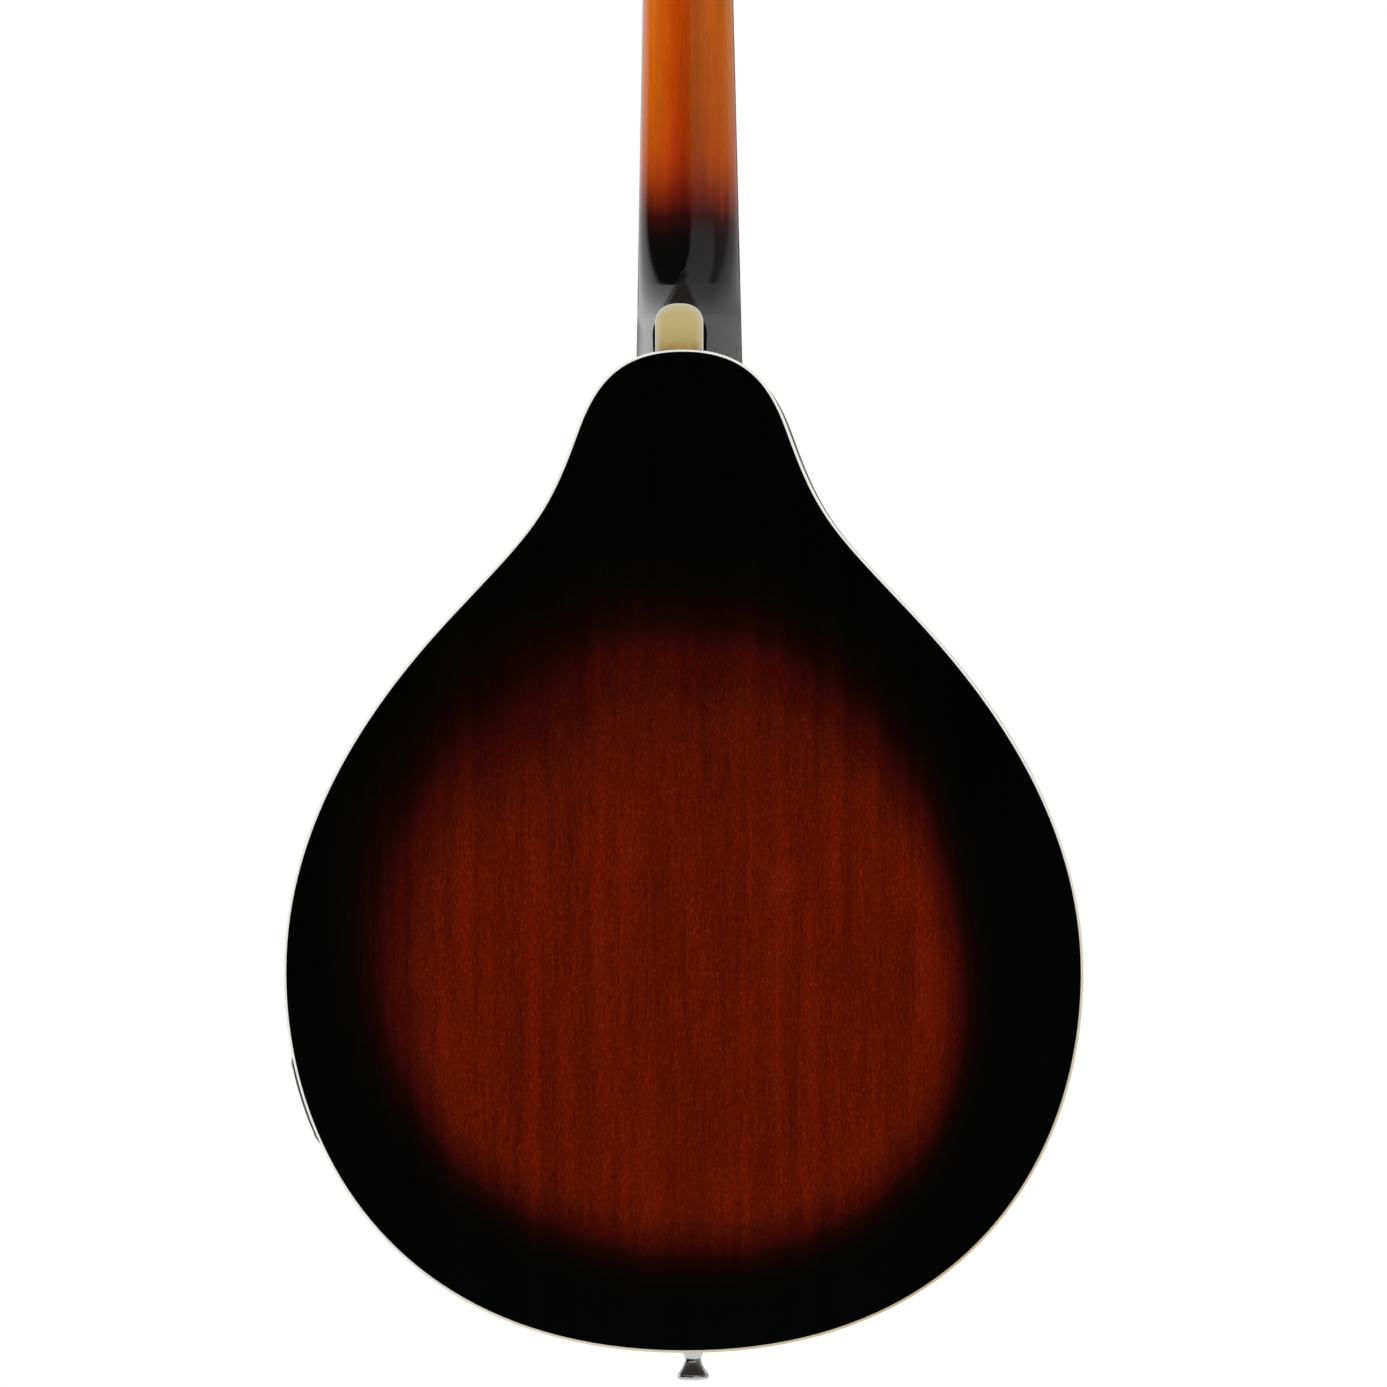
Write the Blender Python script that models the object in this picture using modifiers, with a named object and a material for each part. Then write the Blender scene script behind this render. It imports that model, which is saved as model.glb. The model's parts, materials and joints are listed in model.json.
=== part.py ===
"""A-style acoustic-electric mandolin with a flat back, built from its separate pieces.

Body frame: X to the treble side, Z from the tail towards the headstock, Y from the arched
top (negative) to the flat back. Its origin is the tail end of the back's outer face.
Neck frame: origin at the front edge of the nut on the fretboard's playing surface, leaning
back by NECK_TILT. Head frame: origin where the headstock's front leaves the nut, leaning
back by HEAD_TILT more. The world origin is the hanger seat under the headstock's flare.
"""
import math

import bmesh
import bpy
from mathutils import Matrix, Vector
from mathutils.geometry import interpolate_bezier

MM = 0.001
GAP = 0.3 * MM
SEAT_AIR = 0.48 * MM
SINK = 1.0 * MM
FAR = 0.5

# Body outline, from the tail round to the neck joint
BODY_LENGTH = 345.5 * MM
BODY_WIDTH = 275.6 * MM
BOUT_HEIGHT = 131.0 * MM
SHOULDER_HEIGHT = 254.8 * MM
SHOULDER_WIDTH = 158.8 * MM
SHOULDER_LEAN = math.radians(43.3)
WAIST_HEIGHT = 316.7 * MM
WAIST_WIDTH = 73.8 * MM
WAIST_LEAN = math.radians(19.7)
TAIL_PULL = 96.6 * MM
BOUT_LOWER_PULL = 65.0 * MM
BOUT_UPPER_PULL = 53.0 * MM
SHOULDER_LOWER_PULL = 39.0 * MM
SHOULDER_UPPER_PULL = 38.9 * MM
WAIST_LOWER_PULL = 30.9 * MM
WAIST_UPPER_PULL = 16.1 * MM
NECK_END_PULL = 23.7 * MM
OUTLINE_STEPS = (11, 9, 5, 7)

# Body shell
BACK_THICK = 2.8 * MM
SIDE_DEPTH = 38.0 * MM
TOP_THICK = 3.2 * MM
SIDE_THICK = 2.6 * MM
RIM_STEP = 4.0 * MM
ARCH_RISE = 8.0 * MM
ARCH_CENTRE = 150.0 * MM
ARCH_SHARES = (0.15, 0.38, 0.6, 0.78, 0.92, 1.0)
BINDING_WIDTH = 1.4 * MM
BINDING_DEPTH = 6.0 * MM
LINING_WIDTH = 5.5 * MM
LINING_DEPTH = 6.0 * MM
HEAD_BLOCK_LENGTH = 42.0 * MM
TAIL_BLOCK_LENGTH = 18.0 * MM
TAIL_BLOCK_WIDTH = 76.0 * MM
BRACE_WIDTH = 8.0 * MM
BRACE_HEIGHT = 9.0 * MM
BRACE_END_HEIGHT = 3.0 * MM
BRACE_TAPER = 26.0 * MM
BRACE_STATIONS = 14
UPPER_BRACE_HEIGHT = 232.0 * MM
LOWER_BRACE_HEIGHT = 98.0 * MM
TOP_BRACE_HEAD_AIR = 11.5 * MM
TOP_BRACE_HEAD = BODY_LENGTH - HEAD_BLOCK_LENGTH - TOP_BRACE_HEAD_AIR
TOP_BRACE_TIP = 30.0 * MM
TOP_BRACE_CROSSING = TOP_BRACE_HEAD - TOP_BRACE_TIP
TOP_BRACE_TAIL = 112.0 * MM
TOP_BRACE_SPREAD = 40.0 * MM

# Sound holes
F_HOLE_OFFSET = 63.0 * MM
F_HOLE_HEIGHT = 190.0 * MM
F_HOLE_LENGTH = 62.0 * MM
F_HOLE_WIDTH = 6.6 * MM
F_HOLE_LEAN = 7.0 * MM
F_HOLE_SWAY = 3.2 * MM
F_HOLE_UPPER_EYE = 4.0 * MM
F_HOLE_LOWER_EYE = 4.8 * MM
F_HOLE_END_SHARE = 0.35
F_HOLE_EYE_STEP = 0.7
F_HOLE_POINTS = 8

# Neck and fretboard
SCALE_LENGTH = 349.0 * MM
JOINT_FRET = 14
FRET_COUNT = 20
BOARD_THICK = 5.0 * MM
BOARD_END_MARGIN = 5.0 * MM
BOARD_RISE = 8.0 * MM
FRET_HEIGHT = 0.9 * MM
FRET_WIDTH = 1.8 * MM
FRET_TANG = 0.5 * MM
FRET_INSET = 0.4 * MM
NUT_WIDTH = 28.6 * MM
NECK_WIDTH_AT_JOINT = 37.0 * MM
NUT_LENGTH = 5.0 * MM
NUT_HEIGHT = 0.9 * MM
NUT_SLOPE = 1.2 * MM
NECK_TILT = math.radians(4.5)
SHAFT_DEPTH_AT_NUT = 13.5 * MM
SHAFT_DEPTH_AT_HEEL = 17.0 * MM
HEEL_CAP_WIDTH = 17.6 * MM
HEEL_CAP_LENGTH = 16.0 * MM
HEEL_CAP_THICK = 1.5 * MM
HEEL_SWOOP = 46.0 * MM
HEEL_RIDGE = 0.4 * MM
HEEL_SPARE = 4.0 * MM
SHAFT_FULLNESS = 0.62
HEEL_FULLNESS = 0.5
HEEL_FLARE = 0.1
HEEL_TURN = 0.45
SHELF_INSET = 1.5 * MM
TENON_WIDTH = 14.0 * MM
TENON_LENGTH = 12.0 * MM
TENON_MARGIN = 3.0 * MM
TENON_ROOT = 4.0 * MM
TRUSS_SLOT_WIDTH = 5.2 * MM
TRUSS_SLOT_DEPTH = 7.0 * MM
TRUSS_NUT_LENGTH = 9.0 * MM
TRUSS_NUT_PLACE = 2.0 * MM
TRUSS_ROOM = 5.0 * MM
TRUSS_FOOT = 12.0 * MM

# Headstock and tuners
HEAD_TILT = math.radians(13.0)
HEAD_LENGTH = 136.0 * MM
HEAD_THICK = 14.0 * MM
HEAD_WIDTH_LOW = 66.0 * MM
HEAD_WIDTH_HIGH = 60.0 * MM
HEAD_FLARE = 24.0 * MM
HEAD_CROWN = 16.0 * MM
HEAD_ROOT = 4.0 * MM
HEAD_VOLUTE = 9.0 * MM
HEAD_BLEND = 4.0 * MM
FLARE_PULLS = (0.55, 0.35)
CROWN_PULLS = (0.7, 0.45)
VENEER_THICK = 1.6 * MM
SEAT_HEIGHT = 10.0 * MM
TUNERS_PER_SIDE = 4
TUNER_SPACING = 22.9 * MM
FIRST_TUNER = 36.0 * MM
POST_OFFSET = 19.0 * MM
POST_RADIUS = 3.0 * MM
POST_HEIGHT = 13.0 * MM
GEAR_RADIUS = 4.8 * MM
GEAR_THICK = 2.6 * MM
GEAR_TEETH = 15
GEAR_TOOTH = 0.8 * MM
WORM_RADIUS = 2.3 * MM
WORM_LENGTH = 8.0 * MM
SHAFT_RADIUS = 1.5 * MM
SHAFT_RISE = 0.6 * MM
SHAFT_END = 0.5 * MM
PLATE_WIDTH = 12.5 * MM
PLATE_THICK = 1.2 * MM
PLATE_MARGIN = 9.0 * MM
PLATE_FOOT = 6.3 * MM
EAR_THICK = 1.6 * MM
BUTTON_REACH = 50.0 * MM
BUTTON_LENGTH = 12.0 * MM
BUTTON_WIDTH = 14.0 * MM
BUTTON_THICK = 5.5 * MM
BUTTON_SHAPE = ((-0.5, 0.42, 0.75), (-0.3, 0.7, 0.9), (0.0, 1.0, 1.0), (0.3, 0.94, 0.9), (0.5, 0.6, 0.6))

# Strings, in pairs from bass to treble
STRING_RADII = (0.50 * MM, 0.33 * MM, 0.19 * MM, 0.14 * MM)
NUT_COURSE_SPACING = 7.0 * MM
NUT_PAIR_SPACING = 2.4 * MM
BRIDGE_COURSE_SPACING = 11.6 * MM
BRIDGE_PAIR_SPACING = 3.2 * MM
TAIL_COURSE_SPACING = 8.4 * MM
TAIL_PAIR_SPACING = 3.6 * MM
ACTION_AT_BRIDGE = 4.1 * MM
WINDING_HEIGHT = 6.4 * MM
WINDING_TURNS = 1.25
WINDING_POINTS = 12
WINDING_AIR = 0.7 * MM

# Bridge
BRIDGE_LENGTH = 96.0 * MM
BRIDGE_BASE_WIDTH = 11.0 * MM
BRIDGE_BASE_HEIGHT = 5.0 * MM
SADDLE_LENGTH = 92.0 * MM
SADDLE_WIDTH = 7.0 * MM
SADDLE_CREST = 1.0 * MM
SADDLE_ROOF = 2.0 * MM
SADDLE_FALL = 1.6 * MM
BRIDGE_TAPER = 0.8
BRIDGE_END_SLOPE = 0.55
BRIDGE_POST_OFFSET = 34.0 * MM
BRIDGE_POST_RADIUS = 1.6 * MM
BRIDGE_POST_DEPTH = 3.0 * MM
BRIDGE_LANDING = 1.0 * MM
WHEEL_RADIUS = 6.0 * MM
WHEEL_THICK = 2.4 * MM
WHEEL_BEVEL = 0.5 * MM
WHEEL_TRAVEL = 1.4 * MM

# Tailpiece
TAILPIECE_WIDTH = 44.0 * MM
TAILPIECE_LENGTH = 40.0 * MM
TAILPIECE_THICK = 1.2 * MM
TAILPIECE_FLANGE = 16.0 * MM
HOOK_HEIGHT = 4.2 * MM
HOOK_LOOP = 2.5 * MM
HOOK_SIZE = 1.4 * MM
HOOK_PLACE = 22.0 * MM
COVER_LENGTH = 36.0 * MM
COVER_HEIGHT = 10.0 * MM
COVER_WALL = 1.0 * MM
COVER_ROUND = 3.0 * MM
COVER_TAIL_PLACE = 2.5 * MM

# Strap button
BUTTON_SIDE_STEP = 2.6 * MM
BUTTON_DEPTH = 22.0 * MM
STRAP_BASE_RADIUS = 4.2 * MM
STRAP_WAIST_RADIUS = 2.8 * MM
STRAP_RIM_RADIUS = 5.5 * MM
STRAP_LENGTH = 11.0 * MM
STRAP_SCREW_RADIUS = 1.7 * MM
STRAP_SCREW_LENGTH = 14.0 * MM
STRAP_SCREW_TIP = 2.0 * MM

# Pickup and controls
PICKUP_WIDTH = 46.0 * MM
PICKUP_LENGTH = 15.0 * MM
PICKUP_HEIGHT = 7.5 * MM
PICKUP_FROM_BOARD = 4.0 * MM
PICKUP_TAB = 8.0 * MM
PICKUP_TAB_THICK = 1.6 * MM
LEAD_OFFSET = 16.0 * MM
LEAD_RADIUS = 1.5 * MM
KNOB_RADIUS = 8.0 * MM
KNOB_HEIGHT = 11.0 * MM
KNOB_SHAFT_RADIUS = 3.0 * MM
KNOB_SHAFT_LENGTH = 14.0 * MM
KNOB_BEVEL = 1.0 * MM
KNOB_TAPER = 0.94
BUSHING_WALL = 1.2 * MM
POT_RADIUS = 8.5 * MM
POT_DEPTH = 9.0 * MM
POT_NUT_RADIUS = 6.2 * MM
POT_NUT_HEIGHT = 2.2 * MM
BUSHING_RISE = 1.0 * MM
VOLUME_INSET = 44.8 * MM
VOLUME_PLACE = (BODY_WIDTH / 2 - VOLUME_INSET, 121.0 * MM)
TONE_INSET = 63.8 * MM
TONE_PLACE = (BODY_WIDTH / 2 - TONE_INSET, 82.0 * MM)
JACK_HEIGHT = 86.0 * MM
JACK_DEPTH = 22.0 * MM
JACK_RADIUS = 6.2 * MM
JACK_BORE_RADIUS = 3.4 * MM
JACK_LENGTH = 27.0 * MM
JACK_FLOOR = 2.0 * MM
JACK_TAPER = 0.9
JACK_FLANGE_RADIUS = 8.2 * MM
JACK_FLANGE_THICK = 1.5 * MM
JACK_PLATE_LENGTH = 33.0 * MM
JACK_PLATE_WIDTH = 22.0 * MM
JACK_PLATE_THICK = 1.4 * MM
JACK_PLATE_HOLE = 5.6 * MM
JACK_NOSE_RADIUS = JACK_PLATE_HOLE - 0.5 * MM
JACK_PLATE_NARROWING = 0.35
JACK_SCREW_RADIUS = 2.6 * MM
JACK_SCREW_HEIGHT = 1.0 * MM
JACK_SCREW_INSET = 4.0 * MM
LEAD_DROP = 10.0 * MM
LEAD_BEND = (8.0 * MM, 16.0 * MM)
LEAD_MIDDLE = (52.0 * MM, 205.0 * MM)
LEAD_LOOP = 14.0 * MM

# Sizes that follow from the ones above
RIM_DEPTH = BACK_THICK + SIDE_DEPTH + TOP_THICK
PLATE_INSET = BINDING_WIDTH + GAP
INNER_INSET = SIDE_THICK + GAP
ROUND = 12

FINISHES = {
    "mahogany": ((0.115, 0.010, 0.002), 0.18, 0.0),
    "orange_neck": ((0.42, 0.085, 0.004), 0.2, 0.0),
    "spruce": ((0.50, 0.13, 0.015), 0.2, 0.0),
    "bare_spruce": ((0.55, 0.38, 0.20), 0.7, 0.0),
    "bare_mahogany": ((0.30, 0.13, 0.06), 0.7, 0.0),
    "rosewood": ((0.045, 0.018, 0.010), 0.45, 0.0),
    "cream_plastic": ((0.72, 0.60, 0.34), 0.3, 0.0),
    "bone": ((0.80, 0.76, 0.64), 0.4, 0.0),
    "black_lacquer": ((0.008, 0.007, 0.006), 0.15, 0.0),
    "black_plastic": ((0.012, 0.012, 0.012), 0.35, 0.0),
    "chrome": ((0.75, 0.75, 0.76), 0.12, 1.0),
    "nickel": ((0.62, 0.60, 0.56), 0.3, 1.0),
    "steel": ((0.45, 0.45, 0.46), 0.35, 1.0),
    "brass": ((0.62, 0.42, 0.16), 0.3, 1.0),
    "bronze": ((0.60, 0.36, 0.16), 0.35, 1.0),
}


def clear_scene():
    """Remove every object that the scene starts with."""
    for thing in list(bpy.data.objects):
        bpy.data.objects.remove(thing, do_unlink=True)


def add_collection(name):
    """Add a collection under the scene."""
    group = bpy.data.collections.new(name)
    bpy.context.scene.collection.children.link(group)
    return group


def add_frame(name, group, parent=None, location=(0, 0, 0), lean=0.0):
    """Add an empty that holds a frame, leaning back about X by the given angle."""
    frame = bpy.data.objects.new(name, None)
    frame.location = location
    frame.rotation_euler = (-lean, 0, 0)
    frame.parent = parent
    group.objects.link(frame)
    return frame


def own_material(piece, finish):
    """Make the piece's own material from a named finish."""
    color, roughness, metallic = FINISHES[finish]
    material = bpy.data.materials.new(piece + "_" + finish)
    material.use_nodes = True
    shader = material.node_tree.nodes["Principled BSDF"]
    shader.inputs["Base Color"].default_value = (*color, 1.0)
    shader.inputs["Roughness"].default_value = roughness
    shader.inputs["Metallic"].default_value = metallic
    material.diffuse_color = (*color, 1.0)
    return material


def mesh_from(bm, name):
    """Weld a bmesh, face it outwards and turn it into a mesh."""
    bmesh.ops.remove_doubles(bm, verts=bm.verts, dist=1e-7)
    bmesh.ops.dissolve_degenerate(bm, edges=bm.edges, dist=1e-7)
    bmesh.ops.recalc_face_normals(bm, faces=bm.faces)
    mesh = bpy.data.meshes.new(name)
    bm.to_mesh(mesh)
    bm.free()
    return mesh


def loft(rings, name="loft"):
    """Skin a row of closed rings that have the same number of points, and cap its ends."""
    bm = bmesh.new()
    rows = [[bm.verts.new(point) for point in ring] for ring in rings]
    count = len(rows[0])
    for near, far in zip(rows, rows[1:]):
        for k in range(count):
            after = (k + 1) % count
            bm.faces.new((near[k], near[after], far[after], far[k]))
    bm.faces.new(rows[0])
    bm.faces.new(rows[-1])
    return mesh_from(bm, name)


def swept_ring(sections, name="ring"):
    """Skin a row of closed sections into a ring without ends."""
    bm = bmesh.new()
    rows = [[bm.verts.new(point) for point in section] for section in sections]
    count = len(rows[0])
    for near, far in zip(rows, rows[1:] + rows[:1]):
        for k in range(count):
            after = (k + 1) % count
            bm.faces.new((near[k], near[after], far[after], far[k]))
    return mesh_from(bm, name)


def box(low, high, name="box"):
    """A block between two corners."""
    bm = bmesh.new()
    bmesh.ops.create_cube(bm, size=1.0)
    low, high = Vector(low), Vector(high)
    bmesh.ops.scale(bm, vec=high - low, verts=bm.verts)
    bmesh.ops.translate(bm, vec=(low + high) / 2, verts=bm.verts)
    return mesh_from(bm, name)


def cylinder(radius, start, end, sides=ROUND, radius_end=None, name="cylinder"):
    """A capped cylinder or cone between two points."""
    start, end = Vector(start), Vector(end)
    axis = end - start
    bm = bmesh.new()
    bmesh.ops.create_cone(bm, cap_ends=True, segments=sides, radius1=radius,
                          radius2=radius if radius_end is None else radius_end, depth=axis.length)
    turn = axis.to_track_quat("Z", "Y").to_matrix().to_4x4()
    bmesh.ops.transform(bm, matrix=Matrix.Translation((start + end) / 2) @ turn, verts=bm.verts)
    return mesh_from(bm, name)


def evaluated(thing):
    """The mesh of an object with its modifiers or curve bevel applied."""
    graph = bpy.context.evaluated_depsgraph_get()
    graph.update()
    return bpy.data.meshes.new_from_object(thing.evaluated_get(graph))


def from_temporary(thing, name):
    """Turn a temporary object into a welded mesh and remove the object."""
    bpy.context.scene.collection.objects.link(thing)
    raw = evaluated(thing)
    bpy.data.objects.remove(thing, do_unlink=True)
    bm = bmesh.new()
    bm.from_mesh(raw)
    bpy.data.meshes.remove(raw)
    return mesh_from(bm, name)


def plate(outline, front, back, name="plate"):
    """A flat outline of (x, z) points, filled and thickened from y = front to y = back."""
    curve = bpy.data.curves.new(name, "CURVE")
    curve.dimensions = "2D"
    curve.fill_mode = "BOTH"
    curve.extrude = (back - front) / 2
    spline = curve.splines.new("POLY")
    spline.points.add(len(outline) - 1)
    for point, (x, z) in zip(spline.points, outline):
        point.co = (x, z, 0, 1)
    spline.use_cyclic_u = True
    mesh = from_temporary(bpy.data.objects.new(name, curve), name)
    mesh.transform(Matrix.Translation((0, (front + back) / 2, 0)) @ Matrix.Rotation(math.pi / 2, 4, "X"))
    return mesh


def turned(profile, sides=16, closed=False, name="turned"):
    """Turn a profile of (radius, height) points, listed top to bottom, about the Z axis."""
    raw = bpy.data.meshes.new(name)
    edges = [(k, k + 1) for k in range(len(profile) - 1)]
    if closed:
        edges.append((len(profile) - 1, 0))
    raw.from_pydata([(radius, 0, height) for radius, height in profile], edges, [])
    thing = bpy.data.objects.new(name, raw)
    screw = thing.modifiers.new("turn", "SCREW")
    screw.steps = screw.render_steps = sides
    screw.use_merge_vertices = True
    screw.merge_threshold = 1e-6
    return from_temporary(thing, name)


def tube(points, radius, bevel_resolution=0, name="tube"):
    """A capped tube along a row of points."""
    curve = bpy.data.curves.new(name, "CURVE")
    curve.dimensions = "3D"
    curve.bevel_depth = radius
    curve.bevel_resolution = bevel_resolution
    curve.use_fill_caps = True
    spline = curve.splines.new("POLY")
    spline.points.add(len(points) - 1)
    for place, point in zip(spline.points, points):
        place.co = (*point, 1)
    return from_temporary(bpy.data.objects.new(name, curve), name)


def boolean(mesh, tools, operation):
    """Cut tool meshes out of a mesh, or join them to it, one after another."""
    for tool in tools:
        cutter = bpy.data.objects.new("cutter", tool)
        cutter.hide_render = True
        cutter.display_type = "WIRE"
        bpy.data.collections["cutters"].objects.link(cutter)
        body = bpy.data.objects.new("body", mesh)
        step = body.modifiers.new("step", "BOOLEAN")
        step.operation = operation
        step.object = cutter
        mesh = from_temporary(body, mesh.name)
        bpy.data.objects.remove(cutter, do_unlink=True)
    return mesh


def cut(mesh, *tools):
    """The mesh with every tool cut out of it."""
    return boolean(mesh, tools, "DIFFERENCE")


def fuse(mesh, *tools):
    """The mesh joined with every tool."""
    return boolean(mesh, tools, "UNION")


def moved(mesh, matrix):
    """The mesh with its points moved by a matrix."""
    mesh.transform(matrix)
    return mesh


def add_piece(name, mesh, finish, parent, location=(0, 0, 0), rotation=(0, 0, 0), smooth=None):
    """Add a named piece to the object, shaded smooth below the given edge angle."""
    mesh.name = name
    mesh.materials.clear()
    mesh.materials.append(own_material(name, finish))
    if smooth is not None:
        mesh.shade_smooth()
        mesh.set_sharp_from_angle(angle=math.radians(smooth))
    thing = bpy.data.objects.new(name, mesh)
    thing.parent = parent
    thing.location = location
    thing.rotation_euler = rotation
    bpy.data.collections["mandolin"].objects.link(thing)
    return thing


def half_outline():
    """Half of the body outline as (x, z) points, from the tail up the treble side to the neck."""
    lean = Vector((-math.sin(SHOULDER_LEAN), math.cos(SHOULDER_LEAN), 0))
    rise = Vector((-math.sin(WAIST_LEAN), math.cos(WAIST_LEAN), 0))
    across, up = Vector((1, 0, 0)), Vector((0, 1, 0))
    tail = Vector((0, 0, 0))
    bout = Vector((BODY_WIDTH / 2, BOUT_HEIGHT, 0))
    shoulder = Vector((SHOULDER_WIDTH / 2, SHOULDER_HEIGHT, 0))
    waist = Vector((WAIST_WIDTH / 2, WAIST_HEIGHT, 0))
    head = Vector((0, BODY_LENGTH, 0))
    arcs = (
        (tail, tail + across * TAIL_PULL, bout - up * BOUT_LOWER_PULL, bout),
        (bout, bout + up * BOUT_UPPER_PULL, shoulder - lean * SHOULDER_LOWER_PULL, shoulder),
        (shoulder, shoulder + lean * SHOULDER_UPPER_PULL, waist - rise * WAIST_LOWER_PULL, waist),
        (waist, waist + rise * WAIST_UPPER_PULL, head + across * NECK_END_PULL, head),
    )
    points = []
    for steps, (start, pull_out, pull_in, end) in zip(OUTLINE_STEPS, arcs):
        points += interpolate_bezier(start, pull_out, pull_in, end, steps + 1)[:-1]
    points.append(head)
    return [(point.x, point.y) for point in points]


def body_outline(inset=0.0):
    """Closed body outline of (x, z) points, set in from the rim by the given distance."""
    half = half_outline()
    whole = half + [(-x, z) for x, z in half[-2:0:-1]]
    count = len(whole)
    points = []
    for k, (x, z) in enumerate(whole):
        before, after = whole[k - 1], whole[(k + 1) % count]
        along = Vector((after[0] - before[0], after[1] - before[1])).normalized()
        points.append((x - along.y * inset, z + along.x * inset))
    return points


def half_width(height, inset=0.0):
    """Half the body's width at a height above the tail, set in from the rim."""
    half = body_outline(inset)[:len(half_outline())]
    for (x_low, z_low), (x_high, z_high) in zip(half, half[1:]):
        if z_low <= height <= z_high:
            return x_low + (x_high - x_low) * (height - z_low) / (z_high - z_low)
    return 0.0


def rim_point(height, inset=0.0):
    """A point on the treble rim at a height, with the outward normal there, as XZ vectors."""
    step = RIM_STEP
    here = Vector((half_width(height), 0, height))
    low = Vector((half_width(height - step), 0, height - step))
    high = Vector((half_width(height + step), 0, height + step))
    along = (high - low).normalized()
    normal = Vector((along.z, 0, -along.x))
    return here - normal * inset, normal


def outline_share(x, z):
    """How far a point lies from the arch's centre towards the top plate's edge, 0 to 1."""
    edge = body_outline(PLATE_INSET)
    ray = Vector((x, z - ARCH_CENTRE))
    if ray.length < 1e-9:
        return 0.0
    share = 0.0
    for start, end in zip(edge, edge[1:] + edge[:1]):
        a = Vector((start[0], start[1] - ARCH_CENTRE))
        b = Vector((end[0], end[1] - ARCH_CENTRE))
        side = b - a
        facing = ray.x * side.y - ray.y * side.x
        if abs(facing) < 1e-15:
            continue
        reach = (a.x * side.y - a.y * side.x) / facing
        along = (a.x * ray.y - a.y * ray.x) / facing
        if reach > 0 and -1e-9 <= along <= 1 + 1e-9:
            share = 1 / reach
    return share


def arch_at(share):
    """The arch's rise at a share of the way out to the edge: a smooth step in the flat facets."""
    def smooth(value):
        climb = min(max(1 - value / ARCH_SHARES[-2], 0.0), 1.0)
        return ARCH_RISE * climb * climb * (3 - 2 * climb)
    if share <= ARCH_SHARES[0]:
        return smooth(ARCH_SHARES[0])
    for low, high in zip(ARCH_SHARES, ARCH_SHARES[1:]):
        if share <= high:
            part = (share - low) / (high - low)
            return smooth(low) * (1 - part) + smooth(high) * part
    return 0.0


def arch_rise(x, z):
    """How far the top stands proud of its edge at a point of the body."""
    return arch_at(outline_share(x, z))


def arch_range(x, z, reach_x, reach_z):
    """The least and the greatest rise of the arch under a footprint round a point."""
    steps = [-1, -0.5, 0, 0.5, 1]
    rises = [arch_rise(x + reach_x * i, z + reach_z * j) for i in steps for j in steps]
    return min(rises), max(rises)


def fret_distance(fret):
    """Distance of a fret from the nut."""
    return SCALE_LENGTH * (1 - 2 ** (-fret / 12))


JOINT = fret_distance(JOINT_FRET)
BOARD_LENGTH = fret_distance(FRET_COUNT) + BOARD_END_MARGIN


def board_half_width(distance):
    """Half the fretboard's width at a distance from the nut."""
    return (NUT_WIDTH + (NECK_WIDTH_AT_JOINT - NUT_WIDTH) * distance / JOINT) / 2


def neck_matrix():
    """From the neck frame to the body frame."""
    lean = Matrix.Rotation(-NECK_TILT, 4, "X")
    joint = Vector((0, -(RIM_DEPTH + BOARD_RISE), BODY_LENGTH))
    return Matrix.Translation(joint + lean @ Vector((0, 0, JOINT))) @ lean


def head_matrix():
    """From the head frame to the neck frame."""
    return Matrix.Translation((0, BOARD_THICK, NUT_LENGTH)) @ Matrix.Rotation(-HEAD_TILT, 4, "X")


def ring_sections(outline_of, profile):
    """Sections of a rim strip: one closed (inset, y) profile at each point of the outline."""
    layers = {inset: outline_of(inset) for inset, y in profile}
    count = len(layers[profile[0][0]])
    return [[(layers[inset][k][0], y, layers[inset][k][1]) for inset, y in profile] for k in range(count)]


def clipped_treble(inset, x_tail, x_neck):
    """The treble half of the rim at an inset, ended at given distances from the centre line."""
    half = body_outline(inset)[:len(half_outline())]
    points = [(max(x, x_tail), z) for x, z in half[:1]]
    points += [(x, z) for x, z in half[1:] if x > x_neck or z < BODY_LENGTH / 2]
    x_near, z_near = points[-1]
    x_far, z_far = half[len(points)]
    part = (x_near - x_neck) / (x_near - x_far)
    points.append((x_neck, z_near + (z_far - z_near) * part))
    return points


def mirrored(mesh):
    """A mirror copy of a mesh across the centre line."""
    bm = bmesh.new()
    bm.from_mesh(mesh)
    bmesh.ops.scale(bm, vec=(-1, 1, 1), verts=bm.verts)
    return mesh_from(bm, mesh.name)


def jack_frame():
    """From a frame with Z out of the rim at the jack to the body frame."""
    place, normal = rim_point(JACK_HEIGHT)
    turn = normal.to_track_quat("Z", "Y").to_matrix().to_4x4()
    return Matrix.Translation(place + Vector((0, -JACK_DEPTH, 0))) @ turn


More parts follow.
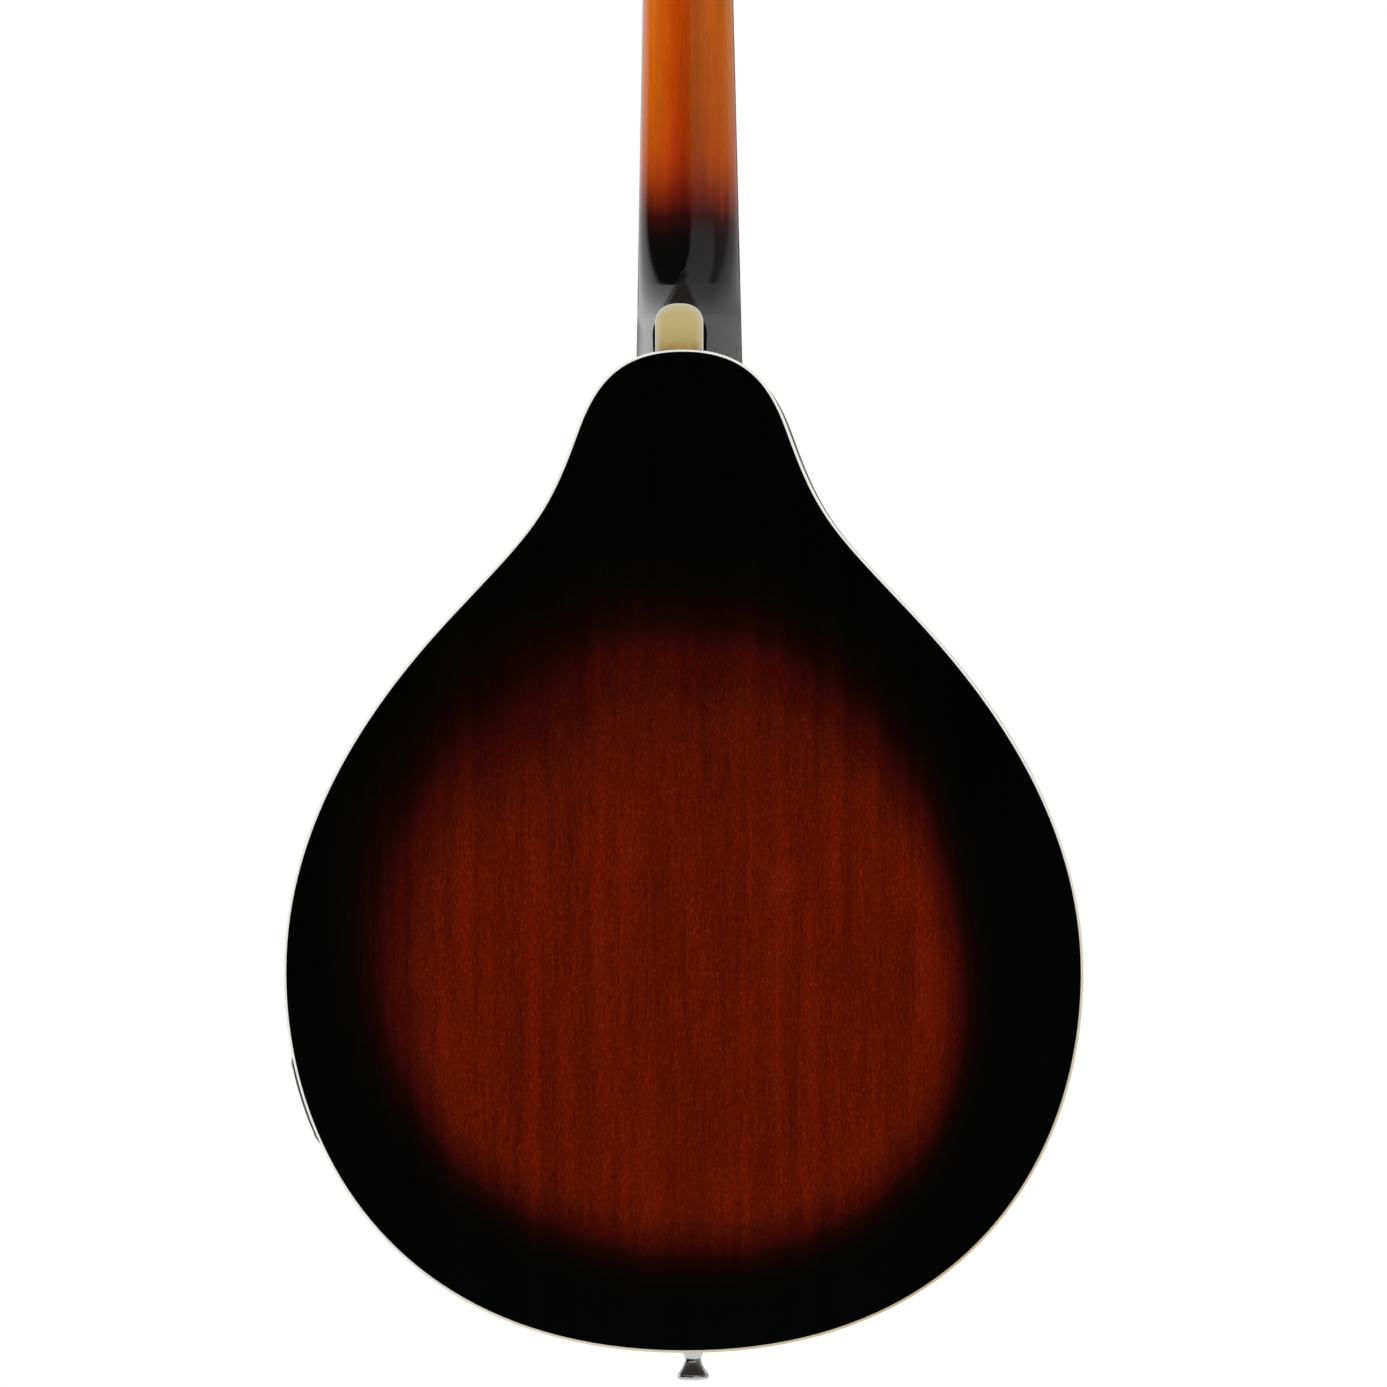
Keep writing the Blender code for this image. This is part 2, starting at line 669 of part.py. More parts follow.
def build_back(parent):
    """Flat back plate with its binding and two cross braces."""
    add_piece("back_plate", plate(body_outline(PLATE_INSET), -BACK_THICK, 0), "mahogany", parent)
    profile = [(0, 0), (BINDING_WIDTH, 0), (BINDING_WIDTH, -BINDING_DEPTH), (0, -BINDING_DEPTH)]
    ring = swept_ring(ring_sections(body_outline, profile))
    add_piece("back_binding", ring, "cream_plastic", parent, smooth=40)
    seat = -(BACK_THICK + GAP)
    for name, height in (("upper_back_brace", UPPER_BRACE_HEIGHT), ("lower_back_brace", LOWER_BRACE_HEIGHT)):
        reach = min(half_width(height + side * BRACE_WIDTH / 2, INNER_INSET + LINING_WIDTH + GAP)
                    for side in (-1, 1))
        rise = [(-reach, seat), (reach, seat), (reach, seat - BRACE_END_HEIGHT),
                (reach - BRACE_TAPER, seat - BRACE_HEIGHT), (BRACE_TAPER - reach, seat - BRACE_HEIGHT),
                (-reach, seat - BRACE_END_HEIGHT)]
        ends = [[(x, y, height + side * BRACE_WIDTH / 2) for x, y in rise] for side in (-1, 1)]
        add_piece(name, loft(ends), "bare_spruce", parent)


def build_sides(parent):
    """Two bent sides that meet at the tail and end at the neck's tenon, rabbeted for the bindings."""
    back_seat = -(BACK_THICK + GAP)
    top_seat = -(RIM_DEPTH - TOP_THICK - GAP)
    back_step = -(BINDING_DEPTH + GAP)
    top_step = -(RIM_DEPTH - BINDING_DEPTH - GAP)
    profile = [(0, back_step), (PLATE_INSET, back_step), (PLATE_INSET, back_seat), (SIDE_THICK, back_seat),
               (SIDE_THICK, top_seat), (PLATE_INSET, top_seat), (PLATE_INSET, top_step), (0, top_step)]
    tenon_edge = TENON_WIDTH / 2 + GAP
    treble = loft(ring_sections(lambda inset: clipped_treble(inset, GAP / 2, tenon_edge), profile))
    bass = mirrored(treble)
    hole = moved(cylinder(JACK_RADIUS + GAP, (0, 0, -SIDE_THICK * 3), (0, 0, SIDE_THICK * 2)), jack_frame())
    screw = STRAP_SCREW_RADIUS + GAP
    button = cylinder(screw, (-BUTTON_SIDE_STEP, -BUTTON_DEPTH, -SIDE_THICK),
                      (-BUTTON_SIDE_STEP, -BUTTON_DEPTH, SIDE_THICK * 2))
    add_piece("side_treble", cut(treble, hole), "mahogany", parent, smooth=40)
    add_piece("side_bass", cut(bass, button), "mahogany", parent, smooth=40)


def stacked_block(wide, narrow, low, high):
    """A block between two levels of y, drawn in at both for the linings."""
    step = LINING_DEPTH + GAP
    levels = [(narrow, low), (narrow, low + step), (wide, low + step),
              (wide, high - step), (narrow, high - step), (narrow, high)]
    return loft([[(x, y, z) for x, z in outline] for outline, y in levels])


def tail_outline(inset):
    """The tail block's outline: the rim's curve at an inset, closed by a straight inner face."""
    half = [(x, z) for x, z in body_outline(inset)[:OUTLINE_STEPS[0]] if x < TAIL_BLOCK_WIDTH / 2]
    edge = TAIL_BLOCK_WIDTH / 2
    x_last, z_last = half[-1]
    x_next, z_next = body_outline(inset)[len(half)]
    half.append((edge, z_last + (z_next - z_last) * (edge - x_last) / (x_next - x_last)))
    half.append((edge, INNER_INSET + LINING_WIDTH + TAIL_BLOCK_LENGTH))
    return half + [(-x, z) for x, z in half[:0:-1]]


def head_outline(inset):
    """The head block's outline: the rim's curve at an inset, closed by a straight inner face."""
    low = BODY_LENGTH - HEAD_BLOCK_LENGTH
    half = [(x, z) for x, z in body_outline(inset)[:len(half_outline())] if z > low]
    half.insert(0, (half_width(low, inset), low))
    return half + [(-x, z) for x, z in half[-2::-1]]


def build_inside(parent):
    """Blocks at both ends and the linings that run round between them."""
    low = -(RIM_DEPTH - TOP_THICK - GAP)
    high = -(BACK_THICK + GAP)
    inner = INNER_INSET + LINING_WIDTH + GAP
    tail = stacked_block(tail_outline(INNER_INSET), tail_outline(inner), low, high)
    screw = STRAP_SCREW_RADIUS + GAP
    hole = cylinder(screw, (-BUTTON_SIDE_STEP, -BUTTON_DEPTH, -SIDE_THICK),
                    (-BUTTON_SIDE_STEP, -BUTTON_DEPTH, STRAP_SCREW_LENGTH + 2 * GAP))
    add_piece("tail_block", cut(tail, hole), "bare_mahogany", parent)
    head = plate(head_outline(INNER_INSET), low, high)
    add_piece("head_block", cut(head, tenon_box(GAP)), "bare_mahogany", parent)

    end = BODY_LENGTH - HEAD_BLOCK_LENGTH - GAP

    def lining_run(inset):
        half = [(x, z) for x, z in body_outline(inset)[:len(half_outline())] if z < end]
        half.append((half_width(end, inset), end))
        return [(-x, z) for x, z in half[:0:-1]] + half

    outer, inner = INNER_INSET, INNER_INSET + LINING_WIDTH
    back = [(outer, high), (inner, high), (outer, high - LINING_DEPTH)]
    top = [(outer, low), (inner, low), (outer, low + LINING_DEPTH)]
    for name, profile in (("back_lining", back), ("top_lining", top)):
        add_piece(name, loft(ring_sections(lining_run, profile)), "bare_mahogany", parent)


def f_hole_tools(side):
    """Cutters for one sound hole: its stem and the round eye at each end."""
    front = -(RIM_DEPTH + 2 * ARCH_RISE)
    back = -(RIM_DEPTH - TOP_THICK * 2)
    count = F_HOLE_POINTS
    left, right = [], []
    ends = {}
    for k in range(count + 1):
        t = 2 * k / count - 1
        x = side * (F_HOLE_OFFSET - F_HOLE_LEAN * t - F_HOLE_SWAY * math.sin(math.pi * t))
        z = F_HOLE_HEIGHT + t * F_HOLE_LENGTH / 2
        width = F_HOLE_WIDTH * (F_HOLE_END_SHARE + (1 - F_HOLE_END_SHARE) * math.cos(t * math.pi / 2))
        left.append((x - width / 2, z))
        right.append((x + width / 2, z))
        ends[k] = x
    tools = [plate(left + right[::-1], front, back)]
    for k, radius, inward in ((count, F_HOLE_UPPER_EYE, -1), (0, F_HOLE_LOWER_EYE, 1)):
        x = ends[k] + side * inward * radius * F_HOLE_EYE_STEP
        z = F_HOLE_HEIGHT + (F_HOLE_LENGTH / 2) * (1 if k else -1)
        tools.append(cylinder(radius, (x, front, z), (x, back, z)))
    return tools


def pot_levels(place):
    """Where a control's body and nut meet the top plate: y inside and y outside."""
    low, high = arch_range(place[0], place[1], POT_RADIUS, POT_RADIUS)
    return -(RIM_DEPTH - TOP_THICK + low) + GAP, -(RIM_DEPTH + high) - GAP


def build_top(parent):
    """Arched top plate with its sound holes, binding and crossed brace."""
    edge = body_outline(PLATE_INSET)
    rings = []
    for lift, shares in ((0.0, ARCH_SHARES), (TOP_THICK, ARCH_SHARES[::-1])):
        for share in shares:
            y = lift - RIM_DEPTH - arch_at(share)
            rings.append([(x * share, y, ARCH_CENTRE + (z - ARCH_CENTRE) * share) for x, z in edge])
    top = loft(rings)
    tools = f_hole_tools(1) + f_hole_tools(-1)
    front, back = -(RIM_DEPTH + 2 * ARCH_RISE), -(RIM_DEPTH - 2 * TOP_THICK)
    bushing = KNOB_SHAFT_RADIUS + GAP + BUSHING_WALL + GAP
    for x, z in (VOLUME_PLACE, TONE_PLACE):
        tools.append(cylinder(bushing, (x, front, z), (x, back, z)))
    lead_z = pickup_centre()
    tools.append(cylinder(LEAD_RADIUS + 2 * GAP, (LEAD_OFFSET, front, lead_z), (LEAD_OFFSET, back, lead_z)))
    add_piece("top_plate", cut(top, *tools), "spruce", parent, smooth=30)

    front = -RIM_DEPTH
    profile = [(0, front), (BINDING_WIDTH, front), (BINDING_WIDTH, front + BINDING_DEPTH),
               (0, front + BINDING_DEPTH)]
    ring = swept_ring(ring_sections(body_outline, profile))
    add_piece("top_binding", ring, "cream_plastic", parent, smooth=40)
    add_piece("top_brace", fuse(top_bar(1), top_bar(-1)), "bare_spruce", parent)


def top_bar(side):
    """One bar of the crossed brace, its upper edge fitted to the arch."""
    slope = TOP_BRACE_SPREAD / (TOP_BRACE_CROSSING - TOP_BRACE_TAIL)
    along = Vector((-side * slope, 1)).normalized()
    across = Vector((along.y, -along.x)) * (BRACE_WIDTH / 2)
    start = Vector((side * TOP_BRACE_SPREAD, TOP_BRACE_TAIL))
    length = (TOP_BRACE_HEAD - TOP_BRACE_TAIL) / along.y
    stations = BRACE_STATIONS
    rings = []
    for k in range(stations + 1):
        place = start + along * (length * k / stations)
        rises = [arch_rise(*(place + across * part)) for part in (-1, 0, 1)]
        upper = -(RIM_DEPTH - TOP_THICK + min(rises)) + SEAT_AIR
        from_end = min(k, stations - k) * length / stations
        depth = BRACE_END_HEIGHT + (BRACE_HEIGHT - BRACE_END_HEIGHT) * min(from_end / BRACE_TAPER, 1.0)
        near, far = place - across, place + across
        rings.append([(near.x, upper, near.y), (far.x, upper, far.y),
                      (far.x, upper + depth, far.y), (near.x, upper + depth, near.y)])
    return loft(rings)


def tenon_box(air):
    """The neck's tenon in the body frame, or its mortise when given some air."""
    inset = BINDING_DEPTH + TENON_MARGIN
    return box((-TENON_WIDTH / 2 - air, -(RIM_DEPTH - inset) - air, BODY_LENGTH - TENON_LENGTH - air),
               (TENON_WIDTH / 2 + air, -inset + air, BODY_LENGTH + TENON_ROOT))


def neck_section(rise):
    """Half-section of the neck at a height above the body: width, back flat and depth of wood."""
    distance = JOINT - rise
    width = board_half_width(distance)
    shaft = SHAFT_DEPTH_AT_NUT + (SHAFT_DEPTH_AT_HEEL - SHAFT_DEPTH_AT_NUT) * min(distance / JOINT, 1.0)
    full = RIM_DEPTH + BOARD_RISE + rise * math.sin(NECK_TILT) + HEEL_SPARE - BOARD_THICK
    radius = HEEL_CAP_WIDTH / 2
    straight = HEEL_CAP_LENGTH - radius
    if rise <= straight:
        return width, radius, full, 1.0
    if rise <= HEEL_CAP_LENGTH:
        part = (rise - straight) / radius
        return width, radius * math.sqrt(max(1 - part * part, 0.0)), full, 1.0
    part = min((rise - HEEL_CAP_LENGTH) / HEEL_SWOOP, 1.0)
    swoop = (1 - part) ** 3
    return width, 0.0, shaft + (full - shaft) * swoop, swoop


def neck_ring(rise, z):
    """Closed section of the neck's wood at a height above the body, in the neck frame."""
    width, flat, depth, heel = neck_section(rise)
    front = BOARD_THICK
    if z > NUT_LENGTH:
        front += SINK / 2 + (z - NUT_LENGTH) * math.tan(HEAD_TILT)
    fullness = SHAFT_FULLNESS + (HEEL_FULLNESS - SHAFT_FULLNESS) * heel
    start = Vector((width, front, 0))
    end = Vector((flat, front + depth, 0))
    pull_out = start + Vector((0, depth * fullness, 0))
    round_back = Vector((width * SHAFT_FULLNESS, front + depth, 0))
    heel_back = Vector((flat + (width - flat) * HEEL_FLARE, front + depth * HEEL_TURN, 0))
    half = interpolate_bezier(start, pull_out, round_back.lerp(heel_back, heel), end, 9)
    right = [(max(point.x, HEEL_RIDGE), point.y, z) for point in half]
    return right + [(-x, y, z) for x, y, z in right[::-1]]


def build_neck(parent, frames):
    """Neck with its heel, tenon and headstock in one piece of wood, and the heel cap."""
    radius = HEEL_CAP_WIDTH / 2
    straight = HEEL_CAP_LENGTH - radius
    rises = [-TENON_LENGTH / 2, 0, straight]
    rises += [straight + radius * math.sin(math.radians(angle)) for angle in (30, 55, 75, 86)]
    rises += [HEEL_CAP_LENGTH + HEEL_SWOOP * part for part in (0.05, 0.13, 0.24, 0.4, 0.6, 0.8, 1.0)]
    root = JOINT + NUT_LENGTH
    rises += [JOINT * 0.5, JOINT * 0.75, JOINT, root, root + HEAD_VOLUTE + HEAD_BLEND]
    shaft = loft([neck_ring(rise, rise - JOINT) for rise in rises])
    back = box((-FAR, -(HEEL_CAP_THICK + GAP), -FAR), (FAR, FAR, FAR))
    to_neck = neck_matrix().inverted()
    shaft = cut(shaft, moved(back, to_neck))

    slab = loft([[(x, y, z) for x, z in headstock_outline(start)]
                 for start, y in ((-HEAD_ROOT, 0), (HEAD_VOLUTE, HEAD_THICK))])
    slab = moved(slab, head_matrix())
    reach = board_half_width(JOINT) - SHELF_INSET
    shelf = box((-reach, BOARD_THICK + GAP, -BOARD_LENGTH + SHELF_INSET),
                (reach, BOARD_THICK + BOARD_RISE, -JOINT + TENON_ROOT))
    neck = fuse(shaft, shelf, slab)
    low, high = arch_range(0, BODY_LENGTH - (BOARD_LENGTH - JOINT) / 2, board_half_width(JOINT),
                           (BOARD_LENGTH - JOINT) / 2)
    room = plate(body_outline(-GAP), -(RIM_DEPTH + high + GAP), RIM_DEPTH)
    seat = box((-FAR, -FAR, -FAR), (FAR, BOARD_THICK + GAP, NUT_LENGTH + GAP))
    slot_half = TRUSS_SLOT_WIDTH / 2
    slot_end = NUT_LENGTH + TRUSS_NUT_PLACE + TRUSS_NUT_LENGTH + TRUSS_ROOM
    slot = box((-slot_half, 0, -JOINT + TRUSS_FOOT), (slot_half, BOARD_THICK + TRUSS_SLOT_DEPTH, slot_end))
    neck = cut(neck, moved(room, to_neck), seat, slot)
    neck = fuse(neck, moved(tenon_box(0), to_neck))
    holes = [moved(post_hole(side, k), head_matrix()) for side in (-1, 1) for k in range(TUNERS_PER_SIDE)]
    add_piece("neck", cut(neck, *holes), "orange_neck", frames["neck"], smooth=35)

    half = [(radius, 0), (radius, straight)]
    half += [(radius * math.cos(math.radians(a)), straight + radius * math.sin(math.radians(a)))
             for a in (18, 36, 54, 72)]
    outline = [(x, BODY_LENGTH + z - HEEL_SPARE if z == 0 else BODY_LENGTH + z) for x, z in half]
    outline += [(0, BODY_LENGTH + HEEL_CAP_LENGTH)] + [(-x, z) for x, z in outline[::-1]]
    cap = plate(outline, -HEEL_CAP_THICK, 0)
    add_piece("heel_cap", cut(cap, plate(body_outline(-GAP), -RIM_DEPTH, RIM_DEPTH)), "cream_plastic", parent)


def headstock_outline(start, inset=0.0):
    """Closed headstock outline of (x, z) points in the head frame, none of them below the start."""
    low, high = HEAD_WIDTH_LOW / 2 - inset, HEAD_WIDTH_HIGH / 2 - inset
    side = HEAD_LENGTH - HEAD_CROWN
    flare = interpolate_bezier(Vector((NUT_WIDTH / 2 - inset, 0, 0)),
                               Vector((NUT_WIDTH / 2 - inset, HEAD_FLARE * FLARE_PULLS[0], 0)),
                               Vector((low, HEAD_FLARE * FLARE_PULLS[1], 0)), Vector((low, HEAD_FLARE, 0)), 6)
    crown = interpolate_bezier(Vector((high, side, 0)), Vector((high, side + HEAD_CROWN * CROWN_PULLS[0], 0)),
                               Vector((high * CROWN_PULLS[1], HEAD_LENGTH - inset, 0)),
                               Vector((0, HEAD_LENGTH - inset, 0)), 6)
    half = [(NUT_WIDTH / 2 - inset, start)]
    half += [(point.x, max(point.y, start)) for point in flare + crown]
    return half + [(-x, z) for x, z in half[-2::-1]]


def post_place(side, k):
    """A tuning post's place across and up the headstock."""
    return side * POST_OFFSET, FIRST_TUNER + k * TUNER_SPACING


def post_hole(side, k):
    """Cutter for one tuning post's hole through the headstock and its veneer."""
    x, z = post_place(side, k)
    bore = (POST_RADIUS + GAP) / math.cos(math.pi / 8)
    return cylinder(bore, (x, -HEAD_THICK, z), (x, 2 * HEAD_THICK, z), 8)


def build_fretboard(frames):
    """Fretboard with its frets, the nut, the truss rod and the headstock veneer."""
    near, far = board_half_width(0), board_half_width(BOARD_LENGTH)
    outline = [(-near, 0), (near, 0), (far, -BOARD_LENGTH), (-far, -BOARD_LENGTH)]
    board = plate(outline, 0, BOARD_THICK)
    frets = []
    for fret in range(1, FRET_COUNT + 1):
        z = -fret_distance(fret)
        reach = board_half_width(-z) - FRET_INSET
        arc = [(-FRET_WIDTH / 2, FRET_TANG), (-FRET_WIDTH / 2, -FRET_HEIGHT / 2), (0, -FRET_HEIGHT),
               (FRET_WIDTH / 2, -FRET_HEIGHT / 2), (FRET_WIDTH / 2, FRET_TANG)]
        frets.append(loft([[(side * reach, y, z + along) for along, y in arc] for side in (-1, 1)]))
    add_piece("fretboard", fuse(board, *frets), "rosewood", frames["neck"])

    top = -NUT_HEIGHT
    profile = [(BOARD_THICK, GAP), (top, GAP), (top + NUT_SLOPE, NUT_LENGTH), (BOARD_THICK, NUT_LENGTH)]
    nut = loft([[(side * near, y, z) for y, z in profile] for side in (-1, 1)])
    add_piece("nut", nut, "bone", frames["neck"])

    depth = BOARD_THICK + TRUSS_SLOT_DEPTH / 2 + GAP
    rod = TRUSS_SLOT_WIDTH / 2 - 2 * GAP
    end = NUT_LENGTH + TRUSS_NUT_PLACE
    bar = fuse(cylinder(rod, (0, depth, -JOINT + TRUSS_FOOT + GAP), (0, depth, end + SINK), 8),
               cylinder(rod + GAP, (0, depth, end), (0, depth, end + TRUSS_NUT_LENGTH), 6))
    add_piece("truss_rod", bar, "brass", frames["neck"])

    veneer = plate(headstock_outline(GAP), -VENEER_THICK, -GAP)
    window = box((-TRUSS_SLOT_WIDTH, -HEAD_THICK, -HEAD_ROOT),
                 (TRUSS_SLOT_WIDTH, HEAD_THICK, TRUSS_NUT_PLACE + TRUSS_NUT_LENGTH + TRUSS_ROOM + 2 * GAP))
    holes = [post_hole(side, k) for side in (-1, 1) for k in range(TUNERS_PER_SIDE)]
    add_piece("headstock_veneer", cut(veneer, window, *holes), "black_lacquer", frames["head"])


def worm_height(z):
    """Height of a tuner's worm, which meshes with the tail side of its gear."""
    return z - (GEAR_RADIUS + WORM_RADIUS + GAP)


def tuner_levels():
    """Levels along Y behind the headstock: plate face, gear face and worm axis."""
    plate_face = HEAD_THICK + GAP + PLATE_THICK
    gear_face = plate_face + GAP
    return plate_face, gear_face, gear_face + GEAR_THICK / 2 + GAP + SHAFT_RISE


def build_tuners(frames):
    """Two plates of four tuners: plate with ears, posts with gears, buttons with worms."""
    plate_face, gear_face, worm_y = tuner_levels()
    first, last = FIRST_TUNER, FIRST_TUNER + (TUNERS_PER_SIDE - 1) * TUNER_SPACING
    for side, hand in ((-1, "bass"), (1, "treble")):
        centre = side * POST_OFFSET
        low = worm_height(first) - PLATE_FOOT
        high = last + PLATE_MARGIN
        body = box((centre - PLATE_WIDTH / 2, HEAD_THICK + GAP, low),
                   (centre + PLATE_WIDTH / 2, plate_face, high))
        ears, holes = [], []
        for k in range(TUNERS_PER_SIDE):
            x, z = post_place(side, k)
            height = worm_height(z)
            for reach in (PLATE_WIDTH / 2 - EAR_THICK, -PLATE_WIDTH / 2):
                start = x + side * reach
                ends = sorted((start, start + side * EAR_THICK))
                ears.append(box((ends[0], plate_face - SINK / 2, height - WORM_RADIUS),
                                (ends[1], worm_y + WORM_RADIUS, height + WORM_RADIUS)))
            bore = (SHAFT_RADIUS + GAP) / math.cos(math.pi / 8)
            holes.append(cylinder(bore, (x - PLATE_WIDTH, worm_y, height),
                                  (x + PLATE_WIDTH, worm_y, height), 8))
            holes.append(cylinder((POST_RADIUS + GAP) / math.cos(math.pi / 8), (x, 0, z),
                                  (x, 2 * HEAD_THICK, z), 8))
        body = cut(fuse(body, *ears), *holes)
        add_piece("tuner_plate_" + hand, body, "nickel", frames["head"])
        for k in range(TUNERS_PER_SIDE):
            number = k + 1 + (TUNERS_PER_SIDE if side > 0 else 0)
            build_tuner(frames["head"], number, side, post_place(side, k), gear_face, worm_y)


def build_tuner(parent, number, side, place, gear_face, worm_y):
    """One post with its gear, and one button with its shaft and worm."""
    x, z = place
    post = cylinder(POST_RADIUS, (0, -VENEER_THICK - POST_HEIGHT, 0), (0, gear_face + GEAR_THICK, 0), 10)
    rim = []
    for k in range(2 * GEAR_TEETH):
        radius = GEAR_RADIUS - (GEAR_TOOTH if k % 2 else 0)
        angle = math.pi * k / GEAR_TEETH
        rim.append((radius * math.cos(angle), radius * math.sin(angle)))
    gear = plate(rim, gear_face, gear_face + GEAR_THICK - GAP)
    add_piece("tuner_post_%d" % number, fuse(post, gear), "nickel", parent, (x, 0, z))

    plate_half = PLATE_WIDTH / 2
    inner = -plate_half - SHAFT_END
    stem_end = BUTTON_REACH - POST_OFFSET - BUTTON_LENGTH / 3
    stem = cylinder(SHAFT_RADIUS, (side * inner, 0, 0), (side * stem_end, 0, 0), 8)
    half = WORM_LENGTH / 2
    worm = cylinder(WORM_RADIUS, (-side * half, 0, 0), (side * half, 0, 0), 8)
    grip = button_grip(side, BUTTON_REACH - POST_OFFSET)
    place = (x, worm_y, worm_height(z))
    add_piece("tuner_button_%d" % number, fuse(stem, worm, grip), "cream_plastic", parent, place, smooth=50)


def button_grip(side, reach):
    """The flat oval grip of a tuner button, swollen from its neck to its end."""
    rings = []
    for along, width, thick in BUTTON_SHAPE:
        x = side * (reach + along * BUTTON_LENGTH)
        rings.append([(x, math.sin(a) * thick * BUTTON_THICK / 2, math.cos(a) * width * BUTTON_WIDTH / 2)
                      for a in (2 * math.pi * k / 10 for k in range(10))])
    return loft(rings)


def string_spread(course, pair, course_spacing, pair_spacing):
    """Sideways place of a string: its course from bass to treble, and which of the pair."""
    return (course - 1.5) * course_spacing + (pair - 0.5) * pair_spacing


def string_post(course, pair):
    """Which tuner a string winds on: side and place in the row, the outer courses lowest."""
    side = -1 if course < 2 else 1
    outer = course in (0, 3)
    first = 0 if outer else 2
    nearer = (pair == 0) if side < 0 else (pair == 1)
    return side, first + (0 if nearer else 1)


def saddle_point(course, pair):
    """Where a string's lower side crosses the saddle, in the body frame."""
    x = string_spread(course, pair, BRIDGE_COURSE_SPACING, BRIDGE_PAIR_SPACING)
    return neck_matrix() @ Vector((x, -ACTION_AT_BRIDGE, -SCALE_LENGTH))


def winding(course, pair):
    """The string's turns round its post in the head frame, from the point where it arrives."""
    radius = STRING_RADII[course]
    side, k = string_post(course, pair)
    x, z = post_place(side, k)
    nut = head_matrix().inverted() @ nut_point(course, pair)
    reach = POST_RADIUS + GAP + radius
    line = Vector((x - nut.x, z - nut.z))
    swing = math.asin(reach / line.length)
    heading = math.atan2(line.y, line.x) + side * swing
    start = heading + side * math.pi / 2
    level = -(VENEER_THICK + WINDING_HEIGHT)
    pitch = 2 * radius + WINDING_AIR
    count = round(WINDING_TURNS * WINDING_POINTS)
    points = []
    for step in range(count + 1):
        turn = step / WINDING_POINTS
        angle = start - side * 2 * math.pi * turn
        y = level + pitch * turn
        points.append(Vector((x + reach * math.cos(angle), y, z + reach * math.sin(angle))))
    return points


def nut_point(course, pair):
    """Where a string's centre line crosses the nut's front edge, in the neck frame."""
    radius = STRING_RADII[course]
    x = string_spread(course, pair, NUT_COURSE_SPACING, NUT_PAIR_SPACING)
    return Vector((x, -(NUT_HEIGHT + GAP + radius), 0))


def least_turn_gap(points, radius):
    """The least clear distance between a winding's turns, measured between its points."""
    half_turn = WINDING_POINTS // 2
    pairs = [(near, far) for k, near in enumerate(points) for far in points[k + half_turn:]]
    return min((far - near).length for near, far in pairs) - 2 * radius


def build_strings(parent):
    """Eight strings, from the tailpiece hooks over bridge and nut to their posts."""
    for course, radius in enumerate(STRING_RADII):
        for pair in range(2):
            number = course * 2 + pair + 1
            to_body = neck_matrix()
            end = hook_point(course, pair)
            rest = saddle_point(course, pair) + Vector((0, -radius - GAP, 0))
            points = [end, rest, to_body @ nut_point(course, pair)]
            turns = winding(course, pair)
            points += [to_body @ head_matrix() @ point for point in turns]
            gap = least_turn_gap(turns, radius)
            print("string %d: least gap between turns %.2f mm" % (number, gap / MM))
            finish = "bronze" if course < 2 else "steel"
            add_piece("string_%d" % number, tube(points, radius), finish, parent)


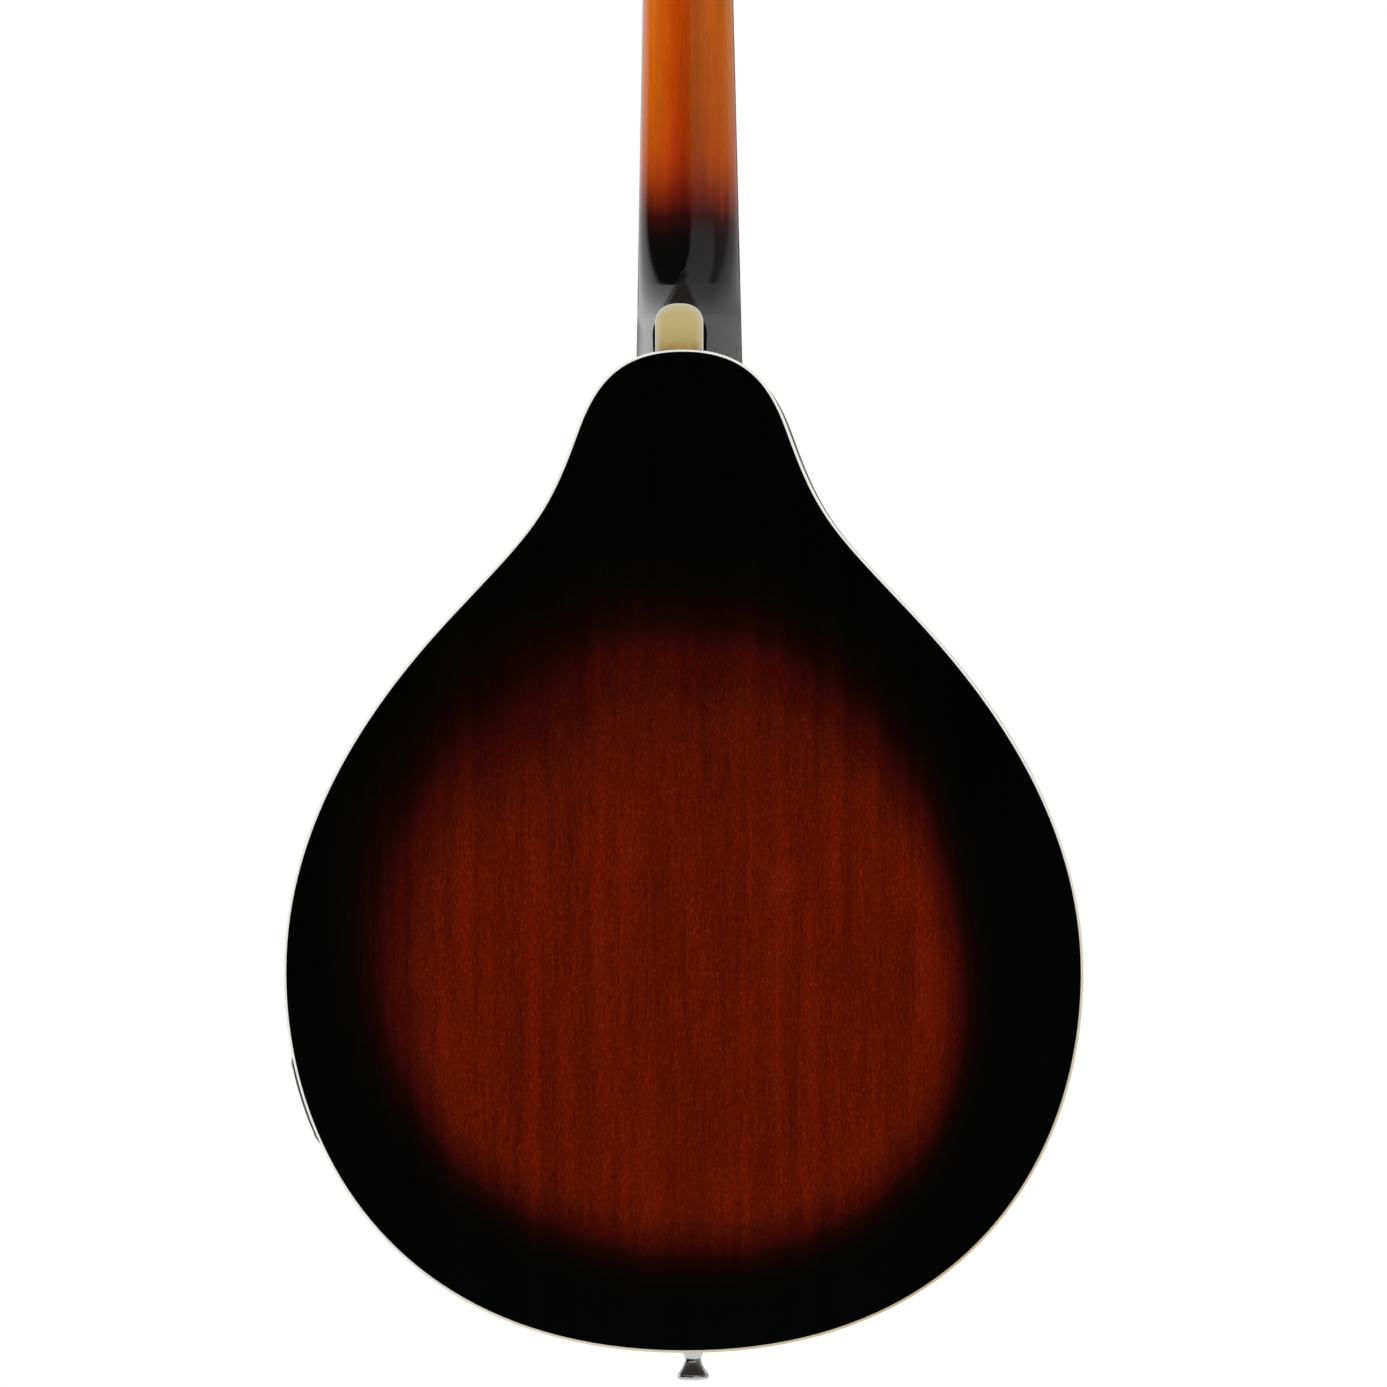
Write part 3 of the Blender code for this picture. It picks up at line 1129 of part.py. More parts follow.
def build_bridge(parent):
    """Bridge base with its threaded posts, two thumbwheels and the saddle."""
    crest = saddle_point(0, 0)
    z, crest_y = crest.z, crest.y
    low, high = arch_range(0, z, BRIDGE_BASE_WIDTH / 2, BRIDGE_BASE_WIDTH / 2)
    base_top = -(RIM_DEPTH + high + BRIDGE_BASE_HEIGHT)
    stations = 16
    rings = []
    for k in range(stations + 1):
        x = BRIDGE_LENGTH * (k / stations - 0.5)
        half = BRIDGE_BASE_WIDTH / 2
        foot = [-(RIM_DEPTH + arch_rise(x, z + edge)) - SEAT_AIR for edge in (-half, half)]
        shoulder = abs(x) - (BRIDGE_POST_OFFSET + WHEEL_RADIUS + BRIDGE_LANDING)
        drop = max(shoulder, 0) * BRIDGE_END_SLOPE
        rings.append([(x, foot[0], z - half), (x, foot[1], z + half),
                      (x, base_top + drop, z + half * BRIDGE_TAPER),
                      (x, base_top + drop, z - half * BRIDGE_TAPER)])
    base = loft(rings)
    wheel_y = base_top - GAP - WHEEL_TRAVEL
    saddle_foot = wheel_y - WHEEL_THICK - GAP
    post_end = saddle_foot - BRIDGE_POST_DEPTH
    posts = [cylinder(BRIDGE_POST_RADIUS, (x, base_top + SINK, z), (x, post_end, z), 10)
             for x in (-BRIDGE_POST_OFFSET, BRIDGE_POST_OFFSET)]
    add_piece("bridge_base", fuse(base, *posts), "rosewood", parent)

    half, crest_half = SADDLE_WIDTH / 2, SADDLE_CREST / 2
    top = crest_y + GAP
    rings = []
    for k in range(9):
        part = k / 4 - 1
        x = SADDLE_LENGTH / 2 * part
        ridge = top + SADDLE_FALL * abs(part) ** 3
        rings.append([(x, saddle_foot, z - half), (x, saddle_foot, z + half),
                      (x, ridge + SADDLE_ROOF, z + half * BRIDGE_TAPER), (x, ridge, z + crest_half),
                      (x, ridge, z - crest_half), (x, ridge + SADDLE_ROOF, z - half * BRIDGE_TAPER)])
    bore_end = post_end - GAP - WHEEL_TRAVEL
    bores = [cylinder(BRIDGE_POST_RADIUS + GAP, (x, saddle_foot + SINK, z), (x, bore_end, z), 10)
             for x in (-BRIDGE_POST_OFFSET, BRIDGE_POST_OFFSET)]
    saddle = moved(cut(loft(rings), *bores), Matrix.Translation((0, -saddle_foot, -z)))
    add_piece("bridge_saddle", saddle, "rosewood", parent, (0, saddle_foot, z))

    bore, edge = BRIDGE_POST_RADIUS + GAP, WHEEL_RADIUS - WHEEL_BEVEL
    profile = [(bore, 0), (edge, 0), (WHEEL_RADIUS, -WHEEL_BEVEL), (WHEEL_RADIUS, -WHEEL_THICK + WHEEL_BEVEL),
               (edge, -WHEEL_THICK), (bore, -WHEEL_THICK)]
    for name, x in (("thumbwheel_bass", -BRIDGE_POST_OFFSET), ("thumbwheel_treble", BRIDGE_POST_OFFSET)):
        add_piece(name, turned(profile, 14, closed=True), "brass", parent, (x, wheel_y - WHEEL_THICK, z),
                  (math.pi / 2, 0, 0), smooth=30)


def tailpiece_level():
    """The tailpiece base's underside, clear of the arch below it."""
    low, high = arch_range(0, TAILPIECE_LENGTH / 2, TAILPIECE_WIDTH / 2, TAILPIECE_LENGTH / 2)
    return -(RIM_DEPTH + high + GAP)


def hook_point(course, pair):
    """Where a string ends against its hook, in the body frame."""
    x = string_spread(course, pair, TAIL_COURSE_SPACING, TAIL_PAIR_SPACING)
    y = tailpiece_level() - TAILPIECE_THICK - HOOK_LOOP
    return Vector((x, y, HOOK_PLACE + HOOK_SIZE / 2 + GAP))


def build_tailpiece(parent):
    """Tailpiece base with its hooks and bent flange, and the cover that slides off it."""
    under = tailpiece_level()
    top = under - TAILPIECE_THICK
    half = TAILPIECE_WIDTH / 2
    drop = max(-min(z for x, z in body_outline() if abs(x) < half), 0.0)
    outer = -(TAILPIECE_THICK + GAP + drop)
    base = box((-half, top, outer), (half, under, TAILPIECE_LENGTH))
    flange = box((-half, top, outer), (half, -RIM_DEPTH + TAILPIECE_FLANGE, outer + TAILPIECE_THICK))
    hooks = []
    for course in range(4):
        for pair in range(2):
            x = string_spread(course, pair, TAIL_COURSE_SPACING, TAIL_PAIR_SPACING)
            hooks.append(box((x - HOOK_SIZE / 2, top - HOOK_HEIGHT, HOOK_PLACE - HOOK_SIZE / 2),
                             (x + HOOK_SIZE / 2, top + TAILPIECE_THICK / 2, HOOK_PLACE + HOOK_SIZE / 2)))
    add_piece("tailpiece_base", fuse(base, flange, *hooks), "chrome", parent)

    inner = half + GAP
    wall = inner + COVER_WALL
    crown = top - COVER_HEIGHT
    turn = crown + COVER_ROUND
    bend = COVER_ROUND - COVER_WALL / 2
    section = [(-wall, under), (-wall, turn), (-wall + COVER_ROUND, crown), (wall - COVER_ROUND, crown),
               (wall, turn), (wall, under), (inner, under), (inner, turn + COVER_WALL / 2),
               (inner - bend, crown + COVER_WALL), (-inner + bend, crown + COVER_WALL),
               (-inner, turn + COVER_WALL / 2), (-inner, under)]
    tail, mouth = COVER_TAIL_PLACE, COVER_TAIL_PLACE + COVER_LENGTH
    shell = loft([[(x, y, z) for x, y in section] for z in (tail, mouth)])
    end = [(-wall, top - GAP), (-wall, turn), (-wall + COVER_ROUND, crown), (wall - COVER_ROUND, crown),
           (wall, turn), (wall, top - GAP)]
    close = loft([[(x, y, z) for x, y in end] for z in (tail, tail + COVER_WALL)])
    add_piece("tailpiece_cover", fuse(shell, close), "chrome", parent)


def build_strap_button(parent):
    """Strap button with its screw, on the tail's side below the centre."""
    x = -BUTTON_SIDE_STEP
    seat = min(z for px, z in body_outline() if abs(px) < STRAP_BASE_RADIUS * 4) - GAP
    screw, base, waist, rim = STRAP_SCREW_RADIUS, STRAP_BASE_RADIUS, STRAP_WAIST_RADIUS, STRAP_RIM_RADIUS
    length = STRAP_LENGTH
    profile = [(0, STRAP_SCREW_LENGTH), (screw, STRAP_SCREW_LENGTH - STRAP_SCREW_TIP), (screw, 0), (base, 0),
               (base, -0.08 * length), (waist, -0.3 * length), (waist, -0.42 * length),
               (rim * 0.93, -0.86 * length), (rim, -0.92 * length), (rim * 0.97, -length), (0, -length)]
    add_piece("strap_button", turned(profile, 16), "chrome", parent, (x, -BUTTON_DEPTH, seat), smooth=35)


def pickup_centre():
    """Height of the pickup's middle above the tail, just past the fretboard's end."""
    board_end = neck_matrix() @ Vector((0, 0, -BOARD_LENGTH))
    return board_end.z - PICKUP_FROM_BOARD - PICKUP_LENGTH / 2


def pickup_seat():
    """The pickup's underside, on the arch."""
    low, high = arch_range(0, pickup_centre(), PICKUP_WIDTH / 2 + PICKUP_TAB, PICKUP_LENGTH / 2)
    return -(RIM_DEPTH + high + GAP)


def build_pickup(parent):
    """Slim magnetic pickup with its two screw tabs, on the top at the fretboard's end."""
    z, seat = pickup_centre(), pickup_seat()
    half, deep = PICKUP_WIDTH / 2, PICKUP_LENGTH / 2
    shape = box((-half, seat - PICKUP_HEIGHT, z - deep), (half, seat, z + deep))
    reach = half + PICKUP_TAB
    tabs = box((-reach, seat - PICKUP_TAB_THICK, z - deep / 2), (reach, seat, z + deep / 2))
    add_piece("pickup", fuse(shape, tabs), "black_plastic", parent)


def build_controls(parent):
    """Volume and tone controls: pot body with bushing and nut, and knob with its shaft."""
    for name, place in (("volume", VOLUME_PLACE), ("tone", TONE_PLACE)):
        inside, outside = pot_levels(place)
        x, z = place
        bore = KNOB_SHAFT_RADIUS + GAP
        bushing = bore + BUSHING_WALL
        nut_top = -outside + POT_NUT_HEIGHT
        top = nut_top + BUSHING_RISE
        floor = top - KNOB_SHAFT_LENGTH - GAP
        profile = [(0, floor), (bore, floor), (bore, top), (bushing, top), (bushing, nut_top),
                   (POT_NUT_RADIUS, nut_top), (POT_NUT_RADIUS, -outside), (bushing, -outside),
                   (bushing, -inside), (POT_RADIUS, -inside), (POT_RADIUS, -inside - POT_DEPTH),
                   (0, -inside - POT_DEPTH)]
        add_piece(name + "_pot", turned(profile, ROUND), "nickel", parent, (x, 0, z),
                  (math.pi / 2, 0, 0), smooth=40)
        foot = GAP
        shoulder = KNOB_RADIUS * KNOB_TAPER
        end = GAP - KNOB_SHAFT_LENGTH
        knob = [(0, KNOB_HEIGHT), (shoulder - KNOB_BEVEL, KNOB_HEIGHT),
                (shoulder, KNOB_HEIGHT - KNOB_BEVEL), (KNOB_RADIUS, foot), (KNOB_SHAFT_RADIUS, foot),
                (KNOB_SHAFT_RADIUS, end), (0, end)]
        add_piece(name + "_knob", turned(knob, 16), "black_plastic", parent, (x, -top, z),
                  (math.pi / 2, 0, 0), smooth=40)


def build_jack(parent):
    """Output jack through the treble side, and the curved plate that holds it."""
    frame = jack_frame()
    inner = -(SIDE_THICK + GAP)
    face = GAP
    floor = -JACK_LENGTH + JACK_FLOOR
    flange = inner - JACK_FLANGE_THICK
    nose = SEAT_AIR + JACK_PLATE_THICK
    profile = [(0, floor), (JACK_BORE_RADIUS, floor), (JACK_BORE_RADIUS, nose), (JACK_NOSE_RADIUS, nose),
               (JACK_NOSE_RADIUS, face), (JACK_RADIUS, face), (JACK_RADIUS, inner),
               (JACK_FLANGE_RADIUS, inner), (JACK_FLANGE_RADIUS, flange),
               (JACK_RADIUS, flange), (JACK_RADIUS * JACK_TAPER, -JACK_LENGTH), (0, -JACK_LENGTH)]
    add_piece("output_jack", moved(turned(profile, 16), frame), "nickel", parent, smooth=40)

    stations = 8
    rings = []
    for k in range(stations + 1):
        along = JACK_PLATE_LENGTH * (k / stations - 0.5)
        narrow = 1 - JACK_PLATE_NARROWING * (2 * abs(k / stations - 0.5)) ** 4
        half = JACK_PLATE_WIDTH / 2 * narrow
        place, normal = rim_point(JACK_HEIGHT + along * frame.to_3x3().col[2].x)
        near = place + normal * SEAT_AIR
        far = near + normal * JACK_PLATE_THICK
        rings.append([(near.x, -JACK_DEPTH - half, near.z), (near.x, -JACK_DEPTH + half, near.z),
                      (far.x, -JACK_DEPTH + half - GAP, far.z), (far.x, -JACK_DEPTH - half + GAP, far.z)])
    cover = loft(rings)
    hole = moved(cylinder(JACK_PLATE_HOLE, (0, 0, -JACK_RADIUS), (0, 0, JACK_RADIUS)), frame)
    screws = []
    for side in (-1, 1):
        along = side * (JACK_PLATE_LENGTH / 2 - JACK_SCREW_INSET)
        place, normal = rim_point(JACK_HEIGHT + along * frame.to_3x3().col[2].x)
        start = place + normal * (SEAT_AIR + JACK_PLATE_THICK / 2) + Vector((0, -JACK_DEPTH, 0))
        end = start + normal * (JACK_PLATE_THICK / 2 + JACK_SCREW_HEIGHT)
        screws.append(cylinder(JACK_SCREW_RADIUS, start, end, 10, JACK_SCREW_RADIUS * 0.7))
    add_piece("jack_plate", fuse(cut(cover, hole), *screws), "black_plastic", parent)


def smooth_route(points, steps):
    """Points on a smooth curve through the given ones."""
    route = []
    for k in range(len(points) - 1):
        before = points[max(k - 1, 0)]
        start, end = points[k], points[k + 1]
        after = points[min(k + 2, len(points) - 1)]
        pull = (end - start).length / 3
        lead = (end - before).normalized() * pull
        trail = (after - start).normalized() * pull
        route += interpolate_bezier(start, start + lead, end - trail, end, steps + 1)[:-1]
    route.append(points[-1])
    return route


def build_harness(parent):
    """The lead from the pickup under the top, past both controls, to the jack's inner end."""
    lead_z = pickup_centre()
    start = Vector((LEAD_OFFSET, pickup_seat() + GAP, lead_z))
    inside = max(pot_levels(VOLUME_PLACE)[0], pot_levels(TONE_PLACE)[0])
    level = inside + POT_DEPTH + GAP + LEAD_RADIUS
    volume = Vector((VOLUME_PLACE[0], level, VOLUME_PLACE[1]))
    tone = Vector((TONE_PLACE[0], level, TONE_PLACE[1]))
    frame = jack_frame()
    jack = frame @ Vector((0, 0, -JACK_LENGTH - GAP))
    loop = LEAD_LOOP
    before_jack = frame @ Vector((0, 0, -JACK_LENGTH - loop))
    points = [start, start + Vector((0, LEAD_DROP, 0)),
              Vector((LEAD_OFFSET + LEAD_BEND[0], level, lead_z - LEAD_BEND[1])),
              Vector((LEAD_MIDDLE[0], level, LEAD_MIDDLE[1])), volume + Vector((-loop / 3, 0, loop)), volume,
              tone + Vector((loop, 0, loop)), tone, tone + Vector((-loop / 2, 0, loop / 2)),
              before_jack + Vector((-loop, (level + JACK_DEPTH) / 2, 0)), before_jack, jack]
    add_piece("wiring_harness", tube(smooth_route(points, 3), LEAD_RADIUS, 1), "black_plastic", parent)


def build_mandolin():
    """Build every piece in the frames that carry them."""
    clear_scene()
    group = add_collection("mandolin")
    add_collection("cutters")
    seat = neck_matrix() @ head_matrix() @ Vector((0, HEAD_THICK / 2, SEAT_HEIGHT))
    body = add_frame("body_frame", group, location=-seat)
    neck = add_frame("neck_frame", group, body, neck_matrix().translation, NECK_TILT)
    head = add_frame("head_frame", group, neck, head_matrix().translation, HEAD_TILT)
    frames = {"neck": neck, "head": head}
    build_back(body)
    build_sides(body)
    build_inside(body)
    build_top(body)
    build_neck(body, frames)
    build_fretboard(frames)
    build_tuners(frames)
    build_strings(body)
    build_bridge(body)
    build_tailpiece(body)
    build_strap_button(body)
    build_pickup(body)
    build_controls(body)
    build_jack(body)
    build_harness(body)


build_mandolin()
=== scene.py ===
"""Looks of a teardrop-bodied acoustic-electric mandolin, seen from its flat back.

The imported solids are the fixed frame. Frames used here: the body frame has X to the treble
side, Z from the tail towards the headstock and Y from the arched top (negative) to the flat
back, with its origin at the tail end of the back. The neck frame starts at the front of the
nut on the playing surface and leans back, and the head frame leans back further.
"""
import json
import logging
import math
from dataclasses import dataclass
from enum import Enum
from functools import lru_cache, partial
from typing import Any, Callable, Iterable, Sequence

import bmesh
import bpy
from mathutils import Matrix, Vector
from mathutils.geometry import interpolate_bezier

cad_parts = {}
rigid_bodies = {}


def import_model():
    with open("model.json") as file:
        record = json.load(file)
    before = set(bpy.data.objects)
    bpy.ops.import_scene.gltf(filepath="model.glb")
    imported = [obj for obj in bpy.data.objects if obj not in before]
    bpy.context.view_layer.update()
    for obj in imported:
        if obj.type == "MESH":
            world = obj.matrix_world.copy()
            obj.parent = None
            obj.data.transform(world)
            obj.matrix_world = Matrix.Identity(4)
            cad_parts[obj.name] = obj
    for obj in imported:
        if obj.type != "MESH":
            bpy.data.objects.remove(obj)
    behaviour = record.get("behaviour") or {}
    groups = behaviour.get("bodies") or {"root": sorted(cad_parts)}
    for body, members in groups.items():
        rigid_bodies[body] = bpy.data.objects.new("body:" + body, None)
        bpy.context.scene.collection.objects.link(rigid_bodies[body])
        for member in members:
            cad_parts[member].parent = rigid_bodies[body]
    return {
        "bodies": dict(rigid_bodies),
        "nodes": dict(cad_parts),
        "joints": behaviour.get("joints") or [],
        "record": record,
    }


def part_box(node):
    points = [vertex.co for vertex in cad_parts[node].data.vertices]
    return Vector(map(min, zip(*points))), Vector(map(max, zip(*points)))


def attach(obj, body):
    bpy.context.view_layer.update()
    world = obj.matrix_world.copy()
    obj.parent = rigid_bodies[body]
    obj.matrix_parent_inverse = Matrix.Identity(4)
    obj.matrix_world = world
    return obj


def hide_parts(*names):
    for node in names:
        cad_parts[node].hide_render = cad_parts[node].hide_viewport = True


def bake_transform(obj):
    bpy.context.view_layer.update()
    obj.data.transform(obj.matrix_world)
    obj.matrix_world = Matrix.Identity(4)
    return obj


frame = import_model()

LOG = logging.getLogger("mandolin")
MM = 0.001
FULL_TURN = 2 * math.pi
QUARTER = FULL_TURN / 4
SEAM = 0.02 * MM
AIR = 0.3 * MM
SEAT_AIR = 0.48 * MM
FAR = 0.5
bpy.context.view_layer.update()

Point = Sequence[float]
Ring = Sequence[Point]
Flat = tuple[float, float]
Colour = tuple[float, float, float]
Mesh = bpy.types.Mesh


class Hand(Enum):
    """Which side of the instrument a piece is on."""

    BASS = -1
    TREBLE = 1

    @property
    def word(self) -> str:
        """The side's name, as it stands in piece names."""
        return self.name.lower()


class Slot(Enum):
    """The record's material slots."""

    BURST_MAHOGANY = "sunburst_mahogany"
    ORANGE_MAHOGANY = "orange_mahogany"
    BURST_SPRUCE = "sunburst_spruce"
    BARE_SPRUCE = "bare_spruce"
    BARE_MAHOGANY = "bare_mahogany"
    ROSEWOOD = "rosewood"
    BLACK_LACQUER = "black_lacquer"
    CREAM = "cream_plastic"
    BONE = "bone"
    BLACK_PLASTIC = "black_plastic"
    CHROME = "chrome"
    NICKEL = "nickel"
    STEEL_STRING = "string_steel"
    BRONZE_STRING = "string_bronze"
    BRASS = "brass"


class Ends(Enum):
    """What a skin has past its first and last section."""

    CAPPED = "a face at each end"
    LOOPED = "the last section joined to the first"
    OPEN = "nothing"


def srgb(red: float, green: float, blue: float) -> Colour:
    """A linear colour from display values of 0 to 255.

    Args:
        red: the display value of red.
        green: of green.
        blue: of blue.

    Returns:
        The three linear values.
    """
    def linear(value: float) -> float:
        """One channel's linear value."""
        share = value / 255
        return share / 12.92 if share <= 0.04045 else ((share + 0.055) / 1.055) ** 2.4
    return linear(red), linear(green), linear(blue)


# Shader tools


class Signal:
    """A shader socket that takes part in Python expressions on values."""

    def __init__(self, board: "Board", socket: bpy.types.NodeSocket) -> None:
        """Wrap one output socket of a node on a board."""
        self.board = board
        self.socket = socket

    def __add__(self, other: "Signal | float") -> "Signal":
        """Sum."""
        return self.board.maths("ADD", self, other)

    def __radd__(self, other: float) -> "Signal":
        """Sum with a number on the left."""
        return self.board.maths("ADD", other, self)

    def __sub__(self, other: "Signal | float") -> "Signal":
        """Difference."""
        return self.board.maths("SUBTRACT", self, other)

    def __rsub__(self, other: float) -> "Signal":
        """Difference from a number."""
        return self.board.maths("SUBTRACT", other, self)

    def __mul__(self, other: "Signal | float") -> "Signal":
        """Product."""
        return self.board.maths("MULTIPLY", self, other)

    def __rmul__(self, other: float) -> "Signal":
        """Product with a number on the left."""
        return self.board.maths("MULTIPLY", other, self)

    def __truediv__(self, other: "Signal | float") -> "Signal":
        """Quotient."""
        return self.board.maths("DIVIDE", self, other)

    def __pow__(self, other: "Signal | float") -> "Signal":
        """Power."""
        return self.board.maths("POWER", self, other)

    def __abs__(self) -> "Signal":
        """Size without sign."""
        return self.board.maths("ABSOLUTE", self)

    def __neg__(self) -> "Signal":
        """The value with its sign changed."""
        return self.board.maths("MULTIPLY", self, -1.0)


class Board:
    """The node tree of one material or world, with short ways to add nodes to it."""

    def __init__(self, tree: bpy.types.NodeTree) -> None:
        """Take a node tree and empty it."""
        self.tree = tree
        tree.nodes.clear()

    def feed(self, socket: bpy.types.NodeSocket, value: Any) -> None:
        """Link a signal to a socket, or write a constant on it.

        Args:
            socket: the input to set.
            value: a Signal, a number, or a tuple for a colour or a vector.
        """
        if isinstance(value, Signal):
            self.tree.links.new(value.socket, socket)
        elif isinstance(value, (tuple, list)) and socket.type == "RGBA" and len(value) == 3:
            socket.default_value = (*value, 1.0)
        else:
            socket.default_value = value

    def node(self, kind: str, settings: dict[str, Any] | None = None,
             values: dict[Any, Any] | None = None) -> bpy.types.Node:
        """Add a node.

        Args:
            kind: the node's type without its ShaderNode prefix.
            settings: its properties, set first; stops are a ramp's (place, colour) pairs.
            values: what its sockets take, by name or number.

        Returns:
            The new node.
        """
        made = self.tree.nodes.new("ShaderNode" + kind)
        for name, value in (settings or {}).items():
            if name == "stops":
                ramp = made.color_ramp
                while len(ramp.elements) < len(value):
                    ramp.elements.new(0.5)
                for element, (place, colour) in zip(ramp.elements, value):
                    element.position = place
                    element.color = (*colour, 1.0)
            else:
                setattr(made, name, value)
        for key, value in (values or {}).items():
            self.feed(made.inputs[key], value)
        return made

    def out(self, node: bpy.types.Node, key: Any = 0) -> Signal:
        """One output of a node as a signal."""
        return Signal(self, node.outputs[key])

    def maths(self, operation: str, *parts: "Signal | float") -> Signal:
        """A Math node's value for one to three parts."""
        return self.out(self.node("Math", {"operation": operation}, dict(enumerate(parts))))

    def vector(self, operation: str, *parts: Any) -> Signal:
        """A Vector Math node's vector for its parts."""
        return self.out(self.node("VectorMath", {"operation": operation}, dict(enumerate(parts))))

    def scaled(self, vector: Signal, factor: "Signal | float") -> Signal:
        """A vector or colour times a value."""
        return self.out(self.node("VectorMath", {"operation": "SCALE"}, {"Vector": vector, "Scale": factor}))

    def mix(self, share: "Signal | float", first: Any, second: Any) -> Signal:
        """A colour mixed from two by a share."""
        return self.out(self.node("Mix", {"data_type": "RGBA"}, {0: share, 6: first, 7: second}), 2)

    def ramp(self, value: Signal, stops: Sequence[tuple[float, Colour]]) -> Signal:
        """A colour along a ramp."""
        return self.out(self.node("ValToRGB", {"stops": tuple(stops)}, {"Fac": value}))

    def span(self, value: Signal, low: float, high: float, first: float = 0.0,
             second: float = 1.0, smooth: bool = True) -> Signal:
        """A value moved from one range to another, smoothly by default, and held at its ends.

        Args:
            value: the value.
            low: where its range starts.
            high: where its range ends.
            first: the result at the start.
            second: the result at the end.
            smooth: False makes the way between them straight.

        Returns:
            The moved value.
        """
        kind = "SMOOTHSTEP" if smooth else "LINEAR"
        made = self.node("MapRange", {"interpolation_type": kind, "clamp": True},
                         {"Value": value, "From Min": low, "From Max": high, "To Min": first,
                          "To Max": second})
        return self.out(made)

    def parts(self, vector: Signal) -> tuple[Signal, Signal, Signal]:
        """The three parts of a vector."""
        made = self.node("SeparateXYZ", None, {"Vector": vector})
        return self.out(made, 0), self.out(made, 1), self.out(made, 2)

    def place(self, size: Point = (1, 1, 1), origin: Point | None = None) -> Signal:
        """Where a point of the piece is.

        Args:
            size: the length in millimetres that counts as one along each axis.
            origin: what it is measured from, the body frame's origin by default.

        Returns:
            The place as a vector.
        """
        coords = self.out(self.node("TexCoord"), "Object")
        moved = self.vector("SUBTRACT", coords, tuple(FRAMES.origin if origin is None else origin))
        return self.vector("MULTIPLY", moved, tuple(1 / part / MM for part in size))

    def noise(self, size: Point, detail: float, rough: float, bend: float = 0.0,
              origin: Point | None = None) -> Signal:
        """Soft noise from 0 to 1.

        Args:
            size: how long its spots are along each axis, in millimetres.
            detail: how many finer layers it has.
            rough: how strong the finer layers are.
            bend: how far it is distorted.
            origin: where its pattern starts, the body frame's origin by default.

        Returns:
            The noise as a value.
        """
        return self.out(self.node("TexNoise", {"noise_dimensions": "3D"}, {
            "Vector": self.place(size, origin), "Scale": 1.0, "Detail": detail, "Roughness": rough,
            "Distortion": bend}))

    def bump(self, height: Signal, strength: float, depth: float) -> Signal:
        """A normal from a height, with its strength and its depth in metres."""
        made = self.node("Bump", None, {"Strength": strength, "Distance": depth, "Height": height})
        return self.out(made)

    def surface(self, values: dict[str, Any]) -> None:
        """Close the tree with a Principled shader that has the given socket values.

        Args:
            values: socket values or links by name.
        """
        shader = self.node("BsdfPrincipled", None, values)
        end = self.node("OutputMaterial")
        self.tree.links.new(shader.outputs[0], end.inputs["Surface"])


# Mesh tools


def mesh_of(bm: bmesh.types.BMesh, name: str) -> Mesh:
    """Weld a bmesh, face it outwards and turn it into a mesh.

    Args:
        bm: the bmesh, which is freed.
        name: the mesh's name.

    Returns:
        The mesh.
    """
    bmesh.ops.remove_doubles(bm, verts=bm.verts, dist=2e-7)
    bmesh.ops.dissolve_degenerate(bm, edges=bm.edges, dist=2e-7)
    bmesh.ops.recalc_face_normals(bm, faces=bm.faces)
    mesh = bpy.data.meshes.new(name)
    bm.to_mesh(mesh)
    bm.free()
    return mesh


def skin(rings: Sequence[Ring], ends: Ends = Ends.CAPPED) -> Mesh:
    """Skin a row of closed rings with equal counts.

    Args:
        rings: the closed sections, in order.
        ends: what it has past the first and last section.

    Returns:
        The mesh.
    """
    bm = bmesh.new()
    rows = [[bm.verts.new(point) for point in ring] for ring in rings]
    count = len(rows[0])
    for near, far in zip(rows, rows[1:] + (rows[:1] if ends is Ends.LOOPED else [])):
        for k in range(count):
            after = (k + 1) % count
            bm.faces.new((near[k], near[after], far[after], far[k]))
    if ends is Ends.CAPPED:
        bm.faces.new(rows[0])
        bm.faces.new(rows[-1])
    return mesh_of(bm, "skin")


def block(low: Point, high: Point) -> Mesh:
    """A plain block between two corners, as a blank or a cutter."""
    (x0, y0, z0), (x1, y1, z1) = low, high
    return skin([[(x0, y0, z), (x1, y0, z), (x1, y1, z), (x0, y1, z)] for z in (z0, z1)])


def circle(radius: float, height: float, sides: int, groove: float = 0.0) -> list[Point]:
    """Points of a level circle about the Z axis.

    Args:
        radius: the circle's radius.
        height: its place along Z.
        sides: how many points it has.
        groove: how far two points in every four are pressed in, for a ribbed rim.

    Returns:
        The points.
    """
    sizes = [radius - (groove if k % 4 > 1 else 0.0) for k in range(sides)]
    return [(size * math.cos(FULL_TURN * k / sides), size * math.sin(FULL_TURN * k / sides), height)
            for k, size in enumerate(sizes)]


def angles(sweep: float, steps: int) -> list[float]:
    """Even angles from 0 to a sweep."""
    return [sweep * k / steps for k in range(steps + 1)]


def curve(start: Flat, first: Flat, second: Flat, end: Flat, count: int) -> list[Flat]:
    """Points of a flat Bezier curve between two ends, with a handle for each."""
    points = interpolate_bezier(*(Vector((*point, 0)) for point in (start, first, second, end)), count)
    return [(point.x, point.y) for point in points]


def turned(at: Point, quarters: float, axis: str = "X") -> Matrix:
    """A move to a place with a turn by quarters of a turn about an axis there."""
    return Matrix.Translation(at) @ Matrix.Rotation(quarters * QUARTER, 4, axis)


def facing(way: Vector) -> Matrix:
    """A turn that brings the Z axis round to a direction."""
    return way.to_track_quat("Z", "Y").to_matrix().to_4x4()


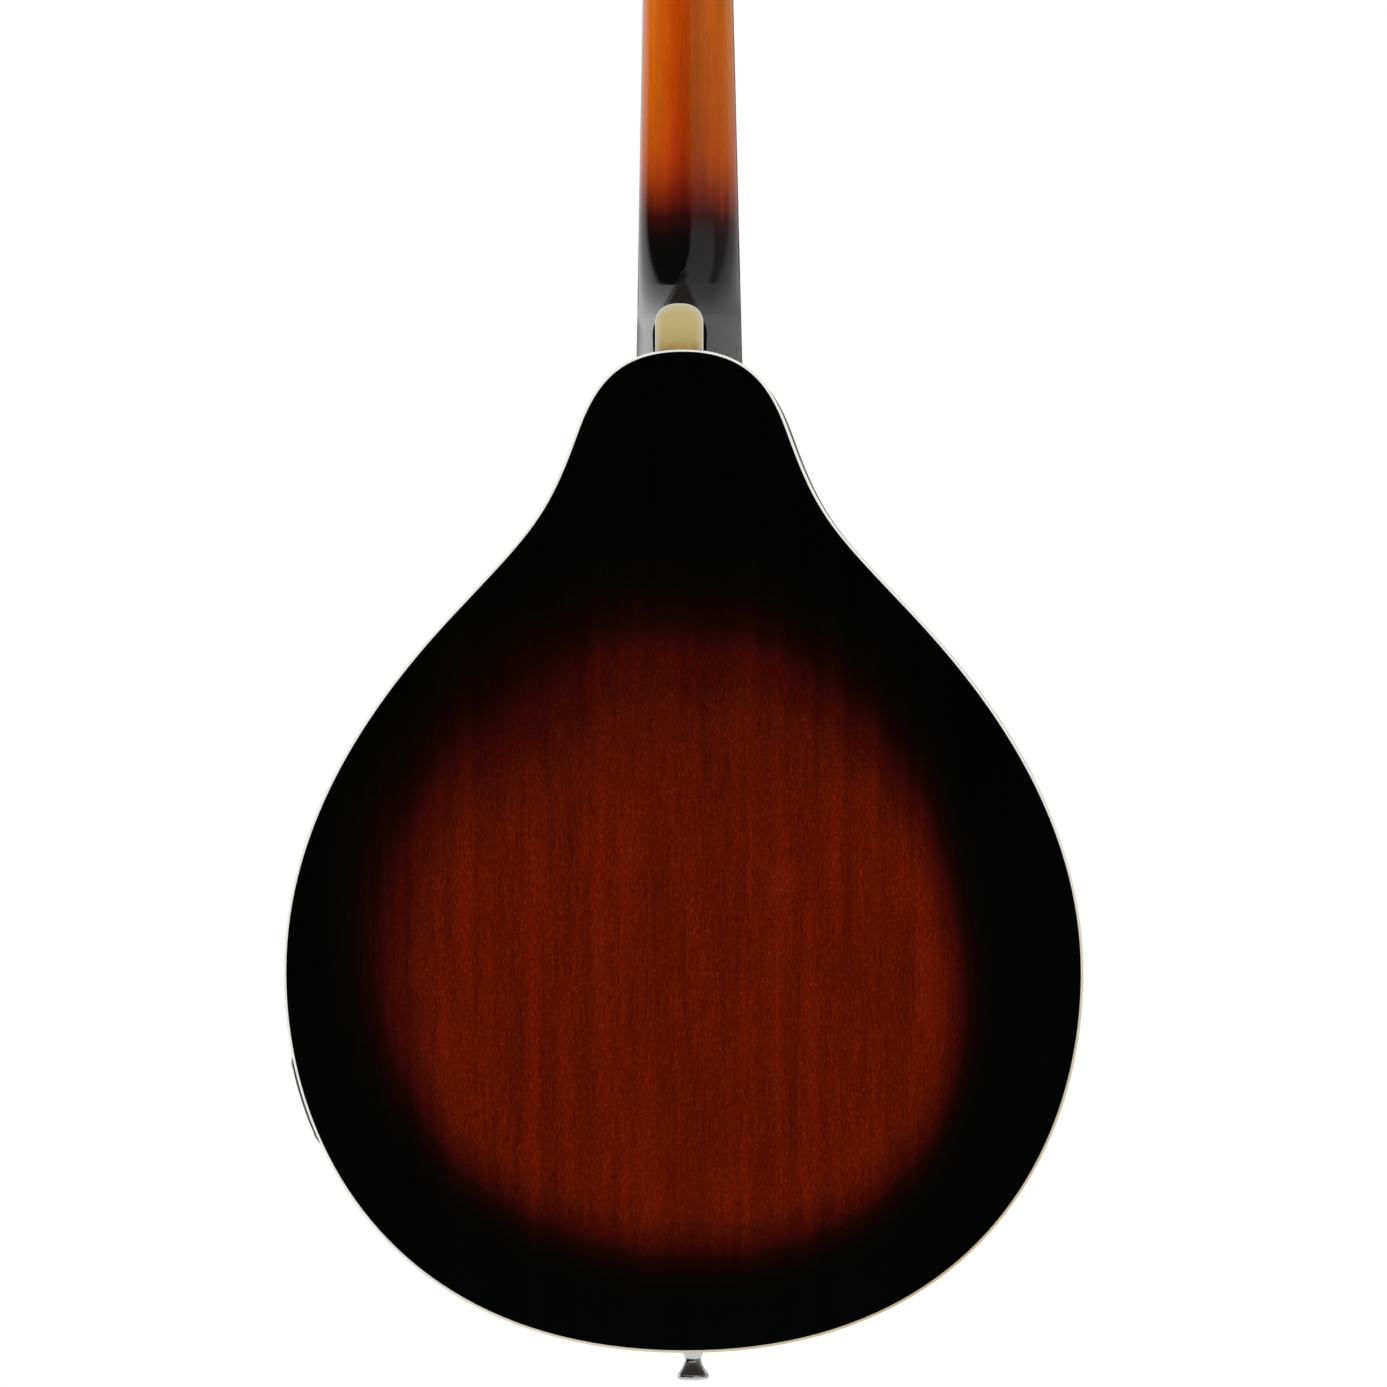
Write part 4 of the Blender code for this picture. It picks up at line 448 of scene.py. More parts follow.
def rod(radius: float, start: Point, end: Point, sides: int = 32) -> Mesh:
    """A round rod between two points.

    Args:
        radius: its radius.
        start: one end of its axis.
        end: the other end.
        sides: how many flats make it round.

    Returns:
        The mesh.
    """
    start, end = Vector(start), Vector(end)
    rings = [circle(radius, height, sides) for height in (0, (end - start).length)]
    return placed(skin(rings), Matrix.Translation(start) @ facing(end - start))


def placed(mesh: Mesh, matrix: Matrix) -> Mesh:
    """The mesh with its points moved by a matrix."""
    mesh.transform(matrix)
    return mesh


def lathe(profile: Sequence[Flat], sides: int = 48, ends: Ends = Ends.OPEN) -> Mesh:
    """Turn a profile of (radius, height) points about the Z axis, in a number of steps."""
    return skin([circle(radius, height, sides) for radius, height in profile], ends)


def layered(outline: Callable[[float], Iterable[Flat]], rows: Iterable[Flat],
            ends: Ends = Ends.CAPPED) -> Mesh:
    """Skin an outline of (x, z) points, taken at rows of (inset, y)."""
    return skin([[(x, y, z) for x, z in outline(inset)] for inset, y in rows], ends)


def prism(outline: Sequence[Flat], front: float, back: float) -> Mesh:
    """A flat outline of (x, z) points made solid from y = front to y = back."""
    return skin([[(x, y, z) for x, z in outline] for y in (front, back)])


def tube(points: Sequence[Point], radius: float, sides: int = 12) -> Mesh:
    """A capped round tube along a row of points, without twist.

    Args:
        points: the centre line.
        radius: the tube's radius.
        sides: how many flats make it round.

    Returns:
        The mesh.
    """
    line = [Vector(point) for point in points]
    heads = [(line[min(k + 1, len(line) - 1)] - line[max(k - 1, 0)]).normalized() for k in range(len(line))]
    side = heads[0].orthogonal().normalized()
    rings = []
    for place, head in zip(line, heads):
        side = (side - head * side.dot(head)).normalized()
        rise = head.cross(side)
        rings.append([place + (side * math.cos(a) + rise * math.sin(a)) * radius
                      for a in (FULL_TURN * k / sides for k in range(sides))])
    return skin(rings)


def smooth_line(points: Sequence[Vector], steps: int) -> list[Vector]:
    """Points on a smooth curve through the given ones.

    Args:
        points: the points to pass through.
        steps: how many steps lie between two of them.

    Returns:
        The points of the curve.
    """
    line = []
    for k in range(len(points) - 1):
        start, end = points[k], points[k + 1]
        pull = (end - start).length / 3
        lead = (end - points[max(k - 1, 0)]).normalized() * pull
        trail = (points[min(k + 2, len(points) - 1)] - start).normalized() * pull
        line += interpolate_bezier(start, start + lead, end - trail, end, steps + 1)[:-1]
    return line + [points[-1]]


def joined(meshes: Iterable[Mesh]) -> Mesh:
    """Several meshes side by side in one, without welding them to each other.

    Args:
        meshes: the meshes.

    Returns:
        One mesh with all of them.
    """
    bm = bmesh.new()
    for mesh in meshes:
        bm.from_mesh(mesh)
    made = bpy.data.meshes.new("joined")
    bm.to_mesh(made)
    bm.free()
    return made


def with_modifier(mesh: Mesh, kind: str, settings: dict[str, Any]) -> Mesh:
    """The mesh with one modifier applied.

    Args:
        mesh: the mesh to change.
        kind: the modifier's type.
        settings: its properties.

    Returns:
        A new mesh.
    """
    thing = bpy.data.objects.new("bench", mesh)
    step = thing.modifiers.new("step", kind)
    for name, value in settings.items():
        setattr(step, name, value)
    bpy.context.scene.collection.objects.link(thing)
    graph = bpy.context.evaluated_depsgraph_get()
    graph.update()
    made = bpy.data.meshes.new_from_object(thing.evaluated_get(graph))
    bpy.data.objects.remove(thing, do_unlink=True)
    return made


def softened(mesh: Mesh, width: float, segments: int = 3, angle: float = 35) -> Mesh:
    """The mesh with its sharp edges rounded.

    Args:
        mesh: the mesh to round.
        width: how wide the rounding is.
        segments: how many steps it has.
        angle: edges sharper than this many degrees are rounded.

    Returns:
        The rounded mesh.
    """
    return with_modifier(mesh, "BEVEL", {
        "width": width, "segments": segments, "limit_method": "ANGLE", "angle_limit": math.radians(angle),
        "use_clamp_overlap": True, "miter_outer": "MITER_ARC"})


def worked(mesh: Mesh, tools: Iterable[Mesh], operation: str) -> Mesh:
    """The mesh cut by, or joined with, each tool in turn.

    Args:
        mesh: the blank.
        tools: closed meshes.
        operation: DIFFERENCE or UNION.

    Returns:
        The worked mesh.
    """
    for tool in tools:
        cutter = bpy.data.objects.new("cutter", tool)
        bpy.context.scene.collection.objects.link(cutter)
        mesh = with_modifier(mesh, "BOOLEAN", {"operation": operation, "object": cutter, "solver": "EXACT"})
        bpy.data.objects.remove(cutter, do_unlink=True)
    bm = bmesh.new()
    bm.from_mesh(mesh)
    return mesh_of(bm, "worked")


def cut(mesh: Mesh, *tools: Mesh) -> Mesh:
    """The mesh with every tool cut out of it."""
    return worked(mesh, tools, "DIFFERENCE")


def fused(mesh: Mesh, *tools: Mesh) -> Mesh:
    """The mesh joined with every tool into one skin."""
    return worked(mesh, tools, "UNION")


def screw_head(radius: float, height: float, slot_turn: float = 0.0) -> Mesh:
    """A domed, cross-slotted screw head with its seat at z = 0 and its crown at z = height.

    Args:
        radius: its radius.
        height: how high its dome stands.
        slot_turn: the turn of its cross slot in radians.

    Returns:
        The mesh.
    """
    profile = [(0.0, -height), (radius, -height), (radius, 0.0)]
    profile += [(radius * math.cos(a), height * math.sin(a)) for a in map(math.radians, (15, 35, 55, 75))]
    head = lathe(profile + [(0.0, height)], 24)
    reach, half, floor = radius * 0.62, radius * 0.12, height * 0.35
    blades = [placed(block((-reach, -half, floor), (reach, half, height * 2)),
                     Matrix.Rotation(slot_turn + quarter * QUARTER, 4, "Z")) for quarter in range(2)]
    return cut(head, *blades)


# The sizes that several sub-assemblies share


@dataclass(frozen=True)
class BodyOutline:
    """The body's teardrop outline, drawn with four curves from the tail up to the neck."""

    length: float = 345.5 * MM
    width: float = 275.6 * MM
    bout_height: float = 131.0 * MM
    shoulder: Flat = (79.4 * MM, 254.8 * MM)
    shoulder_lean: float = math.radians(43.3)
    waist: Flat = (36.9 * MM, 316.7 * MM)
    waist_lean: float = math.radians(19.7)
    tail_pull: float = 96.6 * MM
    bout_pulls: Flat = (65.0 * MM, 53.0 * MM)
    shoulder_pulls: Flat = (39.0 * MM, 38.9 * MM)
    waist_pulls: Flat = (30.9 * MM, 16.1 * MM)
    neck_pull: float = 23.7 * MM
    steps: tuple[int, ...] = (44, 32, 20, 30)

    @lru_cache(maxsize=None)
    def half(self) -> tuple[Flat, ...]:
        """The treble half as (x, z) points, from the tail to the neck.

        Returns:
            The points of the half.
        """
        lean = Vector((-math.sin(self.shoulder_lean), math.cos(self.shoulder_lean), 0))
        rise = Vector((-math.sin(self.waist_lean), math.cos(self.waist_lean), 0))
        across, up = Vector((1, 0, 0)), Vector((0, 1, 0))
        tail, head = Vector((0, 0, 0)), Vector((0, self.length, 0))
        bout = Vector((self.width / 2, self.bout_height, 0))
        shoulder, waist = Vector((*self.shoulder, 0)), Vector((*self.waist, 0))
        arcs = (
            (tail, tail + across * self.tail_pull, bout - up * self.bout_pulls[0], bout),
            (bout, bout + up * self.bout_pulls[1], shoulder - lean * self.shoulder_pulls[0], shoulder),
            (shoulder, shoulder + lean * self.shoulder_pulls[1], waist - rise * self.waist_pulls[0], waist),
            (waist, waist + rise * self.waist_pulls[1], head + across * self.neck_pull, head),
        )
        points: list[Vector] = []
        for count, arc in zip(self.steps, arcs):
            points += interpolate_bezier(*arc, count + 1)[:-1]
        return tuple((point.x, point.y) for point in [*points, head])

    @lru_cache(maxsize=None)
    def closed(self, inset: float = 0.0) -> tuple[Flat, ...]:
        """The whole outline, set in from the rim.

        Args:
            inset: how far inside the rim the line runs.

        Returns:
            Closed (x, z) points.
        """
        half = list(self.half())
        whole = half + [(-x, z) for x, z in half[-2:0:-1]]
        count = len(whole)
        points = []
        for k, (x, z) in enumerate(whole):
            (x0, z0), (x1, z1) = whole[k - 1], whole[(k + 1) % count]
            along = Vector((x1 - x0, z1 - z0)).normalized()
            points.append((x - along.y * inset, z + along.x * inset))
        return tuple(points)

    def treble(self, inset: float = 0.0) -> list[Flat]:
        """The treble half at an inset."""
        return list(self.closed(inset)[:len(self.half())])

    def half_width(self, height: float, inset: float = 0.0) -> float:
        """Half the body's width at a height above the tail.

        Args:
            height: a height above the tail.
            inset: how far inside the outer edge the line runs.

        Returns:
            The half width there, 0 beyond the ends.
        """
        half = self.treble(inset)
        for (x0, z0), (x1, z1) in zip(half, half[1:]):
            if z0 <= height <= z1:
                return x0 + (x1 - x0) * (height - z0) / (z1 - z0)
        return 0.0

    def rim(self, height: float) -> tuple[Vector, Vector]:
        """A point of the treble rim at a height, and the outward normal there.

        Args:
            height: a height above the tail.

        Returns:
            The point and the normal in the body frame.
        """
        step = 4.0 * MM
        low = Vector((self.half_width(height - step), 0, height - step))
        high = Vector((self.half_width(height + step), 0, height + step))
        along = (high - low).normalized()
        return Vector((self.half_width(height), 0, height)), Vector((along.z, 0, -along.x))


@dataclass(frozen=True)
class Shell:
    """Thicknesses of the sound box, and the arch of its top."""

    back: float = 2.8 * MM
    side_depth: float = 38.0 * MM
    top: float = 3.2 * MM
    side: float = 2.6 * MM
    binding_width: float = 1.4 * MM
    binding_depth: float = 6.0 * MM
    rise: float = 8.0 * MM
    centre: float = 150.0 * MM
    flat_from: float = 0.92
    ease: float = 0.35 * MM

    @property
    def depth(self) -> float:
        """The rim's whole depth."""
        return self.back + self.side_depth + self.top

    def at(self, share: float) -> float:
        """The arch's rise at a share of the way from its centre to the edge."""
        climb = min(max(1 - share / self.flat_from, 0.0), 1.0)
        return max(self.rise * climb * climb * (3 - 2 * climb) - self.ease * climb, 0.0)

    @lru_cache(maxsize=None)
    def reaches(self) -> tuple[Flat, ...]:
        """The top plate's edge as (angle, distance) about the arch's centre, by rising angle."""
        edge = [(x, z - self.centre) for x, z in OUTLINE.closed(self.binding_width + AIR)]
        return tuple(sorted((math.atan2(up, x), math.hypot(x, up)) for x, up in edge))

    def rise_at(self, x: float, z: float) -> float:
        """How far the top stands proud of its edge at a point.

        Args:
            x: the point's place across the body.
            z: its height above the tail.

        Returns:
            The rise in metres.
        """
        rows = self.reaches()
        angle = math.atan2(z - self.centre, x)
        reach = rows[0][1]
        for (a0, r0), (a1, r1) in zip(rows, rows[1:]):
            if a0 <= angle <= a1:
                reach = r0 + (r1 - r0) * (angle - a0) / max(a1 - a0, 1e-9)
                break
        return self.at(math.hypot(x, z - self.centre) / reach)

    def highest(self, x: float, z: float, reach_x: float, reach_z: float) -> float:
        """The greatest rise of the arch under a footprint round a point."""
        steps = (-1, -0.5, 0, 0.5, 1)
        return max(self.rise_at(x + reach_x * i, z + reach_z * j) for i in steps for j in steps)


@dataclass(frozen=True)
class NeckLine:
    """The run of the neck: scale, tapers and its section at every height."""

    scale: float = 349.0 * MM
    joint_fret: int = 14
    fret_count: int = 20
    board_thick: float = 5.0 * MM
    board_margin: float = 5.0 * MM
    board_rise: float = 8.0 * MM
    nut_width: float = 28.6 * MM
    joint_width: float = 37.0 * MM
    nut_length: float = 5.0 * MM
    nut_height: float = 0.9 * MM
    tilt: float = math.radians(4.5)
    depth_at_nut: float = 13.5 * MM
    depth_at_heel: float = 17.0 * MM
    cap_length: float = 16.0 * MM
    cap_thick: float = 1.5 * MM
    cap_half: float = 8.5 * MM
    cap_arch: float = 7.6 * MM
    cap_square: float = 0.84
    swoop: float = 46.0 * MM
    ridge: float = 0.05 * MM
    spare: float = 4.0 * MM
    fullness: float = 0.62
    flank: Flat = (0.30, 0.74)
    bulge: float = 0.9 * MM
    fan: Flat = (5.6 * MM, 10.0 * MM)
    foot: float = 7.65 * MM
    lead: float = 2.2 * MM
    lean: float = 1.1 * MM

    def fret(self, number: int) -> float:
        """Distance of a fret from the nut."""
        return self.scale * (1 - 2 ** (-number / 12))

    @property
    def joint(self) -> float:
        """Distance of the body joint from the nut."""
        return self.fret(self.joint_fret)

    @property
    def board_length(self) -> float:
        """Length of the fretboard."""
        return self.fret(self.fret_count) + self.board_margin

    def half_width(self, distance: float) -> float:
        """Half the fretboard's width at a distance from the nut."""
        return (self.nut_width + (self.joint_width - self.nut_width) * distance / self.joint) / 2

    def section(self, rise: float) -> tuple[float, float, float, float]:
        """Width, back flat, depth of wood and share of heel at a height above the body.

        Args:
            rise: a height above the body's joint.

        Returns:
            Half width, half of the back's flat, depth, and 1 at a full heel.
        """
        distance = self.joint - rise
        width = self.half_width(distance)
        share = min(distance / self.joint, 1.0)
        shaft = self.depth_at_nut + (self.depth_at_heel - self.depth_at_nut) * share
        full = SHELL.depth + self.board_rise + rise * math.sin(self.tilt) + self.spare - self.board_thick
        above = rise - self.cap_length
        depth = shaft + (full - shaft) * (1 - min(max(above + self.lead, 0.0) / self.swoop, 1.0)) ** 3
        heel = (1 - min(max(above, 0.0) / self.swoop, 1.0)) ** 4.8
        if above > 0:
            return width, self.fan[0] * (1 - min(above / self.fan[1], 1.0)) ** 0.75, depth, heel
        part, power = max(above / self.cap_arch + 1, 0.0), 2 / self.cap_square
        return width, max(self.foot * (1 - part ** power) ** (1 / power), self.fan[0]), depth, heel

    def ring(self, rise: float) -> list[Point]:
        """Closed section of the neck's wood at a height above the body, in the neck frame.

        Args:
            rise: a height above the body's joint.

        Returns:
            The points of the section.
        """
        z = rise - self.joint
        width, flat, depth, heel = self.section(rise)
        front = self.board_thick
        if z > self.nut_length:
            front += 0.5 * MM + (z - self.nut_length) * math.tan(HEAD.tilt)
        start, end = Vector((width, front, 0)), Vector((flat, front + depth, 0))
        low, high = (start.lerp(end, part) + Vector((self.bulge, 0, 0)) for part in self.flank)
        side = (start + Vector((0, depth * self.fullness, 0))).lerp(low, heel)
        back = Vector((width * self.fullness, front + depth, 0)).lerp(high, heel)
        half = interpolate_bezier(start, side, back, end, 29)
        right = [(max(point.x, self.ridge), point.y, z) for point in half]
        shift = self.lean * heel / depth
        left = [(-x, y, z) for x, y, z in right[::-1]]
        return [(x + shift * (y - front), y, z) for x, y, z in right + left]


@dataclass(frozen=True)
class HeadPlan:
    """The headstock's outline and the places of its tuners."""

    tilt: float = math.radians(13.0)
    length: float = 136.0 * MM
    thick: float = 14.0 * MM
    half_low: float = 33.0 * MM
    half_high: float = 30.0 * MM
    flare: float = 24.0 * MM
    crown: float = 16.0 * MM
    root: float = 4.0 * MM
    volute: float = 9.0 * MM
    blend: float = 4.0 * MM
    veneer: float = 1.6 * MM
    rows: int = 4
    spacing: float = 22.9 * MM
    first: float = 36.0 * MM
    post_offset: float = 19.0 * MM
    post_radius: float = 3.0 * MM
    post_height: float = 13.0 * MM

    def outline(self, start: float, inset: float = 0.0) -> list[Flat]:
        """Closed outline of (x, z) points in the head frame, none of them below the start.

        Args:
            start: where the outline starts above the nut.
            inset: how far inside the edge it runs.

        Returns:
            Closed (x, z) points.
        """
        low, high, nut = self.half_low - inset, self.half_high - inset, NECK.nut_width / 2 - inset
        side, top = self.length - self.crown, self.length - inset
        flare = curve((nut, 0), (nut, self.flare * 0.55), (low, self.flare * 0.35), (low, self.flare), 20)
        crown = curve((high, side), (high, side + self.crown * 0.7), (high * 0.45, top), (0, top), 20)
        half = [(nut, start)] + [(x, max(z, start)) for x, z in flare + crown]
        return half + [(-x, z) for x, z in half[-2::-1]]

    def post(self, hand: Hand, k: int) -> Flat:
        """A tuning post's place across and up the headstock."""
        return hand.value * self.post_offset, self.first + k * self.spacing

    def posts(self) -> list[Flat]:
        """The places of all eight tuning posts, the bass side's first."""
        return [self.post(hand, k) for hand in Hand for k in range(self.rows)]


@dataclass(frozen=True)
class StringPlan:
    """Radii, spacings and heights of the eight strings, in pairs from bass to treble."""

    radii: tuple[float, ...] = (0.50 * MM, 0.33 * MM, 0.19 * MM, 0.14 * MM)
    nut_spacing: Flat = (7.0 * MM, 2.4 * MM)
    bridge_spacing: Flat = (11.6 * MM, 3.2 * MM)
    tail_spacing: Flat = (8.4 * MM, 3.6 * MM)
    action: float = 4.1 * MM
    hook_place: float = 22.0 * MM
    hook_size: float = 1.4 * MM
    hook_loop: float = 2.5 * MM
    tailpiece_under: float = -45.167 * MM
    plate_thick: float = 1.2 * MM

    def each(self) -> list[tuple[int, int]]:
        """Every string as its course and its place in the pair, from bass to treble."""
        return [(course, pair) for course in range(len(self.radii)) for pair in range(2)]

    def across(self, course: int, pair: int, spacing: Flat) -> float:
        """Sideways place of a string at one of the spacings."""
        return (course - 1.5) * spacing[0] + (pair - 0.5) * spacing[1]

    def post_of(self, course: int, pair: int) -> tuple[Hand, int]:
        """The tuner that a string winds on: its side, and its place from the nut.

        Args:
            course: the pair's number from the bass side, from 0.
            pair: which string of the pair, 0 or 1.

        Returns:
            The side, and the post's number from the nut.
        """
        hand = Hand.BASS if course < 2 else Hand.TREBLE
        nearer = (pair == 0) if hand is Hand.BASS else (pair == 1)
        return hand, (0 if course in (0, 3) else 2) + (0 if nearer else 1)

    def at_saddle(self, course: int, pair: int) -> Vector:
        """Where a string's lower side crosses the saddle, in the body frame."""
        x = self.across(course, pair, self.bridge_spacing)
        return FRAMES.neck_in_body @ Vector((x, -self.action, -NECK.scale))

    def at_nut(self, course: int, pair: int) -> Vector:
        """Where a string's centre line crosses the nut's front edge, in the neck frame."""
        x = self.across(course, pair, self.nut_spacing)
        return Vector((x, -(NECK.nut_height + self.radii[course]), 0))

    def at_hook(self, course: int, pair: int) -> Vector:
        """Where a string ends against its hook, in the body frame.

        Args:
            course: the pair's number from the bass side, from 0.
            pair: which string of the pair, 0 or 1.

        Returns:
            The end of its centre line.
        """
        y = self.tailpiece_under - self.plate_thick - self.hook_loop
        return Vector((self.across(course, pair, self.tail_spacing), y,
                       self.hook_place + self.hook_size / 2 + AIR))


@dataclass(frozen=True)
class RimPlan:
    """Places and bores of what is let into the rim: the jack and the strap button."""

    depth: float = 22.0 * MM
    jack_height: float = 86.0 * MM
    barrel: float = 6.2 * MM
    screw_step: float = 2.6 * MM
    screw_radius: float = 1.7 * MM


class Frames:
    """Where the body, the neck and the headstock stand in the world."""

    def __init__(self) -> None:
        """Work out each frame's matrix from the named sizes."""
        self.origin = Vector((0, 21.755 * MM, -550.466 * MM))
        self.body = Matrix.Translation(self.origin)
        lean = Matrix.Rotation(-NECK.tilt, 4, "X")
        joint = Vector((0, -(SHELL.depth + NECK.board_rise), OUTLINE.length))
        self.neck_in_body = Matrix.Translation(joint + lean @ Vector((0, 0, NECK.joint))) @ lean
        self.head_in_neck = (Matrix.Translation((0, NECK.board_thick, NECK.nut_length))
                             @ Matrix.Rotation(-HEAD.tilt, 4, "X"))
        self.neck = self.body @ self.neck_in_body
        self.head = self.neck @ self.head_in_neck


OUTLINE = BodyOutline()
SHELL = Shell()
NECK = NeckLine()
HEAD = HeadPlan()
STRINGS = StringPlan()
RIM = RimPlan()
FRAMES = Frames()
CONTROL_PLACES = {"volume": (93.0 * MM, 121.0 * MM), "tone": (74.0 * MM, 82.0 * MM)}
PICKUP_PLACE = 283.62 * MM


# Finishes


@dataclass(frozen=True)
class Finish:
    """A surface finish, made once and shared by all the pieces that wear it."""

    slot: Slot

    def paint(self, board: Board) -> None:
        """Lay out the finish's nodes on a board."""
        raise NotImplementedError

    @lru_cache(maxsize=None)
    def material(self) -> bpy.types.Material:
        """The Blender material of this finish.

        Returns:
            The material, the same one at each call.
        """
        made = bpy.data.materials.new(f"{self.slot.value}_{type(self).__name__}".lower())
        made.use_nodes = True
        self.paint(Board(made.node_tree))
        return made


@dataclass(frozen=True)
class Lacquer:
    """Values of a glossy lacquer's Principled sockets."""

    roughness: float = 0.07
    ior: float = 1.5
    coat: float = 0.0

    def sockets(self) -> dict[str, Any]:
        """The constant sockets."""
        return {"IOR": self.ior, "Coat Weight": self.coat, "Coat Roughness": 0.03}


@dataclass(frozen=True)
class Figure:
    """The grain of a wood whose fibres run along the Z axis."""

    streak_width: float = 9.0
    streak_length: float = 420.0
    fine_width: float = 0.7
    fine_length: float = 14.0
    pore_width: float = 0.32
    pore_length: float = 4.2
    pore_share: Flat = (0.62, 0.74)
    glint_share: Flat = (0.48, 0.68)

    def streaks(self, board: Board) -> Signal:
        """Broad light and dark bands, from 0 to 1."""
        return board.noise((self.streak_width, self.streak_width, self.streak_length), 3.0, 0.55)

    def fibres(self, board: Board) -> Signal:
        """Fine fibres, from 0 to 1."""
        return board.noise((self.fine_width, self.fine_width, self.fine_length), 2.0, 0.6)

    def pores(self, board: Board) -> Signal:
        """Short dark pores as a mask, 1 inside a pore."""
        spots = board.noise((self.pore_width, self.pore_width, self.pore_length), 1.0, 0.5)
        return board.span(spots, *self.pore_share)

    def ribbon(self, board: Board) -> Signal:
        """The slow shimmer across the grain that quartered mahogany shows."""
        return board.noise((6.0, 6.0, 90.0), 2.0, 0.5, 0.4)

    def glints(self, board: Board) -> Signal:
        """Small bright flecks of curly fibre, 1 inside a fleck."""
        return board.span(board.noise((0.55, 0.55, 1.6), 2.0, 0.6, 0.8), *self.glint_share)


@dataclass(frozen=True)
class BackBurst(Finish):
    """Red-brown sunburst on mahogany that goes to gloss black well before the rim."""

    slot: Slot = Slot.BURST_MAHOGANY
    centre: Flat = (5.0, 138.9)
    radius: float = 103.8
    waves: tuple[Flat, ...] = ((2.66, 160.2), (3.05, -156.8), (2.86, 53.5), (1.44, -146.3))
    soft: float = 22.0
    soft_waves: tuple[Flat, ...] = ((10.0, -60.0), (6.0, -150.0))
    lacquer: Lacquer = Lacquer(roughness=0.06)
    tones: tuple[tuple[float, Colour], ...] = (
        (0.0, srgb(2, 2, 2)), (0.18, srgb(4, 3, 2)), (0.30, srgb(12, 3, 1)), (0.42, srgb(26, 4, 1)),
        (0.50, srgb(45, 6, 1)), (0.60, srgb(62, 8, 1)), (0.72, srgb(72, 10, 1)), (0.80, srgb(81, 12, 1)),
        (1.0, srgb(89, 14, 1)))
    amber: Colour = srgb(190, 92, 26)

    def edge(self, board: Board, angle: Signal, base: float, waves: Sequence[Flat]) -> Signal:
        """A length that varies with the angle as a base and a few waves.

        Args:
            board: the node board of the material.
            angle: the direction from the centre.
            base: the mean length.
            waves: size and phase in degrees of each wave.

        Returns:
            The length as a signal.
        """
        length: Signal | float = base
        for turns, (size, phase) in enumerate(waves, start=1):
            length = board.maths("COSINE", angle * turns + math.radians(phase)) * size + length
        return length

    def paint(self, board: Board) -> None:
        """Burst by distance from its centre, broken by the wood's figure.

        Args:
            board: the node board of the material.
        """
        figure = Figure()
        x, _, z = board.parts(board.place())
        across, up = x - self.centre[0], z - self.centre[1]
        angle = board.maths("ARCTAN2", up, across)
        reach = board.maths("SQRT", across * across + up * up)
        edge = self.edge(board, angle, self.radius, self.waves)
        soft = self.edge(board, angle, self.soft, self.soft_waves)
        streaks, fibres, ribbon = figure.streaks(board), figure.fibres(board), figure.ribbon(board)
        inside = (edge - reach) / soft * 0.5 + 0.5 + (streaks - 0.5) * 0.10
        tone = board.ramp(inside, self.tones)
        glints = figure.glints(board)
        tone = board.mix((fibres + glints) * board.span(inside, 0.5, 0.9) * 0.026, tone, self.amber)
        light = 1 + (streaks - 0.5) * 0.66 + (fibres - 0.5) * 1.1 + (ribbon - 0.5) * 0.9
        light = light * (1 - figure.pores(board) * 0.55) + glints * ribbon * 0.9
        light = light * (board.span(z, 165.0, 225.0, 1.0, 0.72) + board.span(z, 226.0, 242.0) * 0.2)
        board.surface({"Base Color": board.scaled(tone, light),
                       "Roughness": self.lacquer.roughness + fibres * 0.02,
                       "Normal": board.bump(fibres + streaks, 0.05, 0.04 * MM), **self.lacquer.sockets()})


@dataclass(frozen=True)
class SideBurst(Finish):
    """Mahogany sides, dark red-brown between black edges."""

    slot: Slot = Slot.BURST_MAHOGANY
    middle: float = -22.0
    half: float = 19.0
    lacquer: Lacquer = Lacquer(roughness=0.07)

    def paint(self, board: Board) -> None:
        """Fade by depth towards both bindings.

        Args:
            board: the node board of the material.
        """
        figure = Figure(streak_width=6.0)
        _, y, _ = board.parts(board.place())
        bands = board.noise((60.0, 3.0, 60.0), 3.0, 0.6)
        fibres = board.noise((14.0, 0.7, 14.0), 2.0, 0.6)
        away = abs(y - self.middle) / self.half + (bands - 0.5) * 0.25
        tone = board.ramp(1 - away, ((0.0, srgb(3, 2, 2)), (0.25, srgb(8, 3, 2)), (0.55, srgb(24, 6, 3)),
                                     (1.0, srgb(42, 11, 4))))
        light = (1 + (bands - 0.5) * 0.5 + (fibres - 0.5) * 0.4) * (1 - figure.pores(board) * 0.25)
        board.surface({"Base Color": board.scaled(tone, light),
                       "Roughness": self.lacquer.roughness + fibres * 0.02,
                       "Normal": board.bump(fibres, 0.04, 0.04 * MM), **self.lacquer.sockets()})


